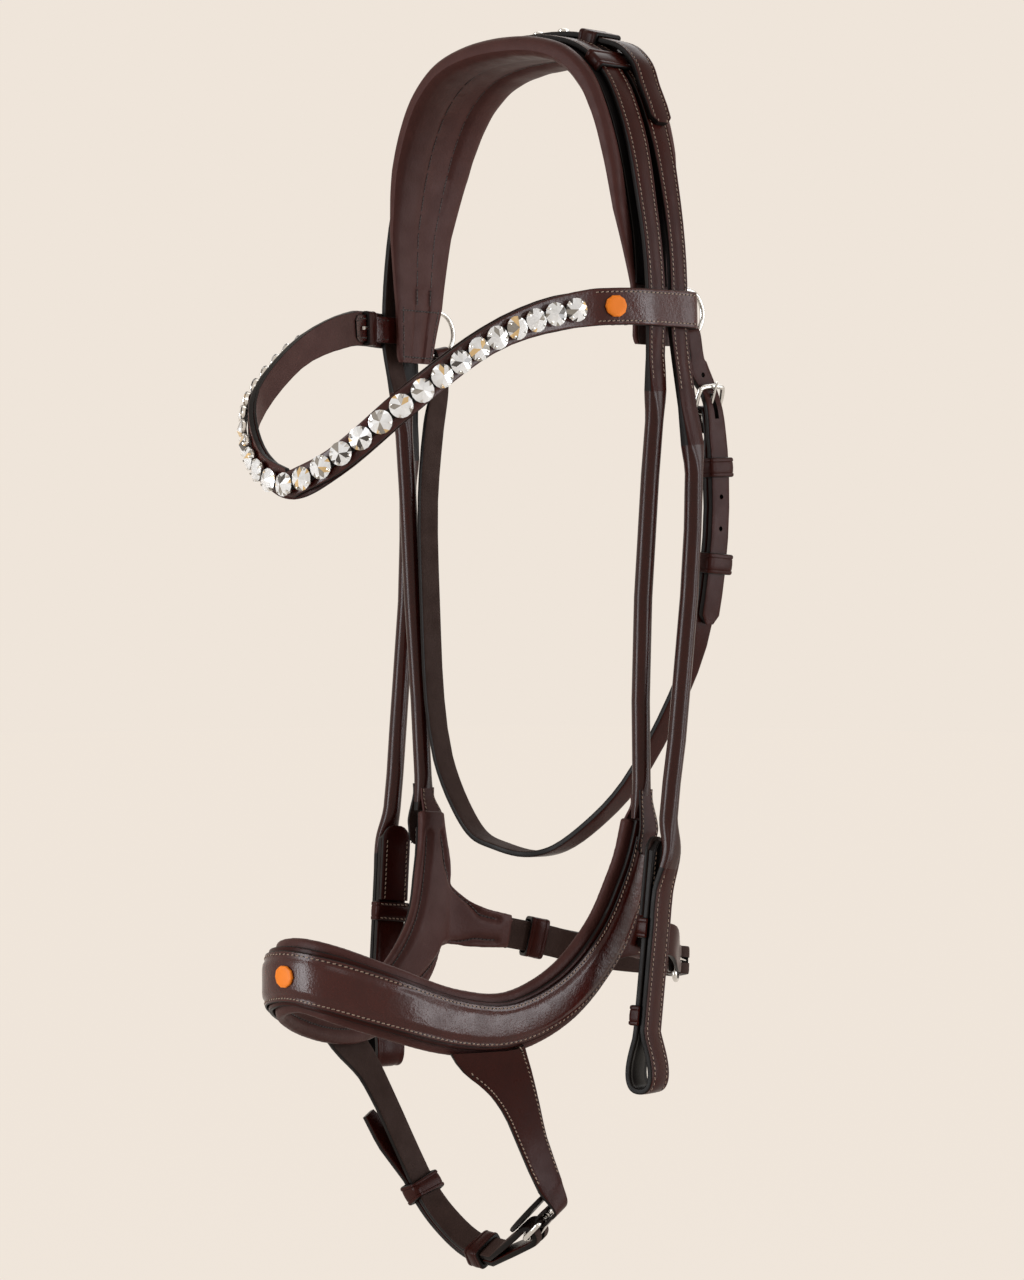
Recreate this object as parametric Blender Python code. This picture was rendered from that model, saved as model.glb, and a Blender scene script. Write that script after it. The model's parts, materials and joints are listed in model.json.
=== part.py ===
"""Pony bridle with a shaped noseband, a crystal browband and a slim chin strap.

The bridle hangs as it does on the pony's head: +X is the pony's left, -Y its nose, +Z up.
The origin is the poll seat, the middle of the poll pad's underside. All sizes are in metres.
Every strap is a loft along a smooth route; what lies on a strap takes its place from it.
"""
import math
from collections import namedtuple

import bmesh
import bpy
import numpy as np

# Head that the bridle fits
HEAD_HALF_WIDTH = 0.066
CROWN_DROP = 0.116
BROWBAND_DROP = 0.103
CHEEK_DROP = 0.405
NOSE_REACH = 0.133

# Leather
STRAP_THICKNESS = 0.0026
FOLD_THICKNESS = 0.0013
CHEEK_WIDTH = 0.013
CROWN_STRAP_WIDTH = 0.0115
CROWN_STRAP_LOW_WIDTH = 0.009
SMALL_STRAP_WIDTH = 0.010
ROLLED_DIAMETER = 0.0072
BASE_THICKNESS = 0.0016
BASE_WIDTH = 0.0302
BASE_LOW_WIDTH = 0.0165
KEEPER_WALL = 0.0012
KEEPER_LENGTH = 0.0078
KEEPER_PLAY = 0.0004
SLIDE_PLAY = 0.0009
GAP = 0.0003

# Poll pad
PAD_WIDTH = 0.050
PAD_THICKNESS = 0.005
CHANNEL_RECESS = 0.0022
FLAP_THICKNESS = 0.0016

# Throat rings and the tabs that carry them
RING_WIRE = 0.002
RING_RADIUS = 0.0091
RING_BEHIND = 0.0124
TAB_THICKNESS = 0.0007
TAB_WIDTH = 0.006
TAB_LENGTH = 0.012

# Browband
BROWBAND_THICKNESS = 0.0026
BROWBAND_INNER_THICKNESS = 0.0012
BROWBAND_WIDTH = 0.0142
BROWBAND_FRONT_WIDTH = 0.0115
BROWBAND_TAB_LENGTH = 0.0165
CRYSTAL_COUNT = 31
CRYSTAL_PITCH = 0.00925
CRYSTAL_RADIUS = 0.00445
CUP_HEIGHT = 0.0019
CROWN_HEIGHT = 0.0017
CUP_STRIP_THICKNESS = 0.0008
DISC_RADIUS = 0.0043
DISC_THICKNESS = 0.0012
BAR_HOOK_LENGTH = 0.005
BAR_HOOK_WIDTH = 0.0014

# Buckles
WIRE = 0.002
PRONG_WIRE = 0.0015
ROLLER_WALL = 0.0005
BUCKLE_LENGTH = 0.0105
THROAT_BUCKLE_LENGTH = 0.0095
BUCKLE_SIDE = 0.0006
SLOT_SIDE = 0.0004
HOLE_RADIUS = 0.001
HOLE_PITCH = 0.0125
STUD_RADIUS = 0.0024
STUD_SHANK_RADIUS = 0.0011
STUD_HEIGHT = 0.0014
STUD_PITCH = 0.013

# Noseband and chin strap
NOSEBAND_WIDTH = 0.0225
NOSEBAND_THICKNESS = 0.002
FACING_THICKNESS = 0.0022
PAD_OVERHANG = 0.003
NOSE_PAD_THICKNESS = 0.0052
ARM_ROOT_DISTANCE = 0.040
JAW_STRAP_WIDTH = 0.0125
CHIN_STRAP_WIDTH = 0.011
BIT_LOOP_RADIUS = 0.005
BIT_LOOP_LENGTH = 0.0228
GUARD_LENGTH = 0.024
GUARD_WIDTH = 0.0185
GUARD_THICKNESS = 0.0018

# Roundness of a section: 1 is round, towards 0 is square
ROUND_SHARE = 1.0
STRAP_SHARE = 0.3
SOFT_SHARE = 0.55

# Turn of a loft between two of its rings, and the turn of the layers that lie on the cheek
BEND_STEP = math.radians(17)
FINE_BEND_STEP = math.radians(12)
FLAP_TURN = math.radians(5)
TRIAL_STEPS = 8

# Poll to flap in shares of the half width and the crown drop
ARCH_SHARES = (
    (0, 0), (0.29, 0.012), (0.50, 0.05), (0.655, 0.125), (0.76, 0.225),
    (0.845, 0.35), (0.91, 0.5), (0.955, 0.63), (0.985, 0.76), (0.998, 0.88), (1, 1),
)
ARCH_STEP_SHARE = 0.05
CROWN_END_SHARE = 0.95
BASE_END_ABOVE_BAND = 0.01

# Routes in shares of the half width, the nose reach and the cheek drop; the browband lies at one of these depths
BAND_DEPTH_SHARE = 0.25432
CHEEK_SHARES = (
    (1.156, 0.015, 0.301), (1.185, 0.027, 0.346), (1.209, 0.036, 0.383), (1.217, 0.038, 0.41),
    (1.202, 0.025, 0.528), (1.188, -0.020, 0.664), (1.176, -0.049, 0.738),
)
CHEEK_END_SHARES = ((1.155, -0.061, 0.770), (1.121, -0.110, 0.9395))
CHEEK_HOOK_SHARES = (1.150, -0.068, 0.787)
CHEEK_UPPER_KEEPER_SHARES = (1.142, -0.082, 0.843)
CHEEK_LOWER_KEEPER_SHARES = (1.124, -0.105, 0.926)
HANGER_SHARES = (
    (1.103, -0.066, 0.299), (1.079, -0.053, 0.331), (1.064, -0.05, 0.36), (1.033, -0.051, 0.412),
    (0.979, -0.052, 0.528), (0.942, -0.043, 0.627), (0.93, -0.033, 0.704),
)
NOSE_SHARES = (
    (0.0, -0.988, 0.882), (0.242, -0.957, 0.888), (0.455, -0.82, 0.906), (0.576, -0.602, 0.928),
    (0.659, -0.429, 0.931), (0.742, -0.248, 0.906), (0.803, -0.105, 0.857), (0.871, -0.045, 0.8),
    (0.924, -0.03, 0.742),
)
ARM_SHARES = ((0.773, 0.09, 0.857), (0.735, 0.175, 0.862))
JAW_SHARES = (
    (-0.667, 0.323, 0.872), (-0.561, 0.421, 0.881), (-0.318, 0.489, 0.889), (0.0, 0.511, 0.891),
    (0.242, 0.485, 0.891), (0.41, 0.425, 0.889),
)
JAW_KEEPER_SHARES = (-0.667, 0.323, 0.872)
JAW_BUCKLE_SHARES = (0.583, 0.312, 0.883)
JAW_BUCKLE_AIM_SHARES = (0.41, 0.425, 0.889)
CHIN_SHARES = (
    (-0.650, -0.515, 0.9562), (-0.632, -0.435, 0.980), (-0.578, -0.366, 1.022), (-0.545, -0.285, 1.075),
    (-0.475, -0.242, 1.112),
    (-0.333, -0.226, 1.138), (-0.121, -0.214, 1.160), (0.121, -0.218, 1.164), (0.33, -0.226, 1.155),
)
CHIN_TIP_SHARES = (-0.70, -0.37, 1.035)
CHIN_SLIDE_SHARES = (-0.485, -0.246, 1.108)
CHIN_FIXED_SHARES = (-0.02, -0.215, 1.163)
BRANCH_SHARES = (
    (0.624, -0.525, 0.9562), (0.620, -0.455, 0.972), (0.606, -0.380, 1.005), (0.600, -0.318, 1.048),
    (0.628, -0.262, 1.090),
)
CHIN_BUCKLE_SHARES = (0.560, -0.233, 1.1235)
CHIN_BUCKLE_AIM_SHARES = (0.33, -0.226, 1.155)
THROAT_BUCKLE_SHARES = (1.09, 0.169, 0.348)
THROAT_SHARES = (
    (1.106, 0.177, 0.385), (1.106, 0.184, 0.44), (1.091, 0.175, 0.50), (1.0, 0.169, 0.573),
    (0.788, 0.15, 0.647), (0.576, 0.105, 0.709), (0.379, 0.075, 0.743), (0.121, 0.038, 0.773),
    (-0.121, 0.03, 0.78), (-0.333, 0.008, 0.773), (-0.5, 0.0, 0.763), (-0.652, -0.008, 0.733),
    (-0.758, -0.03, 0.686), (-0.818, -0.038, 0.627), (-0.848, -0.038, 0.563), (-0.886, -0.03, 0.494),
    (-0.924, -0.015, 0.425), (-0.985, 0.038, 0.351),
)
THROAT_KEEPER_SHARES = ((1.106, 0.178, 0.402), (1.093, 0.176, 0.494))
POINT_TIP_SHARES = (1.13, 0.155, 0.555)
BROW_SHARES = (
    (0.0, -0.992, 0.425), (0.312, -0.967, 0.405), (0.652, -0.85, 0.351), (0.833, -0.609, 0.291),
    (0.917, -0.436, 0.267), (1.015, -0.286, 0.256), (1.066, -0.240, 0.2545), (1.118, -0.178, 0.2535),
)

# Across the arch, in shares of the pad's width: share of the arch, place of the middle
PAD_FRONT_SHARES = ((0, -0.50), (0.5, -0.46), (0.66, -0.42), (0.85, -0.30), (0.93, -0.28))
PAD_REAR_SHARES = ((0, 0.50), (0.5, 0.36), (0.66, 0.27), (0.85, 0.24), (0.93, 0.18), (1, 0.13))
BASE_MIDDLE_SHARES = ((0, -0.03), (0.3, -0.035), (0.66, -0.09), (0.93, -0.125))
FRONT_STRAP_SHARES = ((0, -0.166), (0.3, -0.17), (0.66, -0.205), (0.93, -0.192))
REAR_STRAP_SHARES = ((0, 0.106), (0.3, 0.106), (0.66, 0.064), (0.93, 0.036))

# Places of what sits on the arch, in shares of its half length
TAIL_KEEPER_SHARE = 0.172
CROWN_KEEPER_SHARE = 0.278
FAR_CROWN_KEEPER_SHARE = 0.315
TAIL_TIP_SHARE = 0.45
UNDER_TIP_SHARE = 0.15
STUD_MIDDLE_SHARE = 0.016

Station = namedtuple("Station", "centre along across out width thickness roundness")
UP = np.array((0.0, 0.0, 1.0))
BACK = np.array((0.0, 1.0, 0.0))
LEFT = np.array((1.0, 0.0, 0.0))


def unit(vector):
    vector = np.asarray(vector, float)
    return vector / np.linalg.norm(vector)


def place(shares):
    """A point from its shares of the head's half width, the nose reach and the cheek drop.

    Depths are counted from the browband's level, so that what hangs below it follows it.
    """
    x_share, y_share, z_share = shares
    below_band = (z_share - BAND_DEPTH_SHARE) / (1 - BAND_DEPTH_SHARE)
    depth = BROWBAND_DROP + below_band * (CHEEK_DROP - BROWBAND_DROP)
    return np.array((x_share * HEAD_HALF_WIDTH, y_share * NOSE_REACH, -depth))


def key(point, across, width, thickness=STRAP_THICKNESS, roundness=STRAP_SHARE):
    """One row of a route: a place, the direction of the width, and the section there."""
    return np.concatenate((point, across, (width, thickness, roundness)))


class Smooth:
    """Smooth curve through rows of numbers whose first three are a place."""

    def __init__(self, rows, closed=False):
        self.rows = np.asarray(rows, float)
        following = np.roll(self.rows, -1, axis=0)
        chords = np.linalg.norm((following - self.rows)[:, :3], axis=1)
        self.steps = np.sqrt(chords)
        slopes = (following - self.rows) / self.steps[:, None]
        slopes_before, steps_before = np.roll(slopes, 1, axis=0), np.roll(self.steps, 1)
        weighted = slopes_before * self.steps[:, None] + slopes * steps_before[:, None]
        self.tangents = weighted / (self.steps + steps_before)[:, None]
        if not closed:
            self.tangents[0], self.tangents[-1] = slopes[0], slopes[-2]
        self.spans = len(self.rows) if closed else len(self.rows) - 1

    def at(self, span, share):
        """Value and slope at a share of one span."""
        after = (span + 1) % len(self.rows)
        start, end = self.rows[span], self.rows[after]
        rise, fall = self.tangents[span] * self.steps[span], self.tangents[after] * self.steps[span]
        square, cube = share ** 2, share ** 3
        value = (
            (2 * cube - 3 * square + 1) * start + (cube - 2 * square + share) * rise
            + (3 * square - 2 * cube) * end + (cube - square) * fall
        )
        slope = (
            6 * (square - share) * (start - end) + (3 * square - 4 * share + 1) * rise
            + (3 * square - 2 * share) * fall
        )
        return value, slope

    def station(self, span, share):
        value, slope = self.at(span, share)
        along = unit(slope[:3])
        across = unit(value[3:6] - along * np.dot(value[3:6], along))
        return Station(value[:3], along, across, np.cross(along, across), *value[6:9])


def turn_between(first, second):
    return math.acos(max(-1.0, min(1.0, float(np.dot(first, second)))))


def stations(keys, closed=False, bend=BEND_STEP):
    """Sections along a smooth route, closer together where it turns or changes."""
    curve = Smooth(keys, closed)
    result = []
    for span in range(curve.spans):
        trial = [curve.station(span, i / TRIAL_STEPS) for i in range(TRIAL_STEPS + 1)]
        bends = sum(turn_between(a.along, b.along) for a, b in zip(trial, trial[1:]))
        twists = sum(turn_between(a.across, b.across) for a, b in zip(trial, trial[1:]))
        first, last = trial[0], trial[-1]
        reshaping = 4 * abs(first.roundness - last.roundness) + 3 * abs(math.log(first.width / last.width))
        pieces = max(1, math.ceil(max(bends, twists) / bend), math.ceil(reshaping))
        result += [curve.station(span, i / pieces) for i in range(pieces)]
    if not closed:
        result.append(curve.station(curve.spans - 1, 1))
    return result


def row_of(section):
    return key(section.centre, section.across, section.width, section.thickness, section.roundness)


def moved(sections, by):
    """The same stretch moved outwards by a distance."""
    return [s._replace(centre=s.centre + s.out * by) for s in sections]


def turned_back(sections, by):
    """The same stretch run the other way, as a strap does after a turn."""
    return [s._replace(centre=s.centre + s.out * by, along=-s.along, out=-s.out) for s in sections[::-1]]


def run_of(sections):
    places = np.array([s.centre for s in sections])
    return np.concatenate(([0], np.cumsum(np.linalg.norm(np.diff(places, axis=0), axis=1))))


def at_distance(sections, distance):
    """Section between two stations at a distance along them."""
    run = run_of(sections)
    i = int(np.clip(np.searchsorted(run, distance) - 1, 0, len(run) - 2))
    blend = (distance - run[i]) / (run[i + 1] - run[i])
    values = [a + (b - a) * blend for a, b in zip(sections[i], sections[i + 1])]
    along = unit(values[1])
    across = unit(values[2] - along * np.dot(values[2], along))
    return Station(values[0], along, across, np.cross(along, across), *values[4:])


def stretch(sections, start, end):
    """Part of a route between two distances, with the stations that lie between."""
    margin = KEEPER_LENGTH / TRIAL_STEPS
    between = [s for s, d in zip(sections, run_of(sections)) if start + margin < d < end - margin]
    return [at_distance(sections, start)] + between + [at_distance(sections, end)]


def distance_to(sections, point):
    """Distance along a route to the place nearest to a point."""
    run = run_of(sections)
    best, result = None, 0.0
    for i, (first, second) in enumerate(zip(sections, sections[1:])):
        chord = second.centre - first.centre
        share = min(1.0, max(0.0, float(np.dot(point - first.centre, chord) / np.dot(chord, chord))))
        off = np.linalg.norm(first.centre + chord * share - point)
        if best is None or off < best:
            best, result = off, run[i] + share * (run[i + 1] - run[i])
    return result


def round_about(sections, point, length):
    """Stretch of a given length whose middle is the place nearest to a point."""
    middle = distance_to(sections, point)
    return stretch(sections, middle - length / 2, middle + length / 2)


def bent(points, across, width, thickness=STRAP_THICKNESS, roundness=STRAP_SHARE):
    """Stations at given places, each square to the way between its neighbours."""
    result = []
    for i, point in enumerate(points):
        along = unit(points[min(i + 1, len(points) - 1)] - points[max(i - 1, 0)])
        flat = unit(across - along * np.dot(across, along))
        result.append(Station(point, along, flat, np.cross(along, flat), width, thickness, roundness))
    return result


def outline(width, thickness, roundness, count=8):
    """Closed section between a rounded rectangle and an ellipse."""
    points = []
    for i in range(count):
        angle = (i + 0.5) * math.tau / count
        sideways, outward = math.cos(angle), math.sin(angle)
        points.append((
            math.copysign(abs(sideways) ** roundness, sideways) * width / 2,
            math.copysign(abs(outward) ** roundness, outward) * thickness / 2,
        ))
    return points


def ring_of(frame, points, shift=0.0):
    return [frame.centre + frame.across * a + frame.out * (b + shift) for a, b in points]


def colour_of(name, colour, roughness, metallic=0.0):
    material = bpy.data.materials.new(name)
    material.use_nodes = True
    shader = material.node_tree.nodes["Principled BSDF"]
    shader.inputs["Base Color"].default_value = (*colour, 1)
    shader.inputs["Roughness"].default_value = roughness
    shader.inputs["Metallic"].default_value = metallic
    material.diffuse_color = (*colour, 1)
    return material


FINISHES = {
    "bridle leather": ((0.045, 0.016, 0.011), 0.38),
    "rolled leather": ((0.032, 0.013, 0.011), 0.30),
    "soft lining leather": ((0.052, 0.028, 0.024), 0.62),
    "suede lining": ((0.018, 0.014, 0.013), 0.85),
    "orange leather": ((0.80, 0.25, 0.03), 0.5),
    "polished steel": ((0.62, 0.62, 0.60), 0.18, 1.0),
    "crystal in silver cups": ((0.85, 0.84, 0.80), 0.06),
}


def finish(name, finish_name, mesh, origin=None):
    """Object with its own material, and its origin on the axis that it moves about."""
    if origin is not None:
        for vertex in mesh.verts:
            vertex.co = tuple(np.array(vertex.co) - origin)
    bmesh.ops.recalc_face_normals(mesh, faces=mesh.faces)
    bmesh.ops.triangulate(mesh, faces=mesh.faces)
    data = bpy.data.meshes.new(name)
    mesh.to_mesh(data)
    mesh.free()
    data.materials.append(colour_of(name, *FINISHES[finish_name]))
    data.shade_smooth()
    data.set_sharp_from_angle(angle=math.radians(40))
    piece = bpy.data.objects.new(name, data)
    if origin is not None:
        piece.location = tuple(origin)
    bpy.context.collection.objects.link(piece)
    return piece


def skin(mesh, rings, closed):
    rows = [[mesh.verts.new(point) for point in ring] for ring in rings]
    pairs = list(zip(rows, rows[1:])) + ([(rows[-1], rows[0])] if closed else [])
    for first, second in pairs:
        for i in range(len(first)):
            j = (i + 1) % len(first)
            mesh.faces.new((first[i], first[j], second[j], second[i]))
    return rows


def loft(name, finish_name, sections, count=8, closed=False, shift=0.0, side=1, origin=None, shape=outline):
    """Solid strap: one section at each station, capped at its ends unless it is closed."""
    mesh = bmesh.new()
    rings = [
        [point * (side, 1, 1) for point in ring_of(s, shape(s.width, s.thickness, s.roundness, count), shift)]
        for s in sections
    ]
    rows = skin(mesh, rings, closed)
    if not closed:
        mesh.faces.new(rows[0])
        mesh.faces.new(rows[-1])
    return finish(name, finish_name, mesh, origin)


def sleeve(name, finish_name, sections, inner_width, inner_thickness, wall,
           side=1, origin=None, count=8, roundness=STRAP_SHARE):
    """Band with an open middle round a strap, following the strap's bend."""
    mesh = bmesh.new()
    inner = outline(inner_width, inner_thickness, roundness, count)
    outer = outline(inner_width + 2 * wall, inner_thickness + 2 * wall, roundness, count)
    walls = []
    for points in (outer, inner):
        rings = [[point * (side, 1, 1) for point in ring_of(s, points)] for s in sections]
        walls.append(skin(mesh, rings, False))
    for end in (0, -1):
        outer_row, inner_row = walls[0][end], walls[1][end]
        for i in range(count):
            j = (i + 1) % count
            mesh.faces.new((outer_row[i], outer_row[j], inner_row[j], inner_row[i]))
    return finish(name, finish_name, mesh, origin)


def turned(name, finish_name, centre, axis, profile, sides=12, side=1, origin=None):
    """Solid of revolution from a profile of radii and heights along an axis."""
    axis = unit(axis)
    sideways = unit(np.cross(axis, BACK if abs(axis[1]) < abs(axis[2]) + abs(axis[0]) else UP))
    other = np.cross(axis, sideways)
    mesh = bmesh.new()
    rings = []
    for radius, height in profile:
        ring = []
        for i in range(sides):
            angle = math.tau * i / sides
            spoke = sideways * math.cos(angle) + other * math.sin(angle)
            ring.append((centre + axis * height + spoke * radius) * (side, 1, 1))
        rings.append(ring)
    rows = skin(mesh, rings, False)
    mesh.faces.new(rows[0])
    mesh.faces.new(rows[-1])
    return finish(name, finish_name, mesh, origin)


def bridge(name, finish_name, sections, half_width, height, wall, foot=0.0, middle=0.0, side=1):
    """Keeper open on one side: two feet on a strap and a top over what runs through it."""
    inner_corner, outer_corner = wall * 0.4, wall
    points = []
    for reach, top, corner in ((half_width, height, inner_corner), (half_width + wall, height + wall, outer_corner)):
        points.append([
            (-reach, foot), (-reach, top - corner), (-reach + corner, top),
            (reach - corner, top), (reach, top - corner), (reach, foot),
        ])
    points = [(middle + a, b) for a, b in points[0] + points[1][::-1]]
    mesh = bmesh.new()
    rings = [[point * (side, 1, 1) for point in ring_of(s, points)] for s in sections]
    rows = skin(mesh, rings, False)
    mesh.faces.new(rows[0])
    mesh.faces.new(rows[-1])
    return finish(name, finish_name, mesh)


def boolean(piece, tool, operation):
    """Cut or join for good, and take the tool away."""
    change = piece.modifiers.new(operation.lower(), "BOOLEAN")
    change.operation = operation
    change.solver = "EXACT"
    change.object = tool
    bpy.context.view_layer.update()
    changed = piece.evaluated_get(bpy.context.evaluated_depsgraph_get())
    data = bpy.data.meshes.new_from_object(changed)
    mesh = bmesh.new()
    mesh.from_mesh(data)
    bmesh.ops.triangulate(mesh, faces=mesh.faces)
    mesh.to_mesh(data)
    mesh.free()
    piece.modifiers.clear()
    piece.data = data
    bpy.data.objects.remove(tool)


def join_meshes(name, pieces):
    """One object from several cutters, each still its own closed body."""
    mesh = bmesh.new()
    for piece in pieces:
        piece.data.transform(piece.matrix_basis)
        mesh.from_mesh(piece.data)
        bpy.data.objects.remove(piece)
    data = bpy.data.meshes.new(name)
    mesh.to_mesh(data)
    mesh.free()
    joined = bpy.data.objects.new(name, data)
    bpy.context.collection.objects.link(joined)
    return joined


# The arch over the poll
def arch_samples():
    half = [(x * HEAD_HALF_WIDTH, -z * CROWN_DROP) for x, z in ARCH_SHARES]
    whole = [(-x, z) for x, z in half[:0:-1]] + half
    curve = Smooth([(x, 0, z) for x, z in whole])
    places, slopes = [], []
    for span in range(curve.spans):
        for i in range(TRIAL_STEPS):
            value, slope = curve.at(span, i / TRIAL_STEPS)
            places.append(value)
            slopes.append(unit(slope))
    value, slope = curve.at(curve.spans - 1, 1)
    places.append(value)
    slopes.append(unit(slope))
    places, slopes = np.array(places), np.array(slopes)
    run = np.concatenate(([0], np.cumsum(np.linalg.norm(np.diff(places, axis=0), axis=1))))
    return places, slopes, run / run[-1] * 2 - 1, run[-1] / 2


ARCH_PLACES, ARCH_SLOPES, ARCH_RUN, ARCH_HALF_LENGTH = arch_samples()


def seat(share):
    """Frame on the pad's underside, from -1 at the right flap over 0 at the poll to 1 at the left flap."""
    centre = np.array([np.interp(share, ARCH_RUN, ARCH_PLACES[:, i]) for i in range(3)])
    along = unit([np.interp(share, ARCH_RUN, ARCH_SLOPES[:, i]) for i in range(3)])
    turn = FLAP_TURN * share ** 2 * math.copysign(1, share)
    across = np.array((math.sin(turn), math.cos(turn), 0))
    across = unit(across - along * np.dot(across, along))
    return Station(centre, along, across, np.cross(along, across), 0, 0, 0)


def across_arch(table, share):
    places = [row[0] for row in table]
    return np.interp(abs(share), places, [row[1] for row in table]) * PAD_WIDTH


def from_seat(share, sideways, outward):
    frame = seat(share)
    return frame.centre + frame.across * sideways + frame.out * outward


def top_to_side(top, low, share):
    """Blend from a value on the poll to its value beside the browband."""
    blend = min(1.0, max(0.0, (abs(share) - 0.35) / 0.45))
    return top + (low - top) * blend * blend * (3 - 2 * blend)


def arch_steps(first, last):
    """Places on one grid that every layer shares, so that the layers stay parallel."""
    return [i * ARCH_STEP_SHARE for i in range(round(first / ARCH_STEP_SHARE), round(last / ARCH_STEP_SHARE) + 1)]


LEFT_HALF = ARCH_RUN >= 0
BROWBAND_LEVEL_SHARE = float(np.interp(BROWBAND_DROP, -ARCH_PLACES[LEFT_HALF, 2], ARCH_RUN[LEFT_HALF]))
PAD_SHARES = arch_steps(-1, 1)


# Distances outwards from the pad's underside, layer by layer
BASE_ABOVE_PAD = GAP + BASE_THICKNESS / 2
BASE_TOP_LEVEL = PAD_THICKNESS + BASE_ABOVE_PAD
RING_LEVEL = FLAP_THICKNESS + 2 * GAP + TAB_THICKNESS + RING_WIRE / 2
TAB_OUT_LEVEL = RING_LEVEL + RING_WIRE / 2 + GAP + TAB_THICKNESS
BAND_INNER_LEVEL = TAB_OUT_LEVEL + 2 * GAP + BROWBAND_INNER_THICKNESS / 2
STRAP_TOP_LEVEL = PAD_THICKNESS + 2 * GAP + BASE_THICKNESS + STRAP_THICKNESS / 2
STRAP_SIDE_LEVEL = BAND_INNER_LEVEL + BROWBAND_INNER_THICKNESS / 2 + GAP + STRAP_THICKNESS / 2
UPPER_STRAP_LEVEL = STRAP_TOP_LEVEL + STRAP_THICKNESS + GAP
BAND_OUTER_LEVEL = STRAP_SIDE_LEVEL + STRAP_THICKNESS / 2 + GAP + BROWBAND_THICKNESS / 2
CROWN_KEEPER_HEIGHT = STRAP_TOP_LEVEL + STRAP_THICKNESS / 2 + KEEPER_PLAY
TAIL_OVER_KEEPER_LEVEL = CROWN_KEEPER_HEIGHT + KEEPER_WALL + 2 * KEEPER_PLAY + STRAP_THICKNESS / 2
DOUBLE_SPACING = STRAP_THICKNESS + GAP


def pad_level(share):
    return top_to_side(PAD_THICKNESS, FLAP_THICKNESS, share)


def strap_level(share):
    return top_to_side(STRAP_TOP_LEVEL, STRAP_SIDE_LEVEL, share)


def crown_strap_width(share):
    return top_to_side(CROWN_STRAP_WIDTH, CROWN_STRAP_LOW_WIDTH, share)


# Headpiece
def poll_pad():
    """Two soft rolls with a sunken channel between them, thinning to a flat flap at each end."""
    mesh = bmesh.new()
    rings = []
    for share in PAD_SHARES:
        frame = seat(share)
        front, rear = across_arch(PAD_FRONT_SHARES, share), across_arch(PAD_REAR_SHARES, share)
        width = rear - front
        thick = pad_level(share)
        recess = top_to_side(CHANNEL_RECESS, 0, share)
        front_crease, rear_crease = front + width * 0.40, rear - width * 0.30
        under = [(front, thick / 2)]
        for start, end in ((front, front_crease), (rear_crease, rear)):
            for roll_share in (0.12, 0.35, 0.65, 0.9):
                swell = math.sqrt(1 - (2 * roll_share - 1) ** 2)
                depth = recess * (1 - swell) if recess else thick / 2 * (1 - swell ** 0.2)
                under.append((start + (end - start) * roll_share, depth))
            if start == front:
                under += [(front_crease, recess), (rear_crease, recess)]
        under.append((rear, thick / 2))
        edge = min(width * 0.12, thick)
        over = [
            (rear - edge * 0.3, thick * 0.88), (rear - edge * 1.4, thick), (rear - width * 0.35, thick),
            (front + width * 0.35, thick), (front + edge * 1.4, thick), (front + edge * 0.3, thick * 0.88),
        ]
        rings.append(ring_of(frame, under + over))
    rows = skin(mesh, rings, False)
    mesh.faces.new(rows[0])
    mesh.faces.new(rows[-1])
    return finish("poll_pad", "soft lining leather", mesh)


def crown_base():
    keys = []
    end = BROWBAND_LEVEL_SHARE - (BROWBAND_WIDTH / 2 + BASE_END_ABOVE_BAND) / ARCH_HALF_LENGTH
    for share in arch_steps(-end, end):
        frame = seat(share)
        sideways = across_arch(BASE_MIDDLE_SHARES, share)
        level = pad_level(share) + BASE_ABOVE_PAD
        width = top_to_side(BASE_WIDTH, BASE_LOW_WIDTH, share)
        keys.append(key(from_seat(share, sideways, level), frame.across, width, BASE_THICKNESS))
    loft("crown_base", "suede lining", stations(keys))


def strap_on_arch(first, last, table, level):
    keys = []
    for share in arch_steps(first, last):
        point = from_seat(share, across_arch(table, share), level(share))
        keys.append(key(point, seat(share).across, crown_strap_width(share)))
    return keys


def mirrored(keys):
    return [row * (-1, 1, 1, -1, 1, 1, 1, 1, 1) for row in keys[::-1]]


def hanger_keys():
    flat, bulge, rolled = HANGER_SHARES[:1], HANGER_SHARES[1:2], HANGER_SHARES[2:]
    keys = [key(place(s), BACK, CROWN_STRAP_LOW_WIDTH) for s in flat]
    keys += [key(place(s), BACK, ROLLED_DIAMETER * 1.25, ROLLED_DIAMETER * 0.8, SOFT_SHARE) for s in bulge]
    keys += [key(place(s), BACK, ROLLED_DIAMETER, ROLLED_DIAMETER, ROUND_SHARE) for s in rolled]
    end = place(NOSE_SHARES[-1]) + UP * GAP * 4
    return keys + [key(end, BACK, SMALL_STRAP_WIDTH)]


def noseband_headstrap():
    """One strap over the poll that carries the noseband, rolled round below the browband."""
    hanger = hanger_keys()
    top = strap_on_arch(-CROWN_END_SHARE, CROWN_END_SHARE, FRONT_STRAP_SHARES, strap_level)
    loft("noseband_headstrap", "bridle leather", stations(mirrored(hanger) + top + hanger))


def bit_loop(frame, width):
    """Teardrop that a strap makes when it turns back up on itself, with a level floor."""
    walls = ((0.40, 0.13), (0.68, 0.33), (0.92, 0.54), (1.0, 0.72), (0.92, 0.86), (0.68, 0.955), (0.32, 1.0))
    level_out = unit(frame.out * (1, 1, 0))
    sides = [(a * BIT_LOOP_RADIUS, b * BIT_LOOP_LENGTH) for a, b in walls]
    points = [
        frame.centre + level_out * sideways - UP * drop for sideways, drop in sides + [(-a, b) for a, b in sides[::-1]]
    ]
    top_out, top_in = frame.centre + frame.out * DOUBLE_SPACING / 2, frame.centre - frame.out * DOUBLE_SPACING / 2
    return bent([top_out] + points + [top_in], np.cross(UP, level_out), width)[1:-1]


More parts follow.
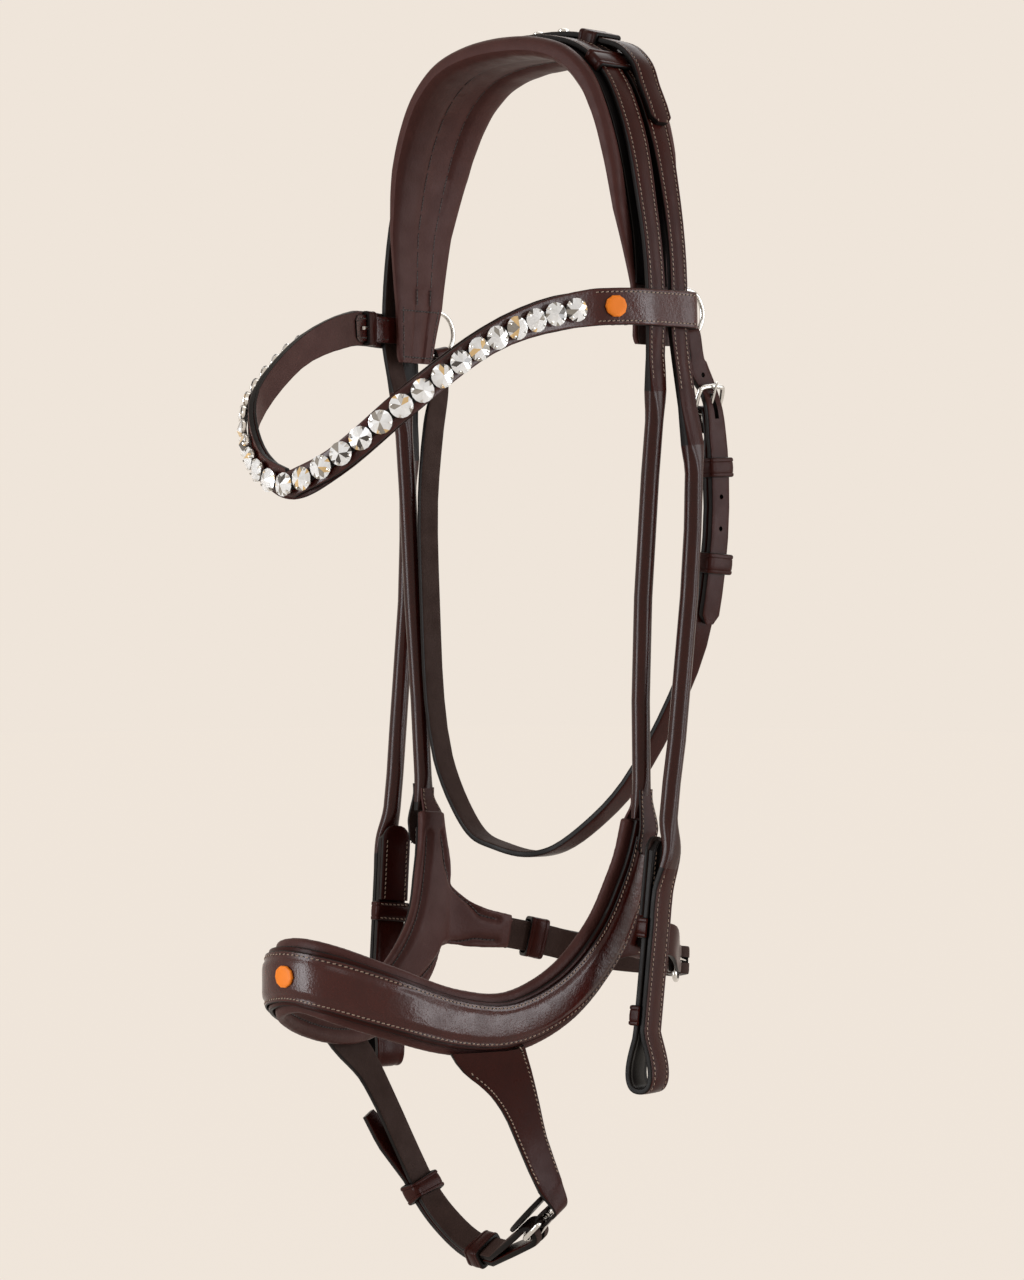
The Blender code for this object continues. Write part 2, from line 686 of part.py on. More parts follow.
def cheek_middle():
    """Middle line between the two layers of the cheek's flat end."""
    outward_turn = math.radians(12)
    across = np.array((-math.sin(outward_turn), math.cos(outward_turn), 0))
    return stations([key(place(s), across, CHEEK_WIDTH) for s in CHEEK_END_SHARES])


def cheekpiece(name, side, tail_share, level):
    """Crown half, rolled cheek, flat end and bit loop cut from one strap."""
    crown = strap_on_arch(-tail_share, CROWN_END_SHARE, REAR_STRAP_SHARES, level)
    crown.insert(1, crown[0] + (crown[1] - crown[0]) * 0.35)
    crown[0][6] *= 0.45
    flat, collar, rolled = CHEEK_SHARES[:2], CHEEK_SHARES[2:3], CHEEK_SHARES[3:]
    cheek = [key(place(s), BACK, CROWN_STRAP_LOW_WIDTH) for s in flat]
    cheek += [key(place(s), BACK, ROLLED_DIAMETER * 1.3, ROLLED_DIAMETER * 0.85, SOFT_SHARE) for s in collar]
    cheek += [key(place(s), BACK, ROLLED_DIAMETER, ROLLED_DIAMETER, ROUND_SHARE) for s in rolled]
    middle = cheek_middle()
    top, end = middle[0], middle[-1]
    length = run_of(middle)[-1]
    behind_return = ROLLED_DIAMETER * 0.33 + DOUBLE_SPACING / 2
    half_rolled = top._replace(centre=top.centre + top.out * behind_return, width=CHEEK_WIDTH * 0.75,
                               thickness=ROLLED_DIAMETER * 0.6, roundness=SOFT_SHARE)
    outer = moved([at_distance(middle, length * 0.22), at_distance(middle, length * 0.4), end], DOUBLE_SPACING / 2)
    upper_part = stations(crown + cheek + [row_of(half_rolled)] + [row_of(s) for s in outer])
    inner = turned_back(middle, -DOUBLE_SPACING / 2)
    shoulder = inner[-1]
    tip = shoulder._replace(centre=shoulder.centre + shoulder.along * CHEEK_WIDTH * 0.3, width=CHEEK_WIDTH * 0.4)
    sections = upper_part + bit_loop(end, CHEEK_WIDTH) + inner + [tip]
    strap = loft(name, "rolled leather", sections, side=side)
    hook_frame = at_distance(middle, distance_to(middle, place(CHEEK_HOOK_SHARES)))
    hole = turned("hook_hole", "polished steel", hook_frame.centre, -hook_frame.out,
                  ((STUD_SHANK_RADIUS + GAP, 0), (STUD_SHANK_RADIUS + GAP, 2 * STRAP_THICKNESS)), sides=8, side=side)
    boolean(strap, join_meshes("holes", [hole] + [stud_hole(i) for i in (-1, 1)]), "DIFFERENCE")
    return strap


def stud_share(i):
    return STUD_MIDDLE_SHARE + i * STUD_PITCH / 2 / ARCH_HALF_LENGTH


def stud_hole(i):
    frame = seat(stud_share(i))
    foot = frame.centre + frame.across * across_arch(REAR_STRAP_SHARES, stud_share(i))
    low, high = STRAP_TOP_LEVEL - STRAP_THICKNESS, UPPER_STRAP_LEVEL + STRAP_THICKNESS
    profile = ((STUD_SHANK_RADIUS + GAP, low), (STUD_SHANK_RADIUS + GAP, high))
    return turned("stud_hole", "polished steel", foot, frame.out, profile, sides=8)


def poll_studs():
    for name, i in (("poll_stud_right", -1), ("poll_stud_left", 1)):
        frame = seat(stud_share(i))
        foot = frame.centre + frame.across * across_arch(REAR_STRAP_SHARES, stud_share(i))
        low = STRAP_TOP_LEVEL - STRAP_THICKNESS / 2
        head = UPPER_STRAP_LEVEL + STRAP_THICKNESS / 2 + GAP
        profile = (
            (STUD_SHANK_RADIUS, low), (STUD_SHANK_RADIUS, head), (STUD_RADIUS, head),
            (STUD_RADIUS, head + STUD_HEIGHT * 0.4), (STUD_RADIUS * 0.7, head + STUD_HEIGHT * 0.85),
            (STUD_RADIUS * 0.25, head + STUD_HEIGHT),
        )
        turned(name, "polished steel", foot, frame.out, profile)


def crown_straps():
    """The right half runs on top over the poll and ends in a tail on the left side."""
    def lower(share):
        return strap_level(share)

    def upper(share):
        """Counted on the strap's own side, so the tail lies at negative shares."""
        if abs(share + CROWN_KEEPER_SHARE) < 1.1 * ARCH_STEP_SHARE:
            return TAIL_OVER_KEEPER_LEVEL
        if share < UNDER_TIP_SHARE + ARCH_STEP_SHARE * 1.5:
            return UPPER_STRAP_LEVEL
        return strap_level(share)

    cheekpiece("cheekpiece_left", 1, UNDER_TIP_SHARE, lower)
    cheekpiece("cheekpiece_right", -1, TAIL_TIP_SHARE, upper)


def crown_keepers():
    grid = [seat(share) for share in PAD_SHARES]
    front_edge = across_arch(FRONT_STRAP_SHARES, CROWN_KEEPER_SHARE) - CROWN_STRAP_WIDTH / 2
    rear_edge = across_arch(REAR_STRAP_SHARES, CROWN_KEEPER_SHARE) + CROWN_STRAP_WIDTH / 2
    foot = BASE_TOP_LEVEL + BASE_THICKNESS / 2 + GAP
    for name, share in (("crown_keeper_left", CROWN_KEEPER_SHARE), ("crown_keeper_right", -FAR_CROWN_KEEPER_SHARE)):
        part = round_about(grid, seat(share).centre, KEEPER_LENGTH)
        bridge(name, "bridle leather", part, (rear_edge - front_edge) / 2 + KEEPER_PLAY, CROWN_KEEPER_HEIGHT,
               KEEPER_WALL, foot, (rear_edge + front_edge) / 2)
    part = round_about(grid, seat(TAIL_KEEPER_SHARE).centre, KEEPER_LENGTH)
    height = UPPER_STRAP_LEVEL + STRAP_THICKNESS / 2 + KEEPER_PLAY
    bridge("tail_keeper", "bridle leather", part, CROWN_STRAP_WIDTH / 2 + KEEPER_PLAY, height, KEEPER_WALL, foot,
           across_arch(REAR_STRAP_SHARES, TAIL_KEEPER_SHARE))


# Throat rings
def ring_centre():
    """The ring's front wire lies on the flap, and its rear half stands free."""
    return from_seat(BROWBAND_LEVEL_SHARE, RING_BEHIND - RING_RADIUS, RING_LEVEL) + BACK * RING_RADIUS


def throat_rings():
    for name, side in (("left", 1), ("right", -1)):
        centre = ring_centre()
        keys = []
        steps = 20
        for i in range(steps):
            angle = math.tau * i / steps
            spoke = BACK * math.cos(angle) + UP * math.sin(angle)
            keys.append(key(centre + spoke * RING_RADIUS, spoke, RING_WIRE, RING_WIRE, ROUND_SHARE))
        ring = stations(keys, closed=True, bend=math.tau)
        loft("throat_ring_" + name, "polished steel", ring, closed=True, side=side, origin=centre * (side, 1, 1))


def ring_tabs():
    """Leather folded round the front of each ring and laid under the crown straps."""
    frame = seat(BROWBAND_LEVEL_SHARE)
    wire = ring_centre() - BACK * RING_RADIUS
    reach = RING_WIRE / 2 + GAP + TAB_THICKNESS / 2
    inner_level = FLAP_THICKNESS + GAP + TAB_THICKNESS / 2
    outer_level = inner_level + TAB_THICKNESS + GAP
    turn = RING_BEHIND - RING_RADIUS - reach - RING_WIRE
    hollow = RING_RADIUS - math.sqrt(RING_RADIUS ** 2 - TAB_WIDTH ** 2 / 4)
    half_turn = [
        wire + frame.across * (hollow + reach * math.sin(math.pi * i / 6)) - frame.out * reach * math.cos(math.pi * i / 6)
        for i in range(7)
    ]
    places = (
        [from_seat(BROWBAND_LEVEL_SHARE, sideways, inner_level) for sideways in (turn - TAB_LENGTH, turn)]
        + [wire - frame.out * reach] + half_turn + [wire + frame.out * reach]
        + [from_seat(BROWBAND_LEVEL_SHARE, sideways, outer_level) for sideways in (turn, turn - TAB_LENGTH)]
    )
    sections = bent(places, -frame.along, TAB_WIDTH, TAB_THICKNESS)
    for name, side in (("left", 1), ("right", -1)):
        loft("ring_tab_" + name, "bridle leather", sections, side=side)


# Browband
def band_front_keys():
    half = []
    for i, shares in enumerate(BROW_SHARES):
        crystals_end = 4
        blend = max(0.0, min(1.0, (i - crystals_end + 1) / 2))
        width = BROWBAND_FRONT_WIDTH + (BROWBAND_WIDTH - BROWBAND_FRONT_WIDTH) * blend
        half.append(key(place(shares), UP, width, BROWBAND_THICKNESS))
    return half


def band_end_keys():
    """Loop round the crown straps behind the eye, and the layer that comes forward again inside them."""
    down = seat(BROWBAND_LEVEL_SHARE).along

    def here(sideways, outward, width, thickness):
        point = from_seat(BROWBAND_LEVEL_SHARE, sideways, outward)
        return key(point, -down, width, thickness)

    rear_edge = across_arch(REAR_STRAP_SHARES, BROWBAND_LEVEL_SHARE) + CROWN_STRAP_LOW_WIDTH / 2
    front_edge = across_arch(FRONT_STRAP_SHARES, BROWBAND_LEVEL_SHARE) - CROWN_STRAP_LOW_WIDTH / 2
    radius = (BAND_OUTER_LEVEL - BAND_INNER_LEVEL) / 2
    middle = (BAND_OUTER_LEVEL + BAND_INNER_LEVEL) / 2
    turn = rear_edge + STRAP_THICKNESS * 0.35
    mean_thickness = (BROWBAND_THICKNESS + BROWBAND_INNER_THICKNESS) / 2
    inner_width = BROWBAND_WIDTH * 0.76
    low_level = FLAP_THICKNESS + 3 * GAP + 2 * TAB_THICKNESS + BROWBAND_INNER_THICKNESS / 2
    return [
        here(front_edge, BAND_OUTER_LEVEL - GAP, BROWBAND_WIDTH, BROWBAND_THICKNESS),
        here(front_edge / 2, BAND_OUTER_LEVEL, BROWBAND_WIDTH, BROWBAND_THICKNESS),
        here(turn, BAND_OUTER_LEVEL, BROWBAND_WIDTH, BROWBAND_THICKNESS),
        here(turn + radius * 0.7, middle + radius * 0.7, BROWBAND_WIDTH, mean_thickness),
        here(turn + radius, middle, BROWBAND_WIDTH, mean_thickness),
        here(turn + radius * 0.7, middle - radius * 0.7, BROWBAND_WIDTH, mean_thickness),
        here(turn, BAND_INNER_LEVEL, BROWBAND_WIDTH * 0.9, BROWBAND_INNER_THICKNESS),
        here(turn * 0.7, BAND_INNER_LEVEL, BROWBAND_WIDTH * 0.86, BROWBAND_INNER_THICKNESS),
        here(0, BAND_INNER_LEVEL, inner_width, BROWBAND_INNER_THICKNESS),
        here(-rear_edge, low_level + GAP, inner_width, BROWBAND_INNER_THICKNESS),
        here(front_edge * 0.8, low_level + GAP, inner_width, BROWBAND_INNER_THICKNESS),
    ]


def band_route():
    half = band_front_keys()
    return mirrored(half[1:]) + half


def browband():
    front, end = band_front_keys(), band_end_keys()
    outer = stations(front + end)
    inward = BROWBAND_THICKNESS / 2 + GAP + BROWBAND_INNER_THICKNESS / 2
    last = distance_to(outer, front[-1][:3])
    tab = turned_back(stretch(outer, last - BROWBAND_TAB_LENGTH, last + KEEPER_LENGTH * 0.1), -inward)
    tab = [s._replace(width=BROWBAND_WIDTH * 0.76, thickness=BROWBAND_INNER_THICKNESS) for s in tab]
    tip = tab[-1]._replace(centre=tab[-1].centre + tab[-1].along * BROWBAND_WIDTH * 0.15, width=BROWBAND_WIDTH * 0.5)
    left = outer + tab + [tip]
    right = [
        Station(s.centre * (-1, 1, 1), s.along * (1, -1, -1), s.across * (-1, 1, 1), s.out * (-1, 1, 1), *s[4:])
        for s in left[:0:-1]
    ]
    loft("browband_strap", "bridle leather", right + left)


def point_on(route, distance):
    """Frame at a distance along stations from the middle one, counted to the left."""
    return at_distance(route, distance + distance_to(route, route[len(route) // 2].centre * (0, 1, 1)))


def crystal_row():
    """Silver cups on a thin strip, each with a cut stone, following the dip of the browband."""
    route = stations(band_route(), bend=math.radians(4))
    strip_level = BROWBAND_THICKNESS / 2 + 2 * GAP + CUP_STRIP_THICKNESS / 2
    reach = (CRYSTAL_COUNT - 1) / 2 * CRYSTAL_PITCH
    steps = CRYSTAL_COUNT - 1
    rows = [point_on(route, -reach + i * 2 * reach / steps) for i in range(steps + 1)]
    keys = [
        key(row.centre + row.out * strip_level, row.across, CRYSTAL_RADIUS, CUP_STRIP_THICKNESS) for row in rows
    ]
    strip = loft("crystal_row", "crystal in silver cups", stations(keys, bend=math.tau), count=4)
    base = strip_level - CUP_STRIP_THICKNESS / 4
    stones = []
    for row in rows:
        profile = (
            (CRYSTAL_RADIUS * 0.9, base), (CRYSTAL_RADIUS, base + CUP_HEIGHT),
            (CRYSTAL_RADIUS * 0.6, base + CUP_HEIGHT + CROWN_HEIGHT),
        )
        stones.append(turned("stone", "crystal in silver cups", row.centre, row.out, profile, sides=8))
    boolean(strip, join_meshes("stones", stones), "UNION")


def disc(name, frame, level):
    profile = (
        (DISC_RADIUS, level), (DISC_RADIUS, level + DISC_THICKNESS * 0.7),
        (DISC_RADIUS * 0.92, level + DISC_THICKNESS),
    )
    turned(name, "orange leather", frame.centre, frame.out, profile, sides=20)


def browband_trim():
    route = stations(band_route(), bend=math.radians(4))
    beyond_crystals = CRYSTAL_COUNT / 2 * CRYSTAL_PITCH + CRYSTAL_RADIUS + 2 * DISC_RADIUS
    disc("browband_disc", point_on(route, beyond_crystals), BROWBAND_THICKNESS / 2 + GAP)
    inner_face = BROWBAND_THICKNESS / 2 + GAP + BROWBAND_INNER_THICKNESS + GAP
    front = band_front_keys()
    outer = stations(front + band_end_keys())
    last = distance_to(outer, front[-1][:3])
    keeper_part = stretch(outer, last - KEEPER_LENGTH, last)
    hook_at = at_distance(outer, last - KEEPER_LENGTH - BAR_HOOK_LENGTH * 0.85)
    for name, side in (("left", 1), ("right", -1)):
        inward = [s._replace(out=-s.out) for s in keeper_part]
        bridge("browband_keeper_" + name, "bridle leather", inward, BROWBAND_WIDTH * 0.38 + KEEPER_PLAY,
               inner_face, KEEPER_WALL, BROWBAND_THICKNESS / 2 + GAP, side=side)
        hook = hook_at.centre - hook_at.out * (inner_face + BAR_HOOK_WIDTH / 2)
        bar = [
            key(hook + hook_at.along * BAR_HOOK_LENGTH * end / 2, hook_at.across, BAR_HOOK_WIDTH, BAR_HOOK_WIDTH,
                SOFT_SHARE) for end in (-1, 1)
        ]
        loft("browband_hook_" + name, "polished steel", stations(bar), side=side)


# Buckles
Site = namedtuple("Site", "bar toward out side_way")


def buckle_site(strap_centre, aim, out, strap_thickness=STRAP_THICKNESS):
    """Heel bar of a buckle at the end of a strap: where it lies and how it is turned."""
    toward = unit(aim - strap_centre)
    out = unit(out - toward * np.dot(out, toward))
    depth = WIRE / 2 + GAP + FOLD_THICKNESS - strap_thickness / 2
    return Site(strap_centre - out * depth, toward, out, np.cross(out, toward))


def on_site(site, toward, out=0.0, sideways=0.0):
    return site.bar + site.toward * toward + site.out * out + site.side_way * sideways


def fold_keys(site, width, wire, lap, facing, apex=0.0):
    """Strap end skived thin, turned round a bar or ring and laid back on the strap."""
    reach = wire / 2 + GAP + FOLD_THICKNESS / 2
    lap_level = wire / 2 + GAP + FOLD_THICKNESS - STRAP_THICKNESS - GAP - FOLD_THICKNESS / 2
    aslant = math.sqrt(0.5)
    rows = (
        (-lap * 1.02, reach), (-lap * 0.5, reach), (0, reach), (apex + reach * aslant, reach * aslant),
        (apex + reach, 0), (apex + reach * aslant, -reach * aslant), (0, -reach), (-lap * 0.4, -reach),
        (-lap * 0.8, lap_level - GAP),
    )
    across = site.side_way * math.copysign(1, float(np.dot(site.side_way, facing)))
    return [key(on_site(site, forward, out), across, width, FOLD_THICKNESS) for forward, out in rows]


def box_cutter(name, site, start, end, low, high, width):
    """Straight-sided cutter in a buckle's own directions."""
    mesh = bmesh.new()
    a, b = site.toward * (end - start) / 2, site.out * (high - low) / 2
    rings = []
    for end_way in (-1, 1):
        centre = on_site(site, (start + end) / 2, (low + high) / 2, width / 2 * end_way)
        rings.append([centre - a - b, centre + a - b, centre + a + b, centre - a + b])
    rows = skin(mesh, rings, False)
    mesh.faces.new(rows[0])
    mesh.faces.new(rows[-1])
    return finish(name, "polished steel", mesh)


def prong_slot(site, lap):
    reach = WIRE / 2 + GAP + FOLD_THICKNESS
    width = PRONG_WIRE + 2 * SLOT_SIDE
    return box_cutter("slot", site, -lap * 0.45, reach + WIRE, -reach - WIRE, reach + WIRE, width)


def buckle_frame(name, site, strap_width, length, rise, origin=None):
    """Wire loop with round corners; the outer bar stands higher than the heel bar by the rise."""
    half = strap_width / 2 + BUCKLE_SIDE + WIRE / 2
    corner = WIRE
    lift = unit(site.toward * length + site.out * rise)
    run = math.hypot(length, rise)
    upright = np.cross(lift, site.side_way)
    outline_points = (
        (0, -half * 0.5), (0, half * 0.5), (corner * 0.3, half - corner * 0.35), (corner, half),
        (run / 2, half + WIRE * 0.2), (run - corner, half), (run - corner * 0.3, half - corner * 0.35),
        (run, half * 0.5), (run, -half * 0.5), (run - corner * 0.3, -half + corner * 0.35),
        (run - corner, -half), (run / 2, -half - WIRE * 0.2), (corner, -half),
        (corner * 0.3, -half + corner * 0.35),
    )
    keys = [
        key(site.bar + lift * forward + site.side_way * sideways, upright, WIRE, WIRE, ROUND_SHARE)
        for forward, sideways in outline_points
    ]
    sections = stations(keys, closed=True, bend=math.radians(40))
    return loft(name, "polished steel", sections, closed=True, origin=origin)


def prong(name, site, bar_at, bar_clearance):
    """Wire bent round the heel bar and laid over the outer bar."""
    radius = WIRE / 2 + GAP / 2 + PRONG_WIRE / 2
    keys = []
    for degrees in (-25, -60, -100, -140, -180, -220, -255):
        angle = math.radians(degrees)
        point = on_site(site, radius * math.cos(angle), radius * math.sin(angle))
        keys.append(key(point, site.side_way, PRONG_WIRE, PRONG_WIRE, ROUND_SHARE))
    for share in (0.3, 0.65, 1 + PRONG_WIRE / bar_at):
        point = on_site(site, bar_at * share, radius + (bar_clearance - radius) * share)
        taper = 1 - 0.3 * share
        keys.append(key(point, site.side_way, PRONG_WIRE * taper, PRONG_WIRE * taper, ROUND_SHARE))
    sections = stations(keys, bend=math.radians(42))
    return loft(name, "polished steel", sections, count=6, origin=site.bar)


def roller(name, site, strap_width, length):
    """Loose tube on the outer bar that the strap runs over."""
    middle = on_site(site, length)
    half = strap_width * 0.41
    ends = [Station(middle + site.side_way * a * half, site.side_way, site.toward, site.out, 0, 0, 0) for a in (-1, 1)]
    inner = WIRE + 2 * GAP
    return sleeve(name, "polished steel", ends, inner, inner, ROLLER_WALL, origin=middle, count=10,
                  roundness=ROUND_SHARE)


def holes_along(route_frames, prefix):
    """Cutters for punched holes, one at each frame."""
    return [
        turned(prefix, "polished steel", frame.centre, frame.out,
               ((HOLE_RADIUS, -STRAP_THICKNESS), (HOLE_RADIUS, STRAP_THICKNESS)), sides=6)
        for frame in route_frames
    ]


def turn_back_keys(site, length, width, facing):
    """Strap that comes in under the roller, turns round it and leaves above it."""
    reach = WIRE / 2 + GAP + ROLLER_WALL + 1.5 * GAP + STRAP_THICKNESS / 2
    across = site.side_way * math.copysign(1, float(np.dot(site.side_way, facing)))
    rows = ((0.35, -0.94), (0, -1), (-0.38, -0.92), (-0.71, -0.71), (-0.92, -0.38), (-1, 0), (-0.92, 0.38),
            (-0.71, 0.71), (-0.38, 0.92), (0, 1), (0.35, 0.94))
    return [
        key(on_site(site, length + reach * forward, reach * out), across, width * 0.9) for forward, out in rows
    ]


def doubled_strap(name, finish_name, middle, tail_at, site, length, tip, width, squared=0, level_across=BACK):
    """Strap that runs to a roller buckle, turns round the roller and lies back on itself."""
    half = DOUBLE_SPACING / 2
    total = run_of(middle)[-1]
    inner = moved(middle, -half)
    outer = turned_back(stretch(middle, tail_at, total), half)
    turn_rows = turn_back_keys(site, length, width, inner[-1].across)
    turn = stations([row_of(inner[-1])] + turn_rows + [row_of(outer[0])], bend=math.radians(26))[1:-1]
    last = outer[-1]
    shoulder = last._replace(centre=(last.centre * 0.45 + tip * 0.55))
    point = last._replace(centre=tip, width=width * 0.5)
    sections = level_start(inner, squared, level_across) + turn + outer
    sections += stations([row_of(last), row_of(shoulder), row_of(point)])[1:]
    strap = loft(name, finish_name, sections)
    reach = WIRE / 2 + 2 * GAP + ROLLER_WALL + STRAP_THICKNESS
    slot = box_cutter("slot", site, length - reach - WIRE, length + WIRE * 1.9, -WIRE * 0.4, reach + WIRE,
                      PRONG_WIRE + 2 * SLOT_SIDE)
    spare = at_distance(outer, HOLE_PITCH * 1.5)
    boolean(strap, join_meshes("cutters", [slot] + holes_along([spare], "hole")), "DIFFERENCE")
    return strap


def level_start(sections, count, level_across):
    """Turn the first stations step by step until the very first one is cut off level."""
    result = list(sections)
    for i in range(count):
        share = 1 - i / count
        s = result[i]
        along = unit(s.along * (1 - share) - UP * share)
        across = unit(s.across * (1 - share) + level_across * share)
        across = unit(across - along * np.dot(across, along))
        result[i] = s._replace(along=along, across=across, out=np.cross(along, across))
    return result


# Throatlash
def throat_site():
    centre = place(THROAT_BUCKLE_SHARES)
    return buckle_site(centre, 2 * centre - place(THROAT_SHARES[0]), LEFT)


def ring_site(side):
    """Where a strap loops round the lower edge of a throat ring."""
    angle = math.radians(-78)
    spoke = BACK * math.cos(angle) + UP * math.sin(angle)
    wire = (ring_centre() + spoke * RING_RADIUS) * (side, 1, 1)
    out = LEFT * side
    return Site(wire, -spoke, out, np.cross(out, -spoke))


def throat_axis():
    return ring_centre() * (0, 1, 1)


def ring_fold(side, lap):
    width = SMALL_STRAP_WIDTH * 0.75
    apex = RING_RADIUS - math.sqrt(RING_RADIUS ** 2 - (width / 2) ** 2)
    return fold_keys(ring_site(side), width, RING_WIRE, lap, BACK, apex)


def throat_route():
    """Long strap from its fold in the buckle down under the jaw and up to its fold in the right ring."""
    near = fold_keys(throat_site(), SMALL_STRAP_WIDTH * 0.86, WIRE, SMALL_STRAP_WIDTH, BACK)[::-1]
    far = ring_fold(-1, SMALL_STRAP_WIDTH)
    return stations(near + [key(place(s), BACK, SMALL_STRAP_WIDTH) for s in THROAT_SHARES] + far)


def throatlash():
    strap = loft("throatlash_strap", "bridle leather", throat_route(), origin=throat_axis())
    boolean(strap, prong_slot(throat_site(), SMALL_STRAP_WIDTH), "DIFFERENCE")


def throat_levels():
    """Height of the point strap above the heel bar, and of the outer bar above it."""
    over_heel = WIRE / 2 + GAP + FOLD_THICKNESS + GAP + STRAP_THICKNESS / 2
    under_outer = over_heel * 0.5
    outer_bar = under_outer + STRAP_THICKNESS / 2 + GAP + WIRE / 2
    return over_heel, under_outer, outer_bar


def point_strap():
    """Strap with punched holes from the left ring through the buckle to its rounded tip."""
    site, route = throat_site(), throat_route()
    over_heel, under_outer, _ = throat_levels()
    lap = SMALL_STRAP_WIDTH * 0.8
    ring = ring_fold(1, lap)[::-1]
    main_level = RING_WIRE / 2 + GAP + FOLD_THICKNESS - STRAP_THICKNESS / 2
    leave = key(on_site(ring_site(1), -lap * 1.45, main_level), BACK, SMALL_STRAP_WIDTH)
    first = distance_to(route, place(THROAT_SHARES[0]))
    last = distance_to(route, place(POINT_TIP_SHARES))
    along = moved(stretch(route, first, last), DOUBLE_SPACING)
    through = [
        key(on_site(site, THROAT_BUCKLE_LENGTH * 0.9, under_outer), BACK, SMALL_STRAP_WIDTH * 0.9),
        key(on_site(site, 0, over_heel), BACK, SMALL_STRAP_WIDTH * 0.9),
        key(on_site(site, -SMALL_STRAP_WIDTH, over_heel), BACK, SMALL_STRAP_WIDTH),
    ]
    upper = stations(ring + [leave] + through + [row_of(along[0])])
    tip = along[-1]._replace(width=SMALL_STRAP_WIDTH * 0.45)
    shoulder = at_distance(along, run_of(along)[-1] - SMALL_STRAP_WIDTH * 0.35)
    sections = upper[:-1] + stretch(along, 0, run_of(along)[-1] - SMALL_STRAP_WIDTH * 0.35) + [tip]
    strap = loft("throatlash_point_strap", "bridle leather", sections, origin=throat_axis())
    slot = box_cutter("slot", site, -WIRE * 1.6, THROAT_BUCKLE_LENGTH * 0.72, under_outer - STRAP_THICKNESS,
                      over_heel + STRAP_THICKNESS, PRONG_WIRE + 2 * SLOT_SIDE)
    middle = distance_to(route, place(THROAT_KEEPER_SHARES[0])) - first
    spots = [middle + KEEPER_LENGTH * 0.5 + HOLE_PITCH * i for i in (0.6, 1.6)]
    picked = [at_distance(along, spot) for spot in spots]
    above = stations([leave, through[0]])
    picked.append(at_distance(above, run_of(above)[-1] * 0.4))
    boolean(strap, join_meshes("cutters", [slot] + holes_along(picked, "hole")), "DIFFERENCE")


def throat_buckle():
    site, route, axis = throat_site(), throat_route(), throat_axis()
    _, _, outer_bar = throat_levels()
    buckle_frame("throatlash_buckle", site, SMALL_STRAP_WIDTH, THROAT_BUCKLE_LENGTH, outer_bar, origin=axis)
    prong("throatlash_prong", site, THROAT_BUCKLE_LENGTH, outer_bar + WIRE / 2 + GAP + PRONG_WIRE / 2)
    for name, shares in zip(("throatlash_keeper_upper", "throatlash_keeper_lower"), THROAT_KEEPER_SHARES):
        part = moved(round_about(route, place(shares), KEEPER_LENGTH), DOUBLE_SPACING / 2)
        is_fixed = name.endswith("upper")
        play = KEEPER_PLAY if is_fixed else SLIDE_PLAY
        origin = axis if is_fixed else at_distance(part, KEEPER_LENGTH / 2).centre
        sleeve(name, "bridle leather", part, SMALL_STRAP_WIDTH + 2 * play,
               2 * STRAP_THICKNESS + GAP + 2 * play, KEEPER_WALL, origin=origin)


# Cheek ends
def cheek_fittings():
    middle = cheek_middle()
    inner_thickness = 2 * STRAP_THICKNESS + GAP + 2 * KEEPER_PLAY
    hook_at = at_distance(middle, distance_to(middle, place(CHEEK_HOOK_SHARES)))
    for name, side in (("left", 1), ("right", -1)):
        head = STRAP_THICKNESS + GAP
        profile = (
            (STUD_SHANK_RADIUS, GAP), (STUD_SHANK_RADIUS, head + GAP), (STUD_RADIUS, head + GAP),
            (STUD_RADIUS, head + STUD_HEIGHT * 0.5), (STUD_RADIUS * 0.5, head + STUD_HEIGHT),
        )
        turned("cheek_hook_" + name, "polished steel", hook_at.centre, -hook_at.out, profile, side=side)
        for place_name, shares in (("upper", CHEEK_UPPER_KEEPER_SHARES), ("lower", CHEEK_LOWER_KEEPER_SHARES)):
            part = round_about(middle, place(shares), KEEPER_LENGTH)
            sleeve("cheek_keeper_" + place_name + "_" + name, "bridle leather", part,
                   CHEEK_WIDTH + 2 * KEEPER_PLAY, inner_thickness, KEEPER_WALL, side=side)


# Noseband
def noseband_route(finer=1.0):
    """Middle line of the noseband leather from the top of the right yoke round the nose to the left."""
    width_shares = (1.0, 1.0, 0.95, 0.86, 0.80, 0.80, 0.76, 0.62, 0.50)
    lean_shares = (0, 0, 0, 0, 0.1, 0.45, 1.4, 4, 9)
    half = []
    for shares, width_share, lean_share in zip(NOSE_SHARES, width_shares, lean_shares):
        across = unit(UP - BACK * lean_share)
        half.append(key(place(shares), across, NOSEBAND_WIDTH * width_share, NOSEBAND_THICKNESS))
    return stations(mirrored_up(half[1:]) + half, bend=FINE_BEND_STEP * finer)


def mirrored_up(keys):
    """Mirror of a route whose width points up, run the other way."""
    return [row * (-1, 1, 1, 1, 1, 1, 1, 1, 1) for row in keys[::-1]]


def arm_keys(level, width_grow=0.0):
    """Arm of the yoke that reaches back along the jaw, at a level outwards from the leather's middle."""
    route = noseband_route()
    root = at_distance(route, run_of(route)[-1] - ARM_ROOT_DISTANCE)
    up = root.along
    widths = [NOSEBAND_WIDTH * share + width_grow for share in (1.2, 0.98, 0.74, 0.62)]
    keys = [
        key(root.centre, up, widths[0]),
        key(root.centre - root.across * NOSEBAND_WIDTH * 0.5, unit(up * 0.6 + UP * 0.4), widths[1]),
    ]
    keys += [key(place(shares), UP, width) for shares, width in zip(ARM_SHARES, widths[2:])]
    return [row_of(s) for s in moved(key_frames(keys), level)]


def key_frames(keys):
    """The frame at each key of a route."""
    curve = Smooth(keys)
    return [curve.station(span, 0) for span in range(curve.spans)] + [curve.station(curve.spans - 1, 1)]


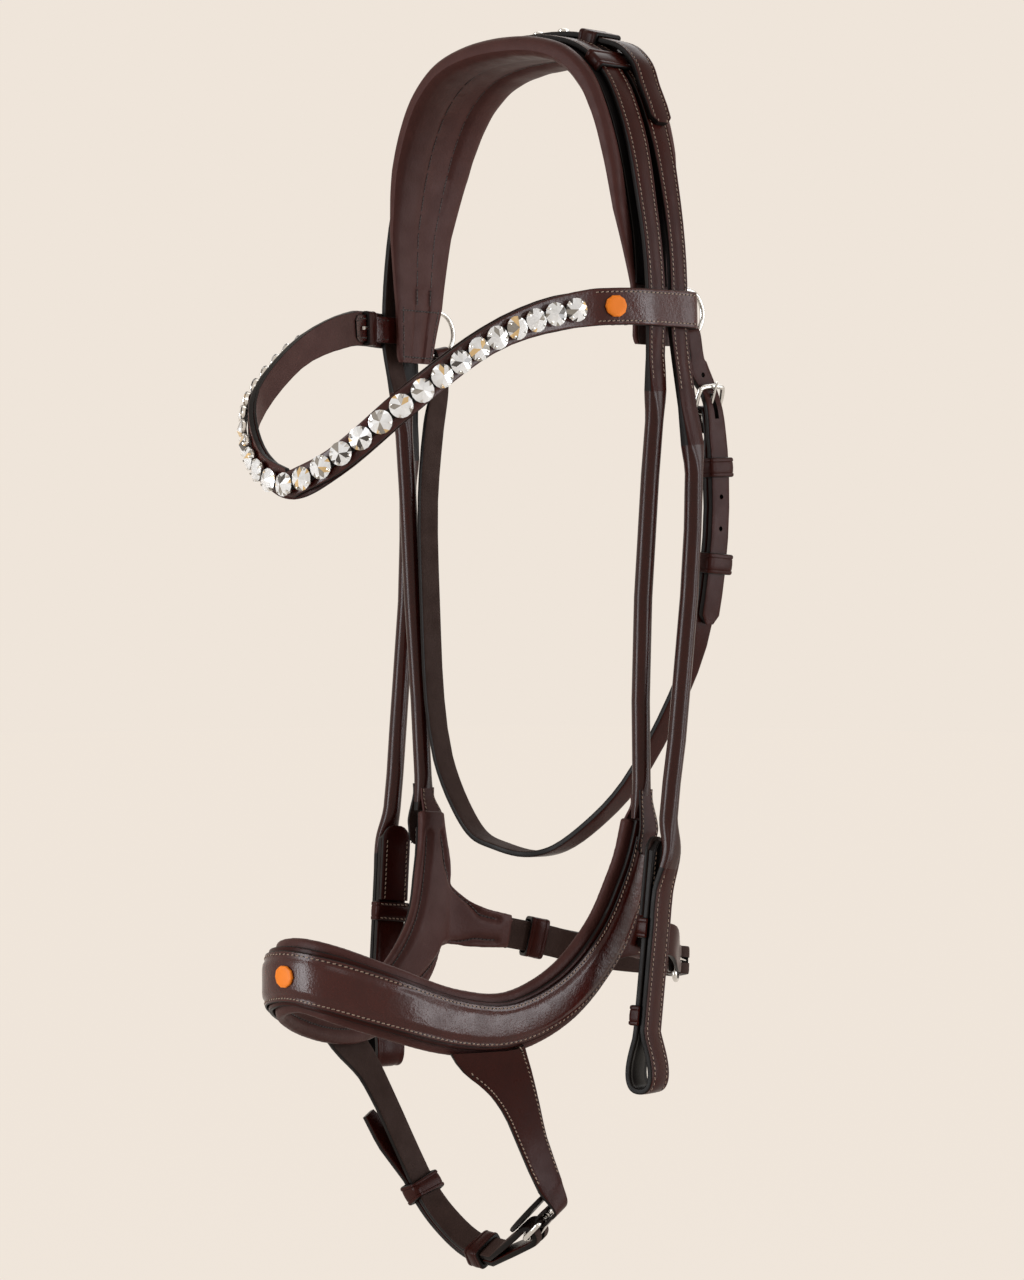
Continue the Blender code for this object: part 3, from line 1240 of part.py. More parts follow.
def yoke_arm(side, thickness, level, grow, roundness):
    keys = arm_keys(level, grow)
    for row in keys:
        row[7:9] = thickness, roundness
    return loft("arm", "soft lining leather", stations(keys), side=side)


def noseband():
    route = noseband_route()
    leather = loft("noseband_leather", "bridle leather", route)
    arms = [yoke_arm(side, NOSEBAND_THICKNESS * 0.8, 0, 0, STRAP_SHARE) for side in (1, -1)]
    boolean(leather, join_meshes("leather_arms", arms), "UNION")
    facing_level = NOSEBAND_THICKNESS / 2 + GAP + FACING_THICKNESS / 2
    facing = [s._replace(width=s.width * 0.86, thickness=FACING_THICKNESS, roundness=SOFT_SHARE) for s in route[1:-1]]
    loft("noseband_facing", "bridle leather", facing, shift=facing_level)
    pad_level = -(NOSEBAND_THICKNESS / 2 + GAP + NOSE_PAD_THICKNESS / 2)
    lining = [
        s._replace(width=s.width + 2 * PAD_OVERHANG, thickness=NOSE_PAD_THICKNESS, roundness=SOFT_SHARE)
        for s in route
    ]
    pad = loft("noseband_pad", "soft lining leather", lining, shift=pad_level)
    arms = [
        yoke_arm(side, NOSE_PAD_THICKNESS * 0.86, pad_level, 2 * PAD_OVERHANG, SOFT_SHARE)
        for side in (1, -1)
    ]
    boolean(pad, join_meshes("pad_arms", arms), "UNION")
    front = point_on(route, 0)
    disc("noseband_disc", front, facing_level + FACING_THICKNESS / 2 + GAP)


def jaw_site():
    return buckle_site(place(JAW_BUCKLE_SHARES), place(JAW_BUCKLE_AIM_SHARES), LEFT + BACK * 0.6)


def jaw():
    """Billet and roller buckle on the left, long strap from the right that doubles back."""
    site = jaw_site()
    out_level = NOSEBAND_THICKNESS / 2 + 3 * GAP + STRAP_THICKNESS / 2
    on_arm = arm_keys(out_level)[1:]
    for row in on_arm:
        row[6:9] = JAW_STRAP_WIDTH, STRAP_THICKNESS, STRAP_SHARE
    fold = fold_keys(site, JAW_STRAP_WIDTH * 0.86, WIRE, SMALL_STRAP_WIDTH * 0.85, UP)
    strap = loft("jaw_billet", "bridle leather", stations(on_arm + fold))
    boolean(strap, prong_slot(site, SMALL_STRAP_WIDTH), "DIFFERENCE")
    on_arm = arm_keys(out_level + DOUBLE_SPACING / 2)[1:]
    for row in on_arm:
        row[6:9] = JAW_STRAP_WIDTH, STRAP_THICKNESS, STRAP_SHARE
        row[:3] = row[:3] * (-1, 1, 1)
        row[3:6] = row[3:6] * (1, -1, -1)
    lead = [key(place(s), -UP, JAW_STRAP_WIDTH) for s in JAW_SHARES]
    middle = stations(on_arm + lead[:-1])
    keeper_at = distance_to(middle, place(JAW_KEEPER_SHARES))
    tail_at = keeper_at - KEEPER_LENGTH
    tip = at_distance(middle, tail_at - JAW_STRAP_WIDTH * 0.5)
    doubled_strap("jaw_strap", "bridle leather", middle, tail_at, site, BUCKLE_LENGTH,
                  tip.centre + tip.out * DOUBLE_SPACING * 0.7, JAW_STRAP_WIDTH)
    buckle_frame("jaw_buckle", site, JAW_STRAP_WIDTH, BUCKLE_LENGTH, 0)
    prong("jaw_prong", site, BUCKLE_LENGTH, WIRE / 2 + GAP + ROLLER_WALL + GAP + PRONG_WIRE / 2)
    roller("jaw_roller", site, JAW_STRAP_WIDTH, BUCKLE_LENGTH)
    part = round_about(middle, place(JAW_KEEPER_SHARES), KEEPER_LENGTH)
    sleeve("jaw_keeper", "bridle leather", part, JAW_STRAP_WIDTH + 2 * SLIDE_PLAY,
           2 * STRAP_THICKNESS + GAP + 2 * SLIDE_PLAY, KEEPER_WALL, origin=at_distance(part, KEEPER_LENGTH / 2).centre)


# Chin strap
def chin_site():
    centre, aim = place(CHIN_BUCKLE_SHARES), place(CHIN_BUCKLE_AIM_SHARES)
    return buckle_site(centre, aim, np.cross(unit(BACK * -0.85 - UP * 0.5), unit(aim - centre)))


def chin():
    """Stitched left branch with a roller buckle, and a plain right branch that doubles back."""
    site = chin_site()
    along_nose = unit(LEFT * 0.233 + BACK)
    branch = [
        key(place(s), along_nose, CHIN_STRAP_WIDTH * share, thickness)
        for s, share, thickness in zip(BRANCH_SHARES, (2.8, 2.1, 1.5, 1.15, 1.0),
                                       (NOSEBAND_THICKNESS, NOSEBAND_THICKNESS) + (STRAP_THICKNESS,) * 3)
    ]
    fold = fold_keys(site, CHIN_STRAP_WIDTH * 0.86, WIRE, SMALL_STRAP_WIDTH * 0.8, BACK)
    branch_part = stations(branch + fold)
    strap = loft("chin_branch", "bridle leather", level_start(branch_part, len(branch), along_nose))
    boolean(strap, prong_slot(site, SMALL_STRAP_WIDTH), "DIFFERENCE")
    lean = (0, 0, 0.1, 0.2, 0.3, 0.5, 0.65, 0.7)
    widths = (1.9, 1.35, 1, 1, 1, 1, 1, 1)
    rows = [
        key(place(s), unit(-BACK + LEFT * 0.1 * (w > 1) - UP * a), CHIN_STRAP_WIDTH * w)
        for s, a, w in zip(CHIN_SHARES, lean, widths)
    ]
    middle = stations(rows)
    slide = round_about(middle, place(CHIN_SLIDE_SHARES), KEEPER_LENGTH)
    fixed = round_about(middle, place(CHIN_FIXED_SHARES), KEEPER_LENGTH)
    tail_at = distance_to(middle, place(CHIN_SLIDE_SHARES)) - KEEPER_LENGTH * 0.7
    doubled_strap("chin_strap", "bridle leather", middle, tail_at, site, BUCKLE_LENGTH,
                  place(CHIN_TIP_SHARES), CHIN_STRAP_WIDTH, 4, along_nose * (1, -1, 1))
    buckle_frame("chin_buckle", site, CHIN_STRAP_WIDTH, BUCKLE_LENGTH, 0)
    prong("chin_prong", site, BUCKLE_LENGTH, WIRE / 2 + GAP + ROLLER_WALL + GAP + PRONG_WIRE / 2)
    roller("chin_roller", site, CHIN_STRAP_WIDTH, BUCKLE_LENGTH)
    inner_thickness = 2 * STRAP_THICKNESS + GAP + 2 * KEEPER_PLAY
    sleeve("chin_keeper_slide", "bridle leather", slide, CHIN_STRAP_WIDTH + 2 * SLIDE_PLAY,
           2 * STRAP_THICKNESS + GAP + 2 * SLIDE_PLAY, KEEPER_WALL,
           origin=at_distance(slide, KEEPER_LENGTH / 2).centre)
    sleeve("chin_keeper_fixed", "bridle leather", fixed, CHIN_STRAP_WIDTH + 2 * KEEPER_PLAY, inner_thickness,
           KEEPER_WALL)
    guard_level = WIRE / 2 + FOLD_THICKNESS + STRAP_THICKNESS + GAP + GUARD_THICKNESS / 2
    frame = Station(on_site(site, BUCKLE_LENGTH * 0.35), site.side_way, site.toward, -site.out, 0, 0, 0)
    oval_guard(frame, guard_level)


def oval_guard(frame, level):
    mesh = bmesh.new()
    steps = 16
    rings = []
    for height_share, size_share in ((-0.5, 0.92), (0, 1), (0.5, 0.92)):
        ring = []
        for i in range(steps):
            angle = math.tau * i / steps
            lengthways = frame.across * math.cos(angle) * GUARD_LENGTH / 2 * size_share
            sideways = frame.along * math.sin(angle) * GUARD_WIDTH / 2 * size_share
            ring.append(frame.centre + frame.out * (level + height_share * GUARD_THICKNESS) + lengthways + sideways)
        rings.append(ring)
    rows = skin(mesh, rings, False)
    mesh.faces.new(rows[0])
    mesh.faces.new(rows[-1])
    finish("chin_guard", "bridle leather", mesh)


def main():
    for old in list(bpy.data.objects):
        bpy.data.objects.remove(old)
    poll_pad()
    crown_base()
    noseband_headstrap()
    crown_straps()
    poll_studs()
    crown_keepers()
    throat_rings()
    ring_tabs()
    browband()
    crystal_row()
    browband_trim()
    throatlash()
    point_strap()
    throat_buckle()
    cheek_fittings()
    noseband()
    jaw()
    chin()


main()
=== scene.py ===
"""Pony bridle in leather, steel and cut stones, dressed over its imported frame.

Every strap follows the route of its own solid, with finer sections, painted edges and real stitches.
+X is the pony's left, -Y its nose, +Z up, and the origin is the poll seat. All sizes are in metres.
"""
import json
import math
from collections import namedtuple

import bmesh
import bpy
import numpy as np
from bpy.props import FloatProperty, FloatVectorProperty, PointerProperty
from bpy.types import Operator, Panel, PropertyGroup
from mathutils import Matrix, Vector
from mathutils.bvhtree import BVHTree
from mathutils.kdtree import KDTree


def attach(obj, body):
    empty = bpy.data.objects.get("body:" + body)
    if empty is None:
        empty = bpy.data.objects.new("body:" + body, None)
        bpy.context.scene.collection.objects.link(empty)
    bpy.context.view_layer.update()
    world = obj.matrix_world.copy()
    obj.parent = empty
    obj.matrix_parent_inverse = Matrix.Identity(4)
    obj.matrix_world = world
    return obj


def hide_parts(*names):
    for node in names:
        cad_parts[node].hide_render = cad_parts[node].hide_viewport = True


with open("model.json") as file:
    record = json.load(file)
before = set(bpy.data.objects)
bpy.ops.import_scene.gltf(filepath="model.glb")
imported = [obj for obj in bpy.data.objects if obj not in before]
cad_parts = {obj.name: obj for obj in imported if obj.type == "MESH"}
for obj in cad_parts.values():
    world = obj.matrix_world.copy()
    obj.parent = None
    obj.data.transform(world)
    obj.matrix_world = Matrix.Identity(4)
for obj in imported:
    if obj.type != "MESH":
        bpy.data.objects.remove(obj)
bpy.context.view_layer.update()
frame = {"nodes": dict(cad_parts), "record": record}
BODIES = frame["record"]["behaviour"]["bodies"]

bl_info = {
    "name": "Pony Bridle",
    "version": (1, 0, 0),
    "blender": (4, 5, 0),
    "location": "3D View > Sidebar > Bridle",
    "description": "Builds a pony bridle with stitched leather, steel buckles and a browband of cut stones",
    "category": "Add Mesh",
}

# Head that the bridle fits
HEAD_HALF_WIDTH = 0.066
CROWN_DROP = 0.116
BROWBAND_DROP = 0.103
CHEEK_DROP = 0.405
NOSE_REACH = 0.133

# Leather
STRAP_THICKNESS = 0.0026
FOLD_THICKNESS = 0.0013
CHEEK_WIDTH = 0.013
CROWN_STRAP_WIDTH = 0.0115
CROWN_STRAP_LOW_WIDTH = 0.009
SMALL_STRAP_WIDTH = 0.010
ROLLED_DIAMETER = 0.0072
BASE_THICKNESS = 0.0016
BASE_WIDTH = 0.0302
BASE_LOW_WIDTH = 0.0165
KEEPER_WALL = 0.0012
KEEPER_LENGTH = 0.0078
KEEPER_PLAY = 0.0004
SLIDE_PLAY = 0.0009
GAP = 0.0003

# Poll pad
PAD_WIDTH = 0.050
PAD_THICKNESS = 0.005
CHANNEL_RECESS = 0.0022
FLAP_THICKNESS = 0.0016

# Throat rings and the tabs that carry them
RING_WIRE = 0.002
RING_RADIUS = 0.0091
RING_BEHIND = 0.0124
RING_SITE_TURN = -78
TAB_THICKNESS = 0.0007
TAB_WIDTH = 0.006
TAB_LENGTH = 0.012

# Browband
BROWBAND_THICKNESS = 0.0026
BROWBAND_INNER_THICKNESS = 0.0012
BROWBAND_WIDTH = 0.0142
BROWBAND_FRONT_WIDTH = 0.0103
BROWBAND_TAB_LENGTH = 0.0165
CRYSTAL_COUNT = 31
CRYSTAL_PITCH = 0.00925
CRYSTAL_RADIUS = 0.00445
CUP_HEIGHT = 0.0019
CROWN_HEIGHT = 0.0017
CUP_STRIP_THICKNESS = 0.0008
DISC_RADIUS = 0.0043
DISC_THICKNESS = 0.0012
BAR_HOOK_LENGTH = 0.005
BAR_HOOK_WIDTH = 0.0014

# Buckles
WIRE = 0.002
PRONG_TURNS = (-25, -60, -100, -140, -180, -220, -255)
PRONG_TAPER = 0.3
PRONG_WIRE = 0.0015
ROLLER_WALL = 0.0005
BUCKLE_LENGTH = 0.0105
THROAT_BUCKLE_LENGTH = 0.0095
BUCKLE_SIDE = 0.0006
SLOT_SIDE = 0.0004
HOLE_RADIUS = 0.001
HOLE_PITCH = 0.0125
STUD_RADIUS = 0.0024
STUD_SHANK_RADIUS = 0.0011
STUD_HEIGHT = 0.0014
STUD_PITCH = 0.013

# Noseband and chin strap
NOSEBAND_WIDTH = 0.0225
NOSEBAND_THICKNESS = 0.002
FACING_THICKNESS = 0.0022
PAD_OVERHANG = 0.003
NOSE_PAD_THICKNESS = 0.0052
ARM_ROOT_DISTANCE = 0.040
JAW_STRAP_WIDTH = 0.0125
CHIN_STRAP_WIDTH = 0.011
BIT_LOOP_RADIUS = 0.005
BIT_LOOP_LENGTH = 0.0228
GUARD_LENGTH = 0.024
GUARD_WIDTH = 0.0185
GUARD_THICKNESS = 0.0018

# Roundness of a section: 1 is round, towards 0 is square
ROUND_SHARE = 1.0
STRAP_SHARE = 0.3
SOFT_SHARE = 0.55

# Turn of a loft between two of its rings, and the turn of the layers that lie on the cheek
BEND_STEP = math.radians(5)
FINE_BEND_STEP = math.radians(3.5)
FLAP_TURN = math.radians(5)
TRIAL_STEPS = 8

# Poll to flap in shares of the half width and the crown drop
ARCH_SHARES = (
    (0, 0), (0.29, 0.012), (0.50, 0.05), (0.655, 0.125), (0.76, 0.225),
    (0.845, 0.35), (0.91, 0.5), (0.955, 0.63), (0.985, 0.76), (0.998, 0.88), (1, 1),
)
ARCH_STEP_SHARE = 0.05
CROWN_END_SHARE = 0.95
BASE_END_ABOVE_BAND = 0.003

# Routes in shares of the half width, the nose reach and the cheek drop
# The browband's own depth, from which the others are counted, is a share of the cheek drop too
BAND_DEPTH_SHARE = 0.25432
CHEEK_SHARES = (
    (1.156, 0.015, 0.301), (1.185, 0.027, 0.346), (1.209, 0.036, 0.383), (1.217, 0.038, 0.41),
    (1.202, 0.025, 0.528), (1.188, -0.020, 0.664), (1.176, -0.049, 0.738),
)
CHEEK_END_SHARES = ((1.155, -0.061, 0.770), (1.121, -0.110, 0.9395))
CHEEK_HOOK_SHARES = (1.150, -0.068, 0.787)
CHEEK_UPPER_KEEPER_SHARES = (1.142, -0.082, 0.843)
CHEEK_LOWER_KEEPER_SHARES = (1.124, -0.105, 0.926)
HANGER_SHARES = (
    (1.103, -0.066, 0.299), (1.079, -0.053, 0.331), (1.064, -0.05, 0.36), (1.033, -0.051, 0.412),
    (0.979, -0.052, 0.528), (0.942, -0.043, 0.627), (0.93, -0.033, 0.704),
)
NOSE_SHARES = (
    (0.0, -0.988, 0.882), (0.242, -0.957, 0.888), (0.455, -0.82, 0.906), (0.576, -0.602, 0.928),
    (0.659, -0.429, 0.931), (0.742, -0.248, 0.906), (0.803, -0.105, 0.857), (0.871, -0.045, 0.8),
    (0.924, -0.03, 0.742),
)
ARM_SHARES = ((0.773, 0.09, 0.857), (0.735, 0.175, 0.862))
JAW_SHARES = (
    (-0.667, 0.323, 0.872), (-0.561, 0.421, 0.881), (-0.318, 0.489, 0.889), (0.0, 0.511, 0.891),
    (0.242, 0.485, 0.891), (0.41, 0.425, 0.889),
)
JAW_KEEPER_SHARES = (-0.667, 0.323, 0.872)
JAW_BUCKLE_SHARES = (0.583, 0.312, 0.883)
JAW_BUCKLE_AIM_SHARES = (0.41, 0.425, 0.889)
CHIN_SHARES = (
    (-0.650, -0.515, 0.9562), (-0.632, -0.435, 0.980), (-0.578, -0.366, 1.022), (-0.545, -0.285, 1.075),
    (-0.475, -0.242, 1.112),
    (-0.333, -0.226, 1.138), (-0.121, -0.214, 1.160), (0.121, -0.218, 1.164), (0.33, -0.226, 1.155),
)
CHIN_TIP_SHARES = (-0.70, -0.37, 1.035)
CHIN_SLIDE_SHARES = (-0.485, -0.246, 1.108)
CHIN_FIXED_SHARES = (-0.02, -0.215, 1.163)
BRANCH_SHARES = (
    (0.624, -0.525, 0.9562), (0.620, -0.455, 0.972), (0.606, -0.380, 1.005), (0.600, -0.318, 1.048),
    (0.628, -0.262, 1.090),
)
CHIN_BUCKLE_SHARES = (0.560, -0.233, 1.1235)
CHIN_BUCKLE_AIM_SHARES = (0.33, -0.226, 1.155)
THROAT_BUCKLE_SHARES = (1.09, 0.169, 0.348)
THROAT_SHARES = (
    (1.106, 0.177, 0.385), (1.106, 0.184, 0.44), (1.091, 0.175, 0.50), (1.0, 0.169, 0.573),
    (0.788, 0.15, 0.647), (0.576, 0.105, 0.709), (0.379, 0.075, 0.743), (0.121, 0.038, 0.773),
    (-0.121, 0.03, 0.78), (-0.333, 0.008, 0.773), (-0.5, 0.0, 0.763), (-0.652, -0.008, 0.733),
    (-0.758, -0.03, 0.686), (-0.818, -0.038, 0.627), (-0.848, -0.038, 0.563), (-0.886, -0.03, 0.494),
    (-0.924, -0.015, 0.425), (-0.985, 0.038, 0.351),
)
THROAT_KEEPER_SHARES = ((1.106, 0.178, 0.402), (1.093, 0.176, 0.494))
POINT_TIP_SHARES = (1.13, 0.155, 0.555)
BROW_SHARES = (
    (0.0, -0.992, 0.425), (0.312, -0.967, 0.405), (0.652, -0.85, 0.351), (0.833, -0.609, 0.291),
    (0.917, -0.436, 0.267), (1.015, -0.286, 0.256), (1.066, -0.240, 0.2545), (1.118, -0.178, 0.2535),
)

# Across the arch, in shares of the pad's width: share of the arch, place of the middle
PAD_FRONT_SHARES = ((0, -0.50), (0.5, -0.46), (0.66, -0.42), (0.85, -0.30), (0.93, -0.28))
PAD_REAR_SHARES = ((0, 0.50), (0.5, 0.36), (0.66, 0.27), (0.85, 0.24), (0.93, 0.18), (1, 0.13))
BASE_MIDDLE_SHARES = ((0, -0.03), (0.3, -0.035), (0.66, -0.09), (0.93, -0.125))
FRONT_STRAP_SHARES = ((0, -0.166), (0.3, -0.17), (0.66, -0.205), (0.93, -0.192))
REAR_STRAP_SHARES = ((0, 0.106), (0.3, 0.106), (0.66, 0.064), (0.93, 0.036))

# Places of what sits on the arch, in shares of its half length
TAIL_KEEPER_SHARE = 0.172
CROWN_KEEPER_SHARE = 0.278
FAR_CROWN_KEEPER_SHARE = 0.315
TAIL_TIP_SHARE = 0.45
UNDER_TIP_SHARE = 0.15
STUD_MIDDLE_SHARE = 0.016

# Fineness of the surfaces
SECTION_POINTS = 24
FINE_POINTS = 48
PRONG_POINTS = 16
ROLLER_POINTS = 32
ROUND_SIDES = 32
SMALL_ROUND_SIDES = 24
GUARD_SIDES = 64
RING_STEPS = 20
TIP_STEPS = 6
SHARP = math.radians(38)

# Parts of a piece in the order of its finishes; a side is painted where its section turns less than this
SURFACE_PART, EDGE_PART, FLESH_PART, ROLLED_PART = range(4)
FIRST_FACET_PART = 3
EDGE_ANGLE_SINE = 0.46
ROLLED_FROM_SHARE = SOFT_SHARE * 0.8
SIDES = (("left", 1), ("right", -1))

# Stitches: sides of the thread, half its height in shares of its width, its slant, and the dark dot after it, which
# is painted shade of the awl hole
THREAD_SIDES = 5
THREAD_RISE = 0.45
STITCH_SLANT = 0.22
HOLE_SHADE_RADIUS = 0.00032
HOLE_SHADE_RISE = 0.00005
# Rings of one stitch: place in shares of the pitch, fullness, and height in shares of the thread's width
THREAD_RINGS = ((-0.36, 0.3, -0.3), (-0.24, 0.95, 0.08), (0.24, 0.95, 0.08), (0.36, 0.3, -0.3))

# Seams pressed into a stitched strap: place and spread in shares of the half width, and depth
SEAM_SHARE = 0.67
SEAM_SPREAD = 0.13
SEAM_DEPTH = 0.00028
# Rows of stitches in shares of the half width
STRAP_ROWS = (-SEAM_SHARE, SEAM_SHARE)
TAB_ROWS = (-0.72, 0.72)
HANGER_TAB_ROWS = (-0.76, 0.76)
BAND_ROWS = (-0.78, 0.78)
EDGE_ROWS = (-0.84, 0.84)
FACING_ROWS = (-0.86, 0.86)

# Keepers: place along one and fullness of its wall there, and the places of its stitches
RIM = (
    (0, 0.62), (0.035, 0.95), (0.09, 1.08), (0.18, 1.08), (0.22, 0.86), (0.26, 0.98), (0.5, 1.04),
    (0.74, 0.98), (0.78, 0.86), (0.82, 1.08), (0.91, 1.08), (0.965, 0.95), (1, 0.62),
)
RIM_FULLNESS = 1.08
KEEPER_SEAM_SHARES = (0.135, 0.865)

# Layers go over to their values beside the browband: where they start on the half arch, and for how long
SIDE_START_SHARE = 0.35
SIDE_BLEND_SHARE = 0.45

# Poll pad: steps and flaps in shares of the half arch, the rest in shares of its width, thickness or channel
PAD_STEP_SHARE = 0.01
FLAP_START_SHARE = 0.86
FLAP_END_SHARE = 0.985
FLAP_NARROWING = 0.12
FLAP_FLATNESS = 0.2
PUCKER_LENGTH = 0.011
PUCKER_SHARE = 0.02
FRONT_CREASE_SHARE = 0.40
REAR_CREASE_SHARE = 0.30
CHANNEL_FLOOR_SHARE = 0.75
UNDER_EDGE_SHARE = 0.12
LEAST_ROLL_SHARE = 0.1
ROLL_SWELL_SHARE = 0.42
ROLL_SWELL_LIMIT = 0.8
FRONT_EDGE_HEIGHT = 0.6
CREASE_SEAM_SHARES = (0.41, 0.31)
CREASE_SEAM_DEPTH = 0.98
FLAP_SEAM_SHARES = (0.1, 0.1)
FLAP_END_SEAM_SHARES = (0.85, 0.8)
# Top of the pad behind its front roll, in shares of the width there from the rear and of the thickness
PAD_TOP = (
    (0.0, 0.5), (0.006, 0.72), (0.03, 0.92), (0.07, 1.0), (0.1, 0.99), (0.2, 1.0), (0.5, 1.0), (0.8, 1.0),
    (0.98, 0.99),
)

# Cheek ends: levels between which they are stitched, the bit loop's walls, and the cover of the hook stud
CHEEK_STITCH_TOP = -0.76 * CHEEK_DROP
CHEEK_LOOP_TOP = -0.93 * CHEEK_DROP
CHEEK_TURN = math.radians(12)
BIT_LOOP_WALLS = (
    (0.40, 0.13), (0.68, 0.33), (0.92, 0.54), (1.0, 0.72), (0.92, 0.86), (0.68, 0.955), (0.32, 1.0),
)
COVER_THICKNESS = 0.0019
# Round tip of a strap: place beyond its shoulder and width there, in shares of the strap's width
COVER_TIP = ((0.1, 0.97), (0.2, 0.88), (0.3, 0.74), (0.38, 0.55), (0.43, 0.3))

# Browband: turn of its route between the stones, its lining, and the width of its inner layer
BAND_BEND_STEP = math.radians(4)
LINING_EDGE = 0.0004
LINING_STEPS = 160
LINING_LEVEL_SHARE = 0.62
INNER_BAND_SHARE = 0.76
STONES_END_KEY = 4
SIDEWAYS_LEAST = 0.3

# Stones: tints of the facets, which are painted reflections from white highlights to dark, and the order in which
# they come round a stone
FACET_REFLECTION_TINTS = ("#ffffff", "#f4f2ee", "#8f887e", "#2f2721", "#dfb97c")
FACET_ORDER = (0, 1, 0, 2, 0, 4, 1, 0, 3, 0, 1, 2, 0, 0, 4, 1, 0, 2, 1, 3, 0, 1, 0)
# Cut of a stone and its claws: radii in shares of the stone's, heights in shares of the cup's
STONE_RAYS = 8
STONE_TURN = 0.7
KNEE_SHARE = 0.66
GIRDLE_SHARE = 1.03
GIRDLE_RISE = 0.95
STONE_FOOT = (0.84, 0.55)
CUP_PROFILE = ((0.74, 0), (0.84, 0.1), (0.92, 0.6), (0.93, 0.85), (0.86, 0.9))
CLAW_COUNT = 4
CLAW_DEPTH = 0.07
CLAW_RINGS = ((0.93, 0.3, 0.10), (1.01, 0.9, 0.10), (0.97, 1.25, 0.085), (0.84, 1.5, 0.06))

# Discs: corners, steps between them, and rings in shares of radius and thickness
DISC_CORNERS = 10
DISC_STEPS = 3
DISC_PROFILE = ((0.97, 0), (1, 0.2), (1, 0.6), (0.97, 0.85), (0.9, 1), (0.6, 1.02), (0.3, 1.03), (0.05, 1.03))

# Noseband along its route from the nose: widths in shares, and how far it leans back
NOSE_WIDTH_SHARES = (1.0, 1.0, 0.95, 0.86, 0.80, 0.80, 0.76, 0.62, 0.50)
NOSE_LEANS = (0, 0, 0, 0, 0.1, 0.45, 1.4, 4, 9)
# Facing: its width in shares of the noseband's, its sewn-down border and its raised middle
FACING_WIDTH_SHARE = 0.86
BORDER_START = 0.56
BORDER_BLEND = 0.2
BORDER_DROP = 0.85
CREST_SHARE = 0.6
CREST_RISE = 0.12
# Shape of a yoke: its drawn-in top and the flare of its arm
YOKE_TOP_SHARE = 0.6
YOKE_TAPER = 0.03
ARM_STEPS = 30
ARM_WIDTH_SHARES = (1.2, 0.98, 0.74, 0.62)
ARM_ROOT_SHARE = 0.2
ARM_FLARE = 0.019
ARM_FLARE_LENGTH = 0.0105
ARM_END_TAPER = 0.007
PAD_ARM_REACH = 0.006
# Softening of the padded joins, and the seams of the pad
SOFT_VOXEL = 0.0008
SOFT_REPEATS = 6
YOKE_SEAM_SHARE = 0.6
SEAM_POINTS = 60
SEAM_SOFTENINGS = 60
PAD_SEAM_DEPTH = 0.0019
PAD_SEAM_REACH = 0.0016
# Tabs where a hanger meets the noseband: heights on hanger and band, distances of rows from both their ends
HANGER_TAB_THICKNESS = 0.0013
HANGER_TAB_TOP_SHARE = 0.7
TIP_WIDTH_SHARE = 0.45
HangerTab = namedtuple("HangerTab", "way above below finish on_hanger on_band")
HANGER_TABS = {
    "outside": HangerTab(
        1, STRAP_THICKNESS / 2, NOSEBAND_THICKNESS / 2 + GAP + FACING_THICKNESS, "bridle leather",
        (0.011, 0.007), (0.002, 0.006, 0.010, 0.0125),
    ),
    "inside": HangerTab(
        -1, STRAP_THICKNESS / 2, NOSEBAND_THICKNESS / 2 + GAP + NOSE_PAD_THICKNESS / 2, "soft lining leather",
        (0.009, 0.005), (0.001, 0.003, 0.005, 0.006),
    ),
}
# Chin branch: width in shares and thickness; chin strap: width in shares and lean
BRANCH_SECTIONS = (
    (2.8, NOSEBAND_THICKNESS), (2.1, NOSEBAND_THICKNESS), (1.5, STRAP_THICKNESS), (1.15, STRAP_THICKNESS),
    (1.0, STRAP_THICKNESS),
)
CHIN_SECTIONS = ((1.9, 0), (1.35, 0), (1, 0.1), (1, 0.2), (1, 0.3), (1, 0.5), (1, 0.65), (1, 0.7))
# Chin guard: heights in shares of its thickness, and its size there
GUARD_PROFILE = ((-0.5, 0.92), (-0.44, 0.97), (-0.25, 1), (0.25, 1), (0.44, 0.97), (0.5, 0.92))

# Slow patterns in the leather, and the gloss of its coat
DYE_PATCH = 0.008
WAVE_LENGTH = 0.005
COAT_ROUGHNESS = 0.2

# Stage: share of the floor's own light, its reach, and the light of the world on the bridle
FLOOR_OWN_LIGHT = 0.93
FLOOR_REACH = 30.0
WORLD_LIGHT = 0.18
# Soft boxes: place, width, height and power; each looks at the middle of the bridle
SOFT_BOXES = (
    ((-0.78, -2.06, -0.1), 0.6, 2.0, 40.0),
    ((2.12, 0.57, -0.1), 0.45, 2.0, 25.0),
    ((1.55, 1.55, -0.1), 0.6, 2.0, 16.0),
    ((1.3, -1.4, 1.5), 1.2, 1.2, 8.0),
    ((-0.6, 1.3, 1.2), 1.2, 1.2, 7.0),
)
SOFT_BOX_TINT = (0.93, 0.965, 1.0)
MIDDLE = (0.0, -0.03, -0.24)
CAMERA_DISTANCE = 1.6
CAMERA_ASIDE = -0.010
CAMERA_LENS = 112.5
CAMERA_SENSOR = 36.0
HORIZON_BELOW_MIDDLE = 25 / 1280

Station = namedtuple("Station", "centre along across out width thickness roundness")
UP = np.array((0.0, 0.0, 1.0))
BACK = np.array((0.0, 1.0, 0.0))
LEFT = np.array((1.0, 0.0, 0.0))


def unit(vector):
    vector = np.asarray(vector, float)
    return vector / np.linalg.norm(vector)


def square_to(vector, along):
    """Direction of the part of a vector that is square to another."""
    return unit(vector - along * np.dot(vector, along))


def soft_step(share):
    """Smooth rise from 0 to 1."""
    share = min(1.0, max(0.0, share))
    return share * share * (3 - 2 * share)


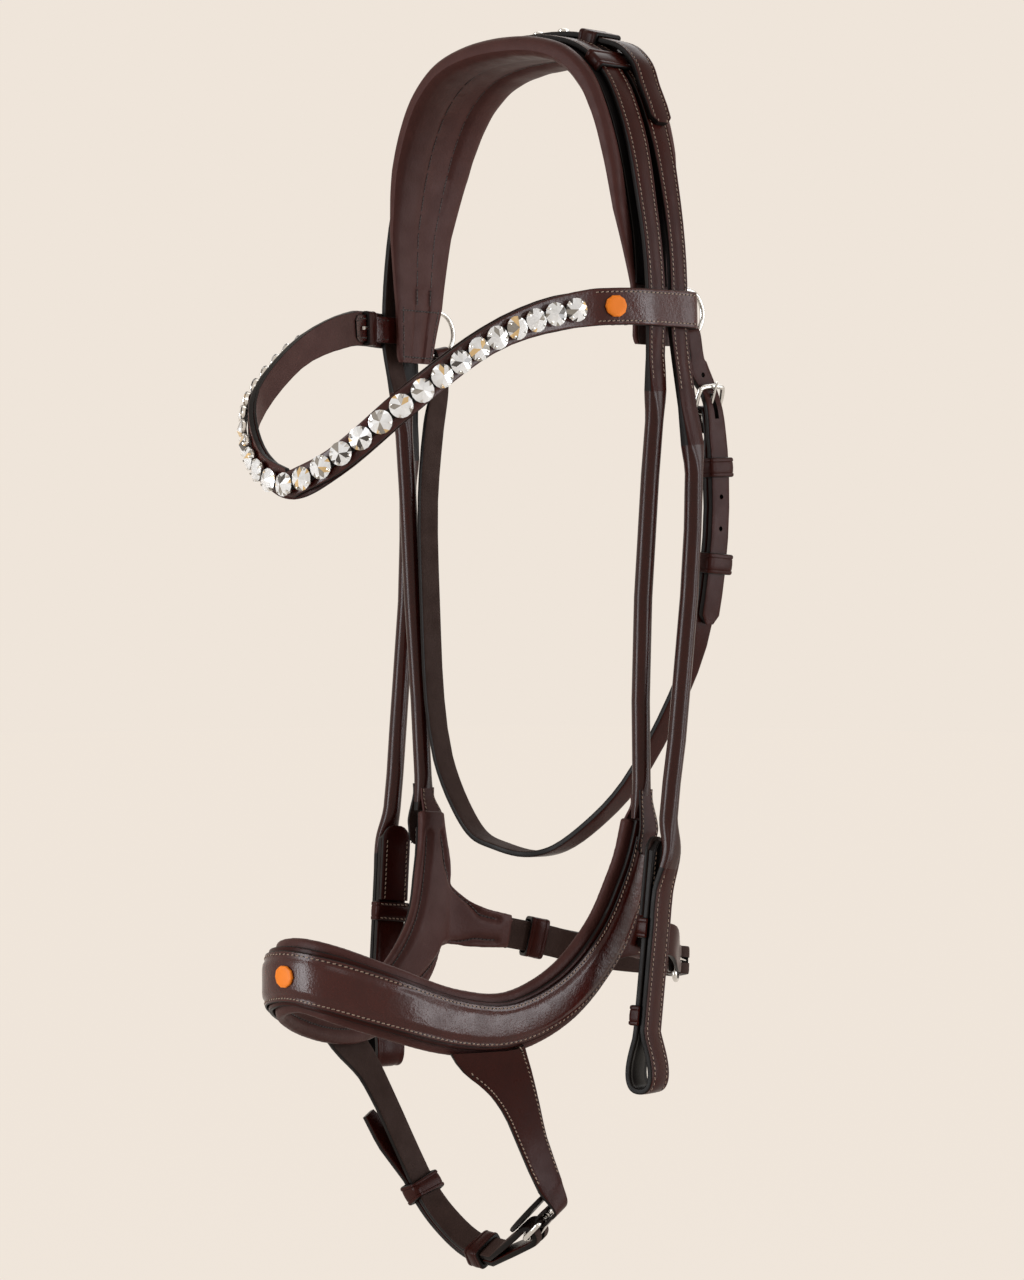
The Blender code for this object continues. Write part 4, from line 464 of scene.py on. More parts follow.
def place(shares):
    """A point from its shares of the head's half width, the nose reach and the cheek drop.

    Depths are counted from the browband's level, so that what hangs below it follows it.
    """
    x_share, y_share, z_share = shares
    below_band = (z_share - BAND_DEPTH_SHARE) / (1 - BAND_DEPTH_SHARE)
    depth = BROWBAND_DROP + below_band * (CHEEK_DROP - BROWBAND_DROP)
    return np.array((x_share * HEAD_HALF_WIDTH, y_share * NOSE_REACH, -depth))


def key(point, across, width, thickness=STRAP_THICKNESS, roundness=STRAP_SHARE):
    """One row of a route: a place, the direction of the width, and the section there."""
    return np.concatenate((point, across, (width, thickness, roundness)))


class Smooth:
    """Smooth curve through rows of numbers whose first three are a place."""

    def __init__(self, rows, closed=False):
        self.rows = np.asarray(rows, float)
        following = np.roll(self.rows, -1, axis=0)
        chords = np.linalg.norm((following - self.rows)[:, :3], axis=1)
        self.steps = np.sqrt(chords)
        slopes = (following - self.rows) / self.steps[:, None]
        slopes_before, steps_before = np.roll(slopes, 1, axis=0), np.roll(self.steps, 1)
        weighted = slopes_before * self.steps[:, None] + slopes * steps_before[:, None]
        self.tangents = weighted / (self.steps + steps_before)[:, None]
        if not closed:
            self.tangents[0], self.tangents[-1] = slopes[0], slopes[-2]
        self.spans = len(self.rows) if closed else len(self.rows) - 1

    def at(self, span, share):
        """Value and slope at a share of one span."""
        after = (span + 1) % len(self.rows)
        start, end = self.rows[span], self.rows[after]
        rise, fall = (self.tangents[i] * self.steps[span] for i in (span, after))
        square, cube = share ** 2, share ** 3
        value = (
            (2 * cube - 3 * square + 1) * start + (cube - 2 * square + share) * rise
            + (3 * square - 2 * cube) * end + (cube - square) * fall
        )
        slope = (
            6 * (square - share) * (start - end) + (3 * square - 4 * share + 1) * rise
            + (3 * square - 2 * share) * fall
        )
        return value, slope

    def station(self, span, share):
        value, slope = self.at(span, share)
        along = unit(slope[:3])
        across = square_to(value[3:6], along)
        return Station(value[:3], along, across, np.cross(along, across), *value[6:9])


def turn_between(first, second):
    return math.acos(max(-1.0, min(1.0, float(np.dot(first, second)))))


def stations(keys, closed=False, bend=BEND_STEP):
    """Sections along a smooth route, closer together where it turns or changes."""
    curve = Smooth(keys, closed)
    result = []
    for span in range(curve.spans):
        trial = [curve.station(span, i / TRIAL_STEPS) for i in range(TRIAL_STEPS + 1)]
        bends = sum(turn_between(a.along, b.along) for a, b in zip(trial, trial[1:]))
        twists = sum(turn_between(a.across, b.across) for a, b in zip(trial, trial[1:]))
        first, last = trial[0], trial[-1]
        reshaping = 4 * abs(first.roundness - last.roundness) + 3 * abs(math.log(first.width / last.width))
        pieces = max(1, math.ceil(max(bends, twists) / bend), math.ceil(reshaping))
        result += [curve.station(span, i / pieces) for i in range(pieces)]
    if not closed:
        result.append(curve.station(curve.spans - 1, 1))
    return result


def row_of(section):
    return key(section.centre, section.across, section.width, section.thickness, section.roundness)


def moved(sections, by):
    """The same stretch moved outwards by a distance."""
    return [s._replace(centre=s.centre + s.out * by) for s in sections]


def turned_back(sections, by):
    """The same stretch run the other way, as a strap does after a turn."""
    return [s._replace(centre=s.centre + s.out * by, along=-s.along, out=-s.out) for s in sections[::-1]]


def inward(sections):
    """The same stretch with its outside turned in."""
    return [s._replace(out=-s.out) for s in sections]


def run_along(places):
    """Distance along a row of places to each of them."""
    return np.concatenate(([0], np.cumsum(np.linalg.norm(np.diff(places, axis=0), axis=1))))


def run_of(sections):
    return run_along(np.array([s.centre for s in sections]))


def at_distance(sections, distance):
    """Section between two stations at a distance along them."""
    run = run_of(sections)
    i = int(np.clip(np.searchsorted(run, distance) - 1, 0, len(run) - 2))
    blend = (distance - run[i]) / (run[i + 1] - run[i])
    values = [a + (b - a) * blend for a, b in zip(sections[i], sections[i + 1])]
    along = unit(values[1])
    across = square_to(values[2], along)
    return Station(values[0], along, across, np.cross(along, across), *values[4:])


def stretch(sections, start, end):
    """Part of a route between two distances, with the stations that lie between."""
    margin = KEEPER_LENGTH / TRIAL_STEPS
    between = [s for s, d in zip(sections, run_of(sections)) if start + margin < d < end - margin]
    return [at_distance(sections, start)] + between + [at_distance(sections, end)]


def distance_to(sections, point):
    """Distance along a route to the place nearest to a point."""
    run = run_of(sections)
    best, result = None, 0.0
    for i, (first, second) in enumerate(zip(sections, sections[1:])):
        chord = second.centre - first.centre
        share = min(1.0, max(0.0, float(np.dot(point - first.centre, chord) / np.dot(chord, chord))))
        off = np.linalg.norm(first.centre + chord * share - point)
        if best is None or off < best:
            best, result = off, run[i] + share * (run[i + 1] - run[i])
    return result


def round_about(sections, point, length):
    """Stretch of a given length whose middle is the place nearest to a point."""
    middle = distance_to(sections, point)
    return stretch(sections, middle - length / 2, middle + length / 2)


def bent(points, across, width, thickness=STRAP_THICKNESS):
    """Stations at given places, each square to the way between its neighbours."""
    result = []
    for i, point in enumerate(points):
        along = unit(points[min(i + 1, len(points) - 1)] - points[max(i - 1, 0)])
        flat = square_to(across, along)
        result.append(Station(point, along, flat, np.cross(along, flat), width, thickness, STRAP_SHARE))
    return result


def outline(width, thickness, roundness, count=8):
    """Closed section between a rounded rectangle and an ellipse."""
    points = []
    for i in range(count):
        angle = (i + 0.5) * math.tau / count
        sideways, outward = math.cos(angle), math.sin(angle)
        points.append((
            math.copysign(abs(sideways) ** roundness, sideways) * width / 2,
            math.copysign(abs(outward) ** roundness, outward) * thickness / 2,
        ))
    return points


def ring_of(section, points, shift=0.0, side=1):
    """Drawn points put where a section lies, mirrored for the right side."""
    return [
        (section.centre + section.across * a + section.out * (b + shift)) * (side, 1, 1) for a, b in points
    ]


# Colours and finishes
def linear(code):
    """Linear colour of an sRGB hex code."""
    values = [int(code[i:i + 2], 16) / 255 for i in (1, 3, 5)]
    return [v / 12.92 if v <= 0.04045 else ((v + 0.055) / 1.055) ** 2.4 for v in values]


def colour(name, description, code):
    """A colour that the user can change, given as hex."""
    return FloatVectorProperty(
        name=name, description=description, subtype="COLOR", size=3, min=0, max=1, default=linear(code),
    )


def length(name, description, size):
    """A length that the user can change."""
    return FloatProperty(
        name=name, description=description, default=size, min=size / 4, max=size * 4, unit="LENGTH",
        precision=5,
    )


class BridleColours(PropertyGroup):
    """Colours of the finishes"""
    strap: colour("Strap leather", "Curried hide of the flat straps", "#30100b")
    facing: colour("Noseband leather", "Polished hide over the raised noseband", "#3a120d")
    rolled: colour("Rolled leather", "Hide rolled round a cord", "#2d100b")
    lining: colour("Lining leather", "Soft leather of the pads", "#40221e")
    suede: colour("Split leather", "Black lining under the crown straps", "#0e0b0b")
    edge: colour("Leather edges", "Dyed and burnished cut edges", "#0d0807")
    flesh: colour("Flesh side", "Inside of the straps", "#32221d")
    orange: colour("Discs", "Orange dyed discs on browband and noseband", "#f4821f")
    thread: colour("Thread", "Waxed linen thread", "#97806f")
    dark_thread: colour("Dark thread", "Thread of the pads' seams", "#2a1b17")
    steel: colour("Steel", "Polished stainless steel of buckles and rings", "#cac8c4")
    silver: colour("Cups", "Silver plate of the stones' cups", "#d8d5cf")
    ground: colour("Ground", "Floor and backdrop", "#efe5da")


class BridleSizes(PropertyGroup):
    """Sizes of what the finishes show"""
    stitch_pitch: length("Stitch", "From one stitch to the next", 0.0019)
    thread_width: length("Thread width", "Width of one thread", 0.0005)
    grain: length("Grain", "Width of one cell of the leather's grain", 0.0006)
    polish_marks: length("Polishing marks", "Spacing of the marks in the steel", 0.0009)
    floor_drop: length("Floor below poll", "Height of the poll above the floor", 0.9)


def colours():
    return bpy.context.scene.bridle_colours


def sizes():
    return bpy.context.scene.bridle_sizes


def add_node(tree, kind, inputs=None, **settings):
    """One node with its settings. An input is a value or another node's output."""
    made = tree.nodes.new(kind)
    for name, value in settings.items():
        setattr(made, name, value)
    for name, value in (inputs or {}).items():
        if isinstance(value, bpy.types.NodeSocket):
            tree.links.new(value, made.inputs[name])
        else:
            made.inputs[name].default_value = value
    return made


def new_material(name, tint, **values):
    """Material with its shader's own sockets set."""
    made = bpy.data.materials.new(name)
    made.use_nodes = True
    shader = made.node_tree.nodes["Principled BSDF"]
    shader.inputs["Base Color"].default_value = (*tint, 1)
    for socket, value in values.items():
        shader.inputs[socket.replace("_", " ")].default_value = value
    made.diffuse_color = (*tint, 1)
    return made, made.node_tree, shader


def on_piece(tree):
    """Place on the piece itself, so that a pattern moves with it."""
    return add_node(tree, "ShaderNodeTexCoord").outputs["Object"]


def clouds(tree, size, detail):
    """Cloudy pattern of patches of one size."""
    return add_node(tree, "ShaderNodeTexNoise", {
        "Vector": on_piece(tree), "Scale": 1 / size, "Detail": detail,
    }).outputs["Fac"]


def uneven(tree, shader, tint, pattern, shares, rough, spread):
    """Colour between two shares of its tint, and gloss about its mean, both along one pattern."""
    dark, light = ((*(min(1, v * share) for v in tint), 1) for share in shares)
    mixed = add_node(tree, "ShaderNodeMix", {0: pattern, 6: dark, 7: light}, data_type="RGBA")
    tree.links.new(mixed.outputs[2], shader.inputs["Base Color"])
    polish = add_node(tree, "ShaderNodeMapRange", {
        "Value": pattern, "From Min": 0.3, "From Max": 0.7, "To Min": rough + spread, "To Max": rough - spread,
    })
    tree.links.new(polish.outputs["Result"], shader.inputs["Roughness"])


def leather(name, tint, rough, grain_share=1.0, relief_share=0.05, deep=0.62, gloss=0.2, coat=0.0, wave=0.0):
    """Hide with uneven dye, a grain of small cells, and slow waves where it was drawn over padding."""
    made, tree, shader = new_material(
        name, tint, Specular_IOR_Level=gloss, Coat_Weight=coat, Coat_Roughness=COAT_ROUGHNESS,
    )
    uneven(tree, shader, tint, clouds(tree, DYE_PATCH, 5.0), (deep, 2 - deep), rough, 0.06)
    grain = sizes().grain * grain_share
    cells = add_node(tree, "ShaderNodeTexVoronoi", {
        "Vector": on_piece(tree), "Scale": 1 / grain,
    }, feature="SMOOTH_F1")
    bump = add_node(tree, "ShaderNodeBump", {
        "Height": cells.outputs["Distance"], "Distance": grain * relief_share,
    })
    if wave:
        bump = add_node(tree, "ShaderNodeBump", {
            "Height": clouds(tree, WAVE_LENGTH, 2.0), "Distance": wave, "Normal": bump.outputs["Normal"],
        })
    tree.links.new(bump.outputs["Normal"], shader.inputs["Normal"])
    return made


def thread(name, tint):
    """Waxed thread whose plies show as light and dark."""
    made, tree, shader = new_material(name, tint, Sheen_Weight=0.15)
    uneven(tree, shader, tint, clouds(tree, sizes().thread_width, 1.0), (0.5, 1.3), 0.55, 0.08)
    return made


def metal(name, tint, rough):
    """Bare metal with fine polishing marks in its gloss."""
    made, tree, shader = new_material(name, tint, Metallic=1.0)
    uneven(tree, shader, tint, clouds(tree, sizes().polish_marks, 3.0), (0.9, 1.06), rough, rough * 0.45)
    return made


def painted_reflection_facet(name, tint):
    """Facet of a foiled glass stone whose fixed tint is a painted reflection, lighter and darker in patches across
    the stone.
    """
    made, tree, shader = new_material(name, tint, Metallic=0.25, IOR=1.6, Coat_Weight=1.0, Coat_Roughness=0.03)
    uneven(tree, shader, tint, clouds(tree, CRYSTAL_RADIUS, 2.0), (0.7, 1.25), 0.12, 0.04)
    return made


MAKERS = {
    # Drum-dyed, curried cowhide: deep brown, with a waxy gloss that breaks up on the grain
    "curried_strap_leather": lambda c, n: leather(n, c.strap, 0.32, gloss=0.1, wave=0.00006),
    # The same hide plated and polished over the raised noseband: long soft highlights
    "polished_noseband_leather": lambda c, n: leather(
        n, c.facing, 0.27, 1.3, 0.07, gloss=0.28, coat=0.08, wave=0.0002,
    ),
    # Hide rolled round a cord: tight, smooth and glossy
    "hide_rolled_on_cord": lambda c, n: leather(n, c.rolled, 0.26, 0.5, 0.02, gloss=0.22, wave=0.00003),
    # Soft full-grain leather over foam: matt, with a wider grain
    "soft_lining_leather": lambda c, n: leather(
        n, c.lining, 0.5, 1.5, 0.08, deep=0.75, gloss=0.16, wave=0.00014,
    ),
    # Split leather dyed black: no gloss at all
    "black_split_leather": lambda c, n: leather(n, c.suede, 0.88, 0.8, 0.1, deep=0.7, gloss=0.06),
    # Cut edge, dyed nearly black and burnished: a thin dark line beside the grain
    "burnished_edge": lambda c, n: leather(n, c.edge, 0.45, 0.7, 0.04, gloss=0.14),
    # Flesh side of the hide, pasted down: grey brown and dull
    "pasted_flesh_side": lambda c, n: leather(n, c.flesh, 0.7, 0.9, 0.12, deep=0.7, gloss=0.14),
    # Vegetable-tanned disc dyed orange: satin
    "orange_dyed_leather": lambda c, n: leather(n, c.orange, 0.5, 0.8, 0.05, deep=0.9, gloss=0.25),
    # Waxed linen, a little lighter than the straps
    "waxed_thread": lambda c, n: thread(n, c.thread),
    # The same thread dyed dark for the pads' seams
    "dark_waxed_thread": lambda c, n: thread(n, c.dark_thread),
    # Stainless steel, drawn to wire, bent and polished: bright, with soft edges to the reflections
    "polished_stainless_steel": lambda c, n: metal(n, c.steel, 0.17),
    # Silver-plated brass cup: bright and a little warm
    "silver_plate": lambda c, n: metal(n, c.silver, 0.22),
}
CURRIED, EDGE, FLESH = "curried_strap_leather", "burnished_edge", "pasted_flesh_side"
CORD = "hide_rolled_on_cord"
POLISHED, SOFT, SPLIT = "polished_noseband_leather", "soft_lining_leather", "black_split_leather"
# Surface, cut edge and flesh side of each finish, its rolled parts where it has any, and its slot
FINISHES = {
    "bridle leather": (CURRIED, EDGE, FLESH, CORD, "bridle_leather"),
    "backed leather": (CURRIED, EDGE, SOFT, "bridle_leather"),
    "polished leather": (POLISHED, EDGE, SOFT, "bridle_leather"),
    "black backed leather": (CURRIED, EDGE, EDGE, CORD, "bridle_leather"),
    "noseband leather": (POLISHED, EDGE, EDGE, "bridle_leather"),
    "dark leather": (EDGE, EDGE, EDGE, "bridle_leather"),
    "soft lining leather": (SOFT, SOFT, SOFT, "lining_leather"),
    "suede lining": (SPLIT, EDGE, SPLIT, "suede"),
    "orange leather": (*["orange_dyed_leather"] * 3, "orange_leather"),
    "polished steel": (*["polished_stainless_steel"] * 3, "steel"),
    "crystal in silver cups": ("silver_plate", EDGE, "silver_plate", "crystal"),
    "thread": ("waxed_thread", EDGE, "waxed_thread", "bridle_leather"),
    "dark thread": ("dark_waxed_thread", EDGE, "dark_waxed_thread", "lining_leather"),
}


def material(name):
    """A finish's material, made when it is first needed."""
    return bpy.data.materials.get(name) or MAKERS[name](colours(), name)


# Pieces
ROUTES = {}


def body_of(node):
    return next(body for body, nodes in BODIES.items() if node in nodes)


def seated(piece, node, replaced=True):
    """The piece rides with its solid's body and stands for it."""
    if replaced:
        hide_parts(node)
    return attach(piece, body_of(node))


def new_object(name, data):
    made = bpy.data.objects.new(name, data)
    bpy.context.scene.collection.objects.link(made)
    return made


def smoothed(data):
    """Round shading with the sharp edges kept."""
    data.shade_smooth()
    data.set_sharp_from_angle(angle=SHARP)


def new_piece(name, mesh, finish_name):
    """Object from a mesh, smooth, with its sharp edges kept and its faces turned outwards."""
    bmesh.ops.recalc_face_normals(mesh, faces=mesh.faces)
    data = bpy.data.meshes.new(name)
    mesh.to_mesh(data)
    mesh.free()
    for kind in FINISHES[finish_name][:-1]:
        data.materials.append(material(kind))
    smoothed(data)
    return new_object(name, data)


def finish(name, finish_name, mesh):
    """A finished piece in place of its solid, or a cutter where no solid has the name."""
    if name not in frame["nodes"]:
        return new_piece(name, mesh, finish_name)
    return seated(new_piece(name + "_finished", mesh, finish_name), name)


def extra(name, node, finish_name, mesh):
    """A piece beside the solids, riding with one of them."""
    return seated(new_piece(name, mesh, finish_name), node, False)


def skin(mesh, rings, closed=False, part_at=None):
    """Faces from each ring to the next, in the parts that part_at gives them."""
    rows = [[mesh.verts.new(point) for point in ring] for ring in rings]
    pairs = list(zip(rows, rows[1:])) + ([(rows[-1], rows[0])] if closed else [])
    for row, (first, second) in enumerate(pairs):
        for i in range(len(first)):
            j = (i + 1) % len(first)
            face = mesh.faces.new((first[i], first[j], second[j], second[i]))
            if part_at:
                face.material_index = part_at(row, i)
    return rows


def cap(mesh, rows, part=SURFACE_PART):
    """Close both ends of a skin."""
    for row in (rows[0], rows[-1]):
        mesh.faces.new(row).material_index = part


def loft(name, finish_name, sections, count=SECTION_POINTS, closed=False, shift=0.0, side=1, shape=outline,
         node=None):
    """Strap with painted edges and its own flesh side, one section at each station."""
    mesh = bmesh.new()
    rolled_part = ROLLED_PART if len(FINISHES[finish_name]) > ROLLED_PART + 1 else SURFACE_PART
    rings = [ring_of(s, shape(s.width, s.thickness, s.roundness, count), shift, side) for s in sections]

    def part_at(row, i):
        """Surface above, painted edge at the sides, flesh side below."""
        rise = math.sin((i + 1) * math.tau / count)
        if sections[row].roundness >= ROLLED_FROM_SHARE:
            return rolled_part
        return EDGE_PART if abs(rise) < EDGE_ANGLE_SINE else SURFACE_PART if rise > 0 else FLESH_PART

    rows = skin(mesh, rings, closed, part_at)
    if not closed:
        cap(mesh, rows, EDGE_PART)
    ROUTES[name] = (sections, shift, side)
    return extra(name, node, finish_name, mesh) if node else finish(name, finish_name, mesh)


def sew(name, node, feet, finish_name="thread"):
    """One short slanting thread at each foot, sunk into the leather at both ends, and after it a dark dot just
    proud of the leather, painted shade of the awl hole.
    """
    mesh = bmesh.new()
    pitch, width = sizes().stitch_pitch, sizes().thread_width
    turns = [math.tau * i / THREAD_SIDES for i in range(THREAD_SIDES)]
    corners = [(math.cos(turn), math.sin(turn)) for turn in turns]
    for point, along, across, out in feet:
        run, aside = along + across * STITCH_SLANT, across - along * STITCH_SLANT
        rings = []
        for reach, size, rise in THREAD_RINGS:
            middle = point + run * (pitch * reach) + out * (rise * width)
            rings.append([
                middle + aside * (a * width / 2 * size) + out * (b * width * THREAD_RISE * size)
                for a, b in corners
            ])
        # Dark plug in the edges' colour: painted shade of the awl hole
        hole = point + along * (pitch / 2)
        walls = [
            [hole + along * (a * HOLE_SHADE_RADIUS) + across * (b * HOLE_SHADE_RADIUS) + out * rise for a, b in corners]
            for rise in (-HOLE_SHADE_RADIUS, HOLE_SHADE_RISE)
        ]
        for group, part in ((rings, SURFACE_PART), (walls, EDGE_PART)):
            cap(mesh, skin(mesh, group, part_at=lambda row, i: part), part)
    extra(name, node, finish_name, mesh)


def creased(width, thickness, roundness, count):
    """Section of a stitched strap, pressed down along its two seams so that its middle stands up."""
    points = []
    for sideways, outward in outline(width, thickness, roundness, count):
        if roundness < SOFT_SHARE:
            from_seam = (abs(sideways) * 2 / width - SEAM_SHARE) / SEAM_SPREAD
            outward -= math.copysign(SEAM_DEPTH * math.exp(-from_seam ** 2), outward)
        points.append((sideways, outward))
    return points


def height_at(section, share, shape=None):
    """Height of a section's face above its middle, at a share of its half width."""
    if shape:
        points = shape(section.width, section.thickness, section.roundness, FINE_POINTS)
        sideways, rises = zip(*sorted(p for p in points if p[1] > 0))
        return float(np.interp(share * section.width / 2, sideways, rises))
    cosine = abs(share) ** (1 / section.roundness)
    return math.sqrt(1 - cosine ** 2) ** section.roundness * section.thickness / 2


def stitch(node, label, rows, spans=((0, 1),), kept=None, facing=1, shape=None, on=None, finish_name="thread"):
    """Rows of stitches on a strap's face: rows in shares of the half width, spans in shares of its run."""
    sections, shift, side = ROUTES[on or node]
    mirror = np.array((side, 1, 1))
    total, pitch = run_of(sections)[-1], sizes().stitch_pitch
    feet = []
    for start, end in spans:
        for i in range(int((end - start) * total / pitch)):
            here = at_distance(sections, start * total + (i + 0.5) * pitch)
            if kept and not kept(here):
                continue
            for share in rows:
                rise = height_at(here, share, shape) * facing + shift
                point = here.centre + here.across * share * here.width / 2 + here.out * rise
                feet.append([v * mirror for v in (point, here.along, here.across, here.out * facing)])
    sew(node + "_" + label, node, feet, finish_name)


def sleeve(name, finish_name, sections, inner_width, inner_thickness, wall, count=SECTION_POINTS,
           roundness=STRAP_SHARE):
    """Band round a strap with its rims eased."""
    mesh = bmesh.new()
    total = run_of(sections)[-1]
    sections = [at_distance(sections, total * share) for share, _ in RIM]
    walls = []
    for is_outer in (True, False):
        rings = []
        for s, (_, fullness) in zip(sections, RIM):
            grow = wall * fullness * 2 if is_outer else 0.0
            rings.append(ring_of(s, outline(inner_width + grow, inner_thickness + grow, roundness, count)))
        walls.append(skin(mesh, rings, part_at=lambda row, i: rim_part(row, is_outer)))
    for end in (0, -1):
        outer_row, inner_row = walls[0][end], walls[1][end]
        for i in range(count):
            j = (i + 1) % count
            face = mesh.faces.new((outer_row[i], outer_row[j], inner_row[j], inner_row[i]))
            face.material_index = EDGE_PART
    return finish(name, finish_name, mesh)


def rim_part(row, is_outer):
    """A keeper shows its surface outside between its rims, and its cut edge elsewhere."""
    return SURFACE_PART if is_outer and 0 < row < len(RIM) - 2 else EDGE_PART


def turned(name, centre, axis, profile, sides=ROUND_SIDES, side=1):
    """Steel turned to a profile of radii and heights along an axis."""
    mesh = bmesh.new()
    turn_on(mesh, centre, axis, profile, sides, side)
    return finish(name, "polished steel", mesh)


def turn_on(mesh, centre, axis, profile, sides=ROUND_SIDES, side=1, sideways=None):
    """Adds a solid of revolution to a mesh."""
    axis = unit(axis)
    if sideways is None:
        sideways = unit(np.cross(axis, BACK if abs(axis[1]) < abs(axis[2]) + abs(axis[0]) else UP))
    other = np.cross(axis, sideways)
    spokes = [
        sideways * math.cos(math.tau * i / sides) + other * math.sin(math.tau * i / sides) for i in range(sides)
    ]
    cap(mesh, skin(mesh, [
        [(centre + axis * height + spoke * radius) * (side, 1, 1) for spoke in spokes] for radius, height in profile
    ]))


def rounded(width, top, corner, foot, steps=5):
    """Open profile of a keeper: up one side, over the top with round corners, and down the other."""
    points = [(-width, foot)]
    for centre, start in (((-width + corner, top - corner), 180), ((width - corner, top - corner), 90)):
        for i in range(steps):
            angle = math.radians(start - 90 * i / (steps - 1))
            points.append((centre[0] + math.cos(angle) * corner, centre[1] + math.sin(angle) * corner))
    return points + [(width, foot)]


def bridge(name, sections, half_width, height, foot=0.0, middle=0.0, side=1):
    """Keeper open on one side: two feet on a strap and a rounded top over what runs through it."""
    mesh = bmesh.new()
    total = run_of(sections)[-1]
    rings = []
    for share, fullness in RIM:
        s = at_distance(sections, total * share)
        s = s._replace(out=s.out * math.copysign(1, np.dot(s.out, sections[0].out)))
        wall = KEEPER_WALL * fullness
        inner = rounded(half_width, height, KEEPER_WALL * 0.4, foot)
        outer = rounded(half_width + wall, height + wall, KEEPER_WALL * 1.2, foot)
        rings.append(ring_of(s, [(middle + a, b) for a, b in inner + outer[::-1]], side=side))
    half = len(rings[0]) // 2
    cap(mesh, skin(mesh, rings, part_at=lambda row, i: rim_part(row, i >= half)), EDGE_PART)
    finish(name, "bridle leather", mesh)


def applied(piece):
    """The outcome of a piece's modifiers in place of its mesh."""
    bpy.context.view_layer.update()
    data = bpy.data.meshes.new_from_object(piece.evaluated_get(bpy.context.evaluated_depsgraph_get()))
    piece.modifiers.clear()
    piece.data = data


def boolean(piece, tool, operation="DIFFERENCE"):
    """Cut or join for good, with dyed walls in each cut, and take the tool away."""
    if operation == "DIFFERENCE":
        for face in tool.data.polygons:
            face.material_index = EDGE_PART
    change = piece.modifiers.new(operation.lower(), "BOOLEAN")
    change.operation = operation
    change.solver = "EXACT"
    change.object = tool
    applied(piece)
    smoothed(piece.data)
    bpy.data.objects.remove(tool)


def join_meshes(name, pieces):
    """One object from several cutters, each still its own closed body."""
    mesh = bmesh.new()
    for piece in pieces:
        piece.data.transform(piece.matrix_basis)
        mesh.from_mesh(piece.data)
        bpy.data.objects.remove(piece)
    data = bpy.data.meshes.new(name)
    mesh.to_mesh(data)
    mesh.free()
    return new_object(name, data)


# The arch over the poll
def arch_samples():
    half = [(x * HEAD_HALF_WIDTH, -z * CROWN_DROP) for x, z in ARCH_SHARES]
    whole = [(-x, z) for x, z in half[:0:-1]] + half
    curve = Smooth([(x, 0, z) for x, z in whole])
    places, slopes = [], []
    for span in range(curve.spans):
        for i in range(TRIAL_STEPS):
            value, slope = curve.at(span, i / TRIAL_STEPS)
            places.append(value)
            slopes.append(unit(slope))
    value, slope = curve.at(curve.spans - 1, 1)
    places.append(value)
    slopes.append(unit(slope))
    places, slopes = np.array(places), np.array(slopes)
    run = run_along(places)
    return places, slopes, run / run[-1] * 2 - 1, run[-1] / 2


ARCH_PLACES, ARCH_SLOPES, ARCH_RUN, ARCH_HALF_LENGTH = arch_samples()


def seat(share):
    """Frame on the pad's underside, from -1 at the right flap over 0 at the poll to 1 at the left flap."""
    centre = np.array([np.interp(share, ARCH_RUN, ARCH_PLACES[:, i]) for i in range(3)])
    along = unit([np.interp(share, ARCH_RUN, ARCH_SLOPES[:, i]) for i in range(3)])
    turn = FLAP_TURN * share ** 2 * math.copysign(1, share)
    across = np.array((math.sin(turn), math.cos(turn), 0))
    across = square_to(across, along)
    return Station(centre, along, across, np.cross(along, across), 0, 0, 0)


def across_arch(table, share):
    places = [row[0] for row in table]
    return np.interp(abs(share), places, [row[1] for row in table]) * PAD_WIDTH


def from_seat(share, sideways, outward):
    here = seat(share)
    return here.centre + here.across * sideways + here.out * outward


def top_to_side(top, low, share):
    """Blend from a value on the poll to its value beside the browband."""
    return top + (low - top) * soft_step((abs(share) - SIDE_START_SHARE) / SIDE_BLEND_SHARE)


def arch_steps(first, last):
    """Places on one grid that every layer shares, so that the layers stay parallel."""
    return [i * ARCH_STEP_SHARE for i in range(round(first / ARCH_STEP_SHARE), round(last / ARCH_STEP_SHARE) + 1)]


LEFT_HALF = ARCH_RUN >= 0
BROWBAND_LEVEL_SHARE = float(np.interp(BROWBAND_DROP, -ARCH_PLACES[LEFT_HALF, 2], ARCH_RUN[LEFT_HALF]))
PAD_SHARES = arch_steps(-1, 1)


# Distances outwards from the pad's underside, layer by layer
BASE_ABOVE_PAD = GAP + BASE_THICKNESS / 2
BASE_TOP_LEVEL = PAD_THICKNESS + BASE_ABOVE_PAD
RING_LEVEL = FLAP_THICKNESS + 2 * GAP + TAB_THICKNESS + RING_WIRE / 2
TAB_OUT_LEVEL = RING_LEVEL + RING_WIRE / 2 + GAP + TAB_THICKNESS
BAND_INNER_LEVEL = TAB_OUT_LEVEL + 2 * GAP + BROWBAND_INNER_THICKNESS / 2
STRAP_TOP_LEVEL = PAD_THICKNESS + 2 * GAP + BASE_THICKNESS + STRAP_THICKNESS / 2
STRAP_SIDE_LEVEL = BAND_INNER_LEVEL + BROWBAND_INNER_THICKNESS / 2 + GAP + STRAP_THICKNESS / 2
UPPER_STRAP_LEVEL = STRAP_TOP_LEVEL + STRAP_THICKNESS + GAP
BAND_OUTER_LEVEL = STRAP_SIDE_LEVEL + STRAP_THICKNESS / 2 + GAP + BROWBAND_THICKNESS / 2
CROWN_KEEPER_HEIGHT = STRAP_TOP_LEVEL + STRAP_THICKNESS / 2 + KEEPER_PLAY
TAIL_OVER_KEEPER_LEVEL = CROWN_KEEPER_HEIGHT + KEEPER_WALL + 2 * KEEPER_PLAY + STRAP_THICKNESS / 2
DOUBLE_SPACING = STRAP_THICKNESS + GAP


def pad_level(share):
    return top_to_side(PAD_THICKNESS, FLAP_THICKNESS, share)


def strap_level(share):
    return top_to_side(STRAP_TOP_LEVEL, STRAP_SIDE_LEVEL, share)


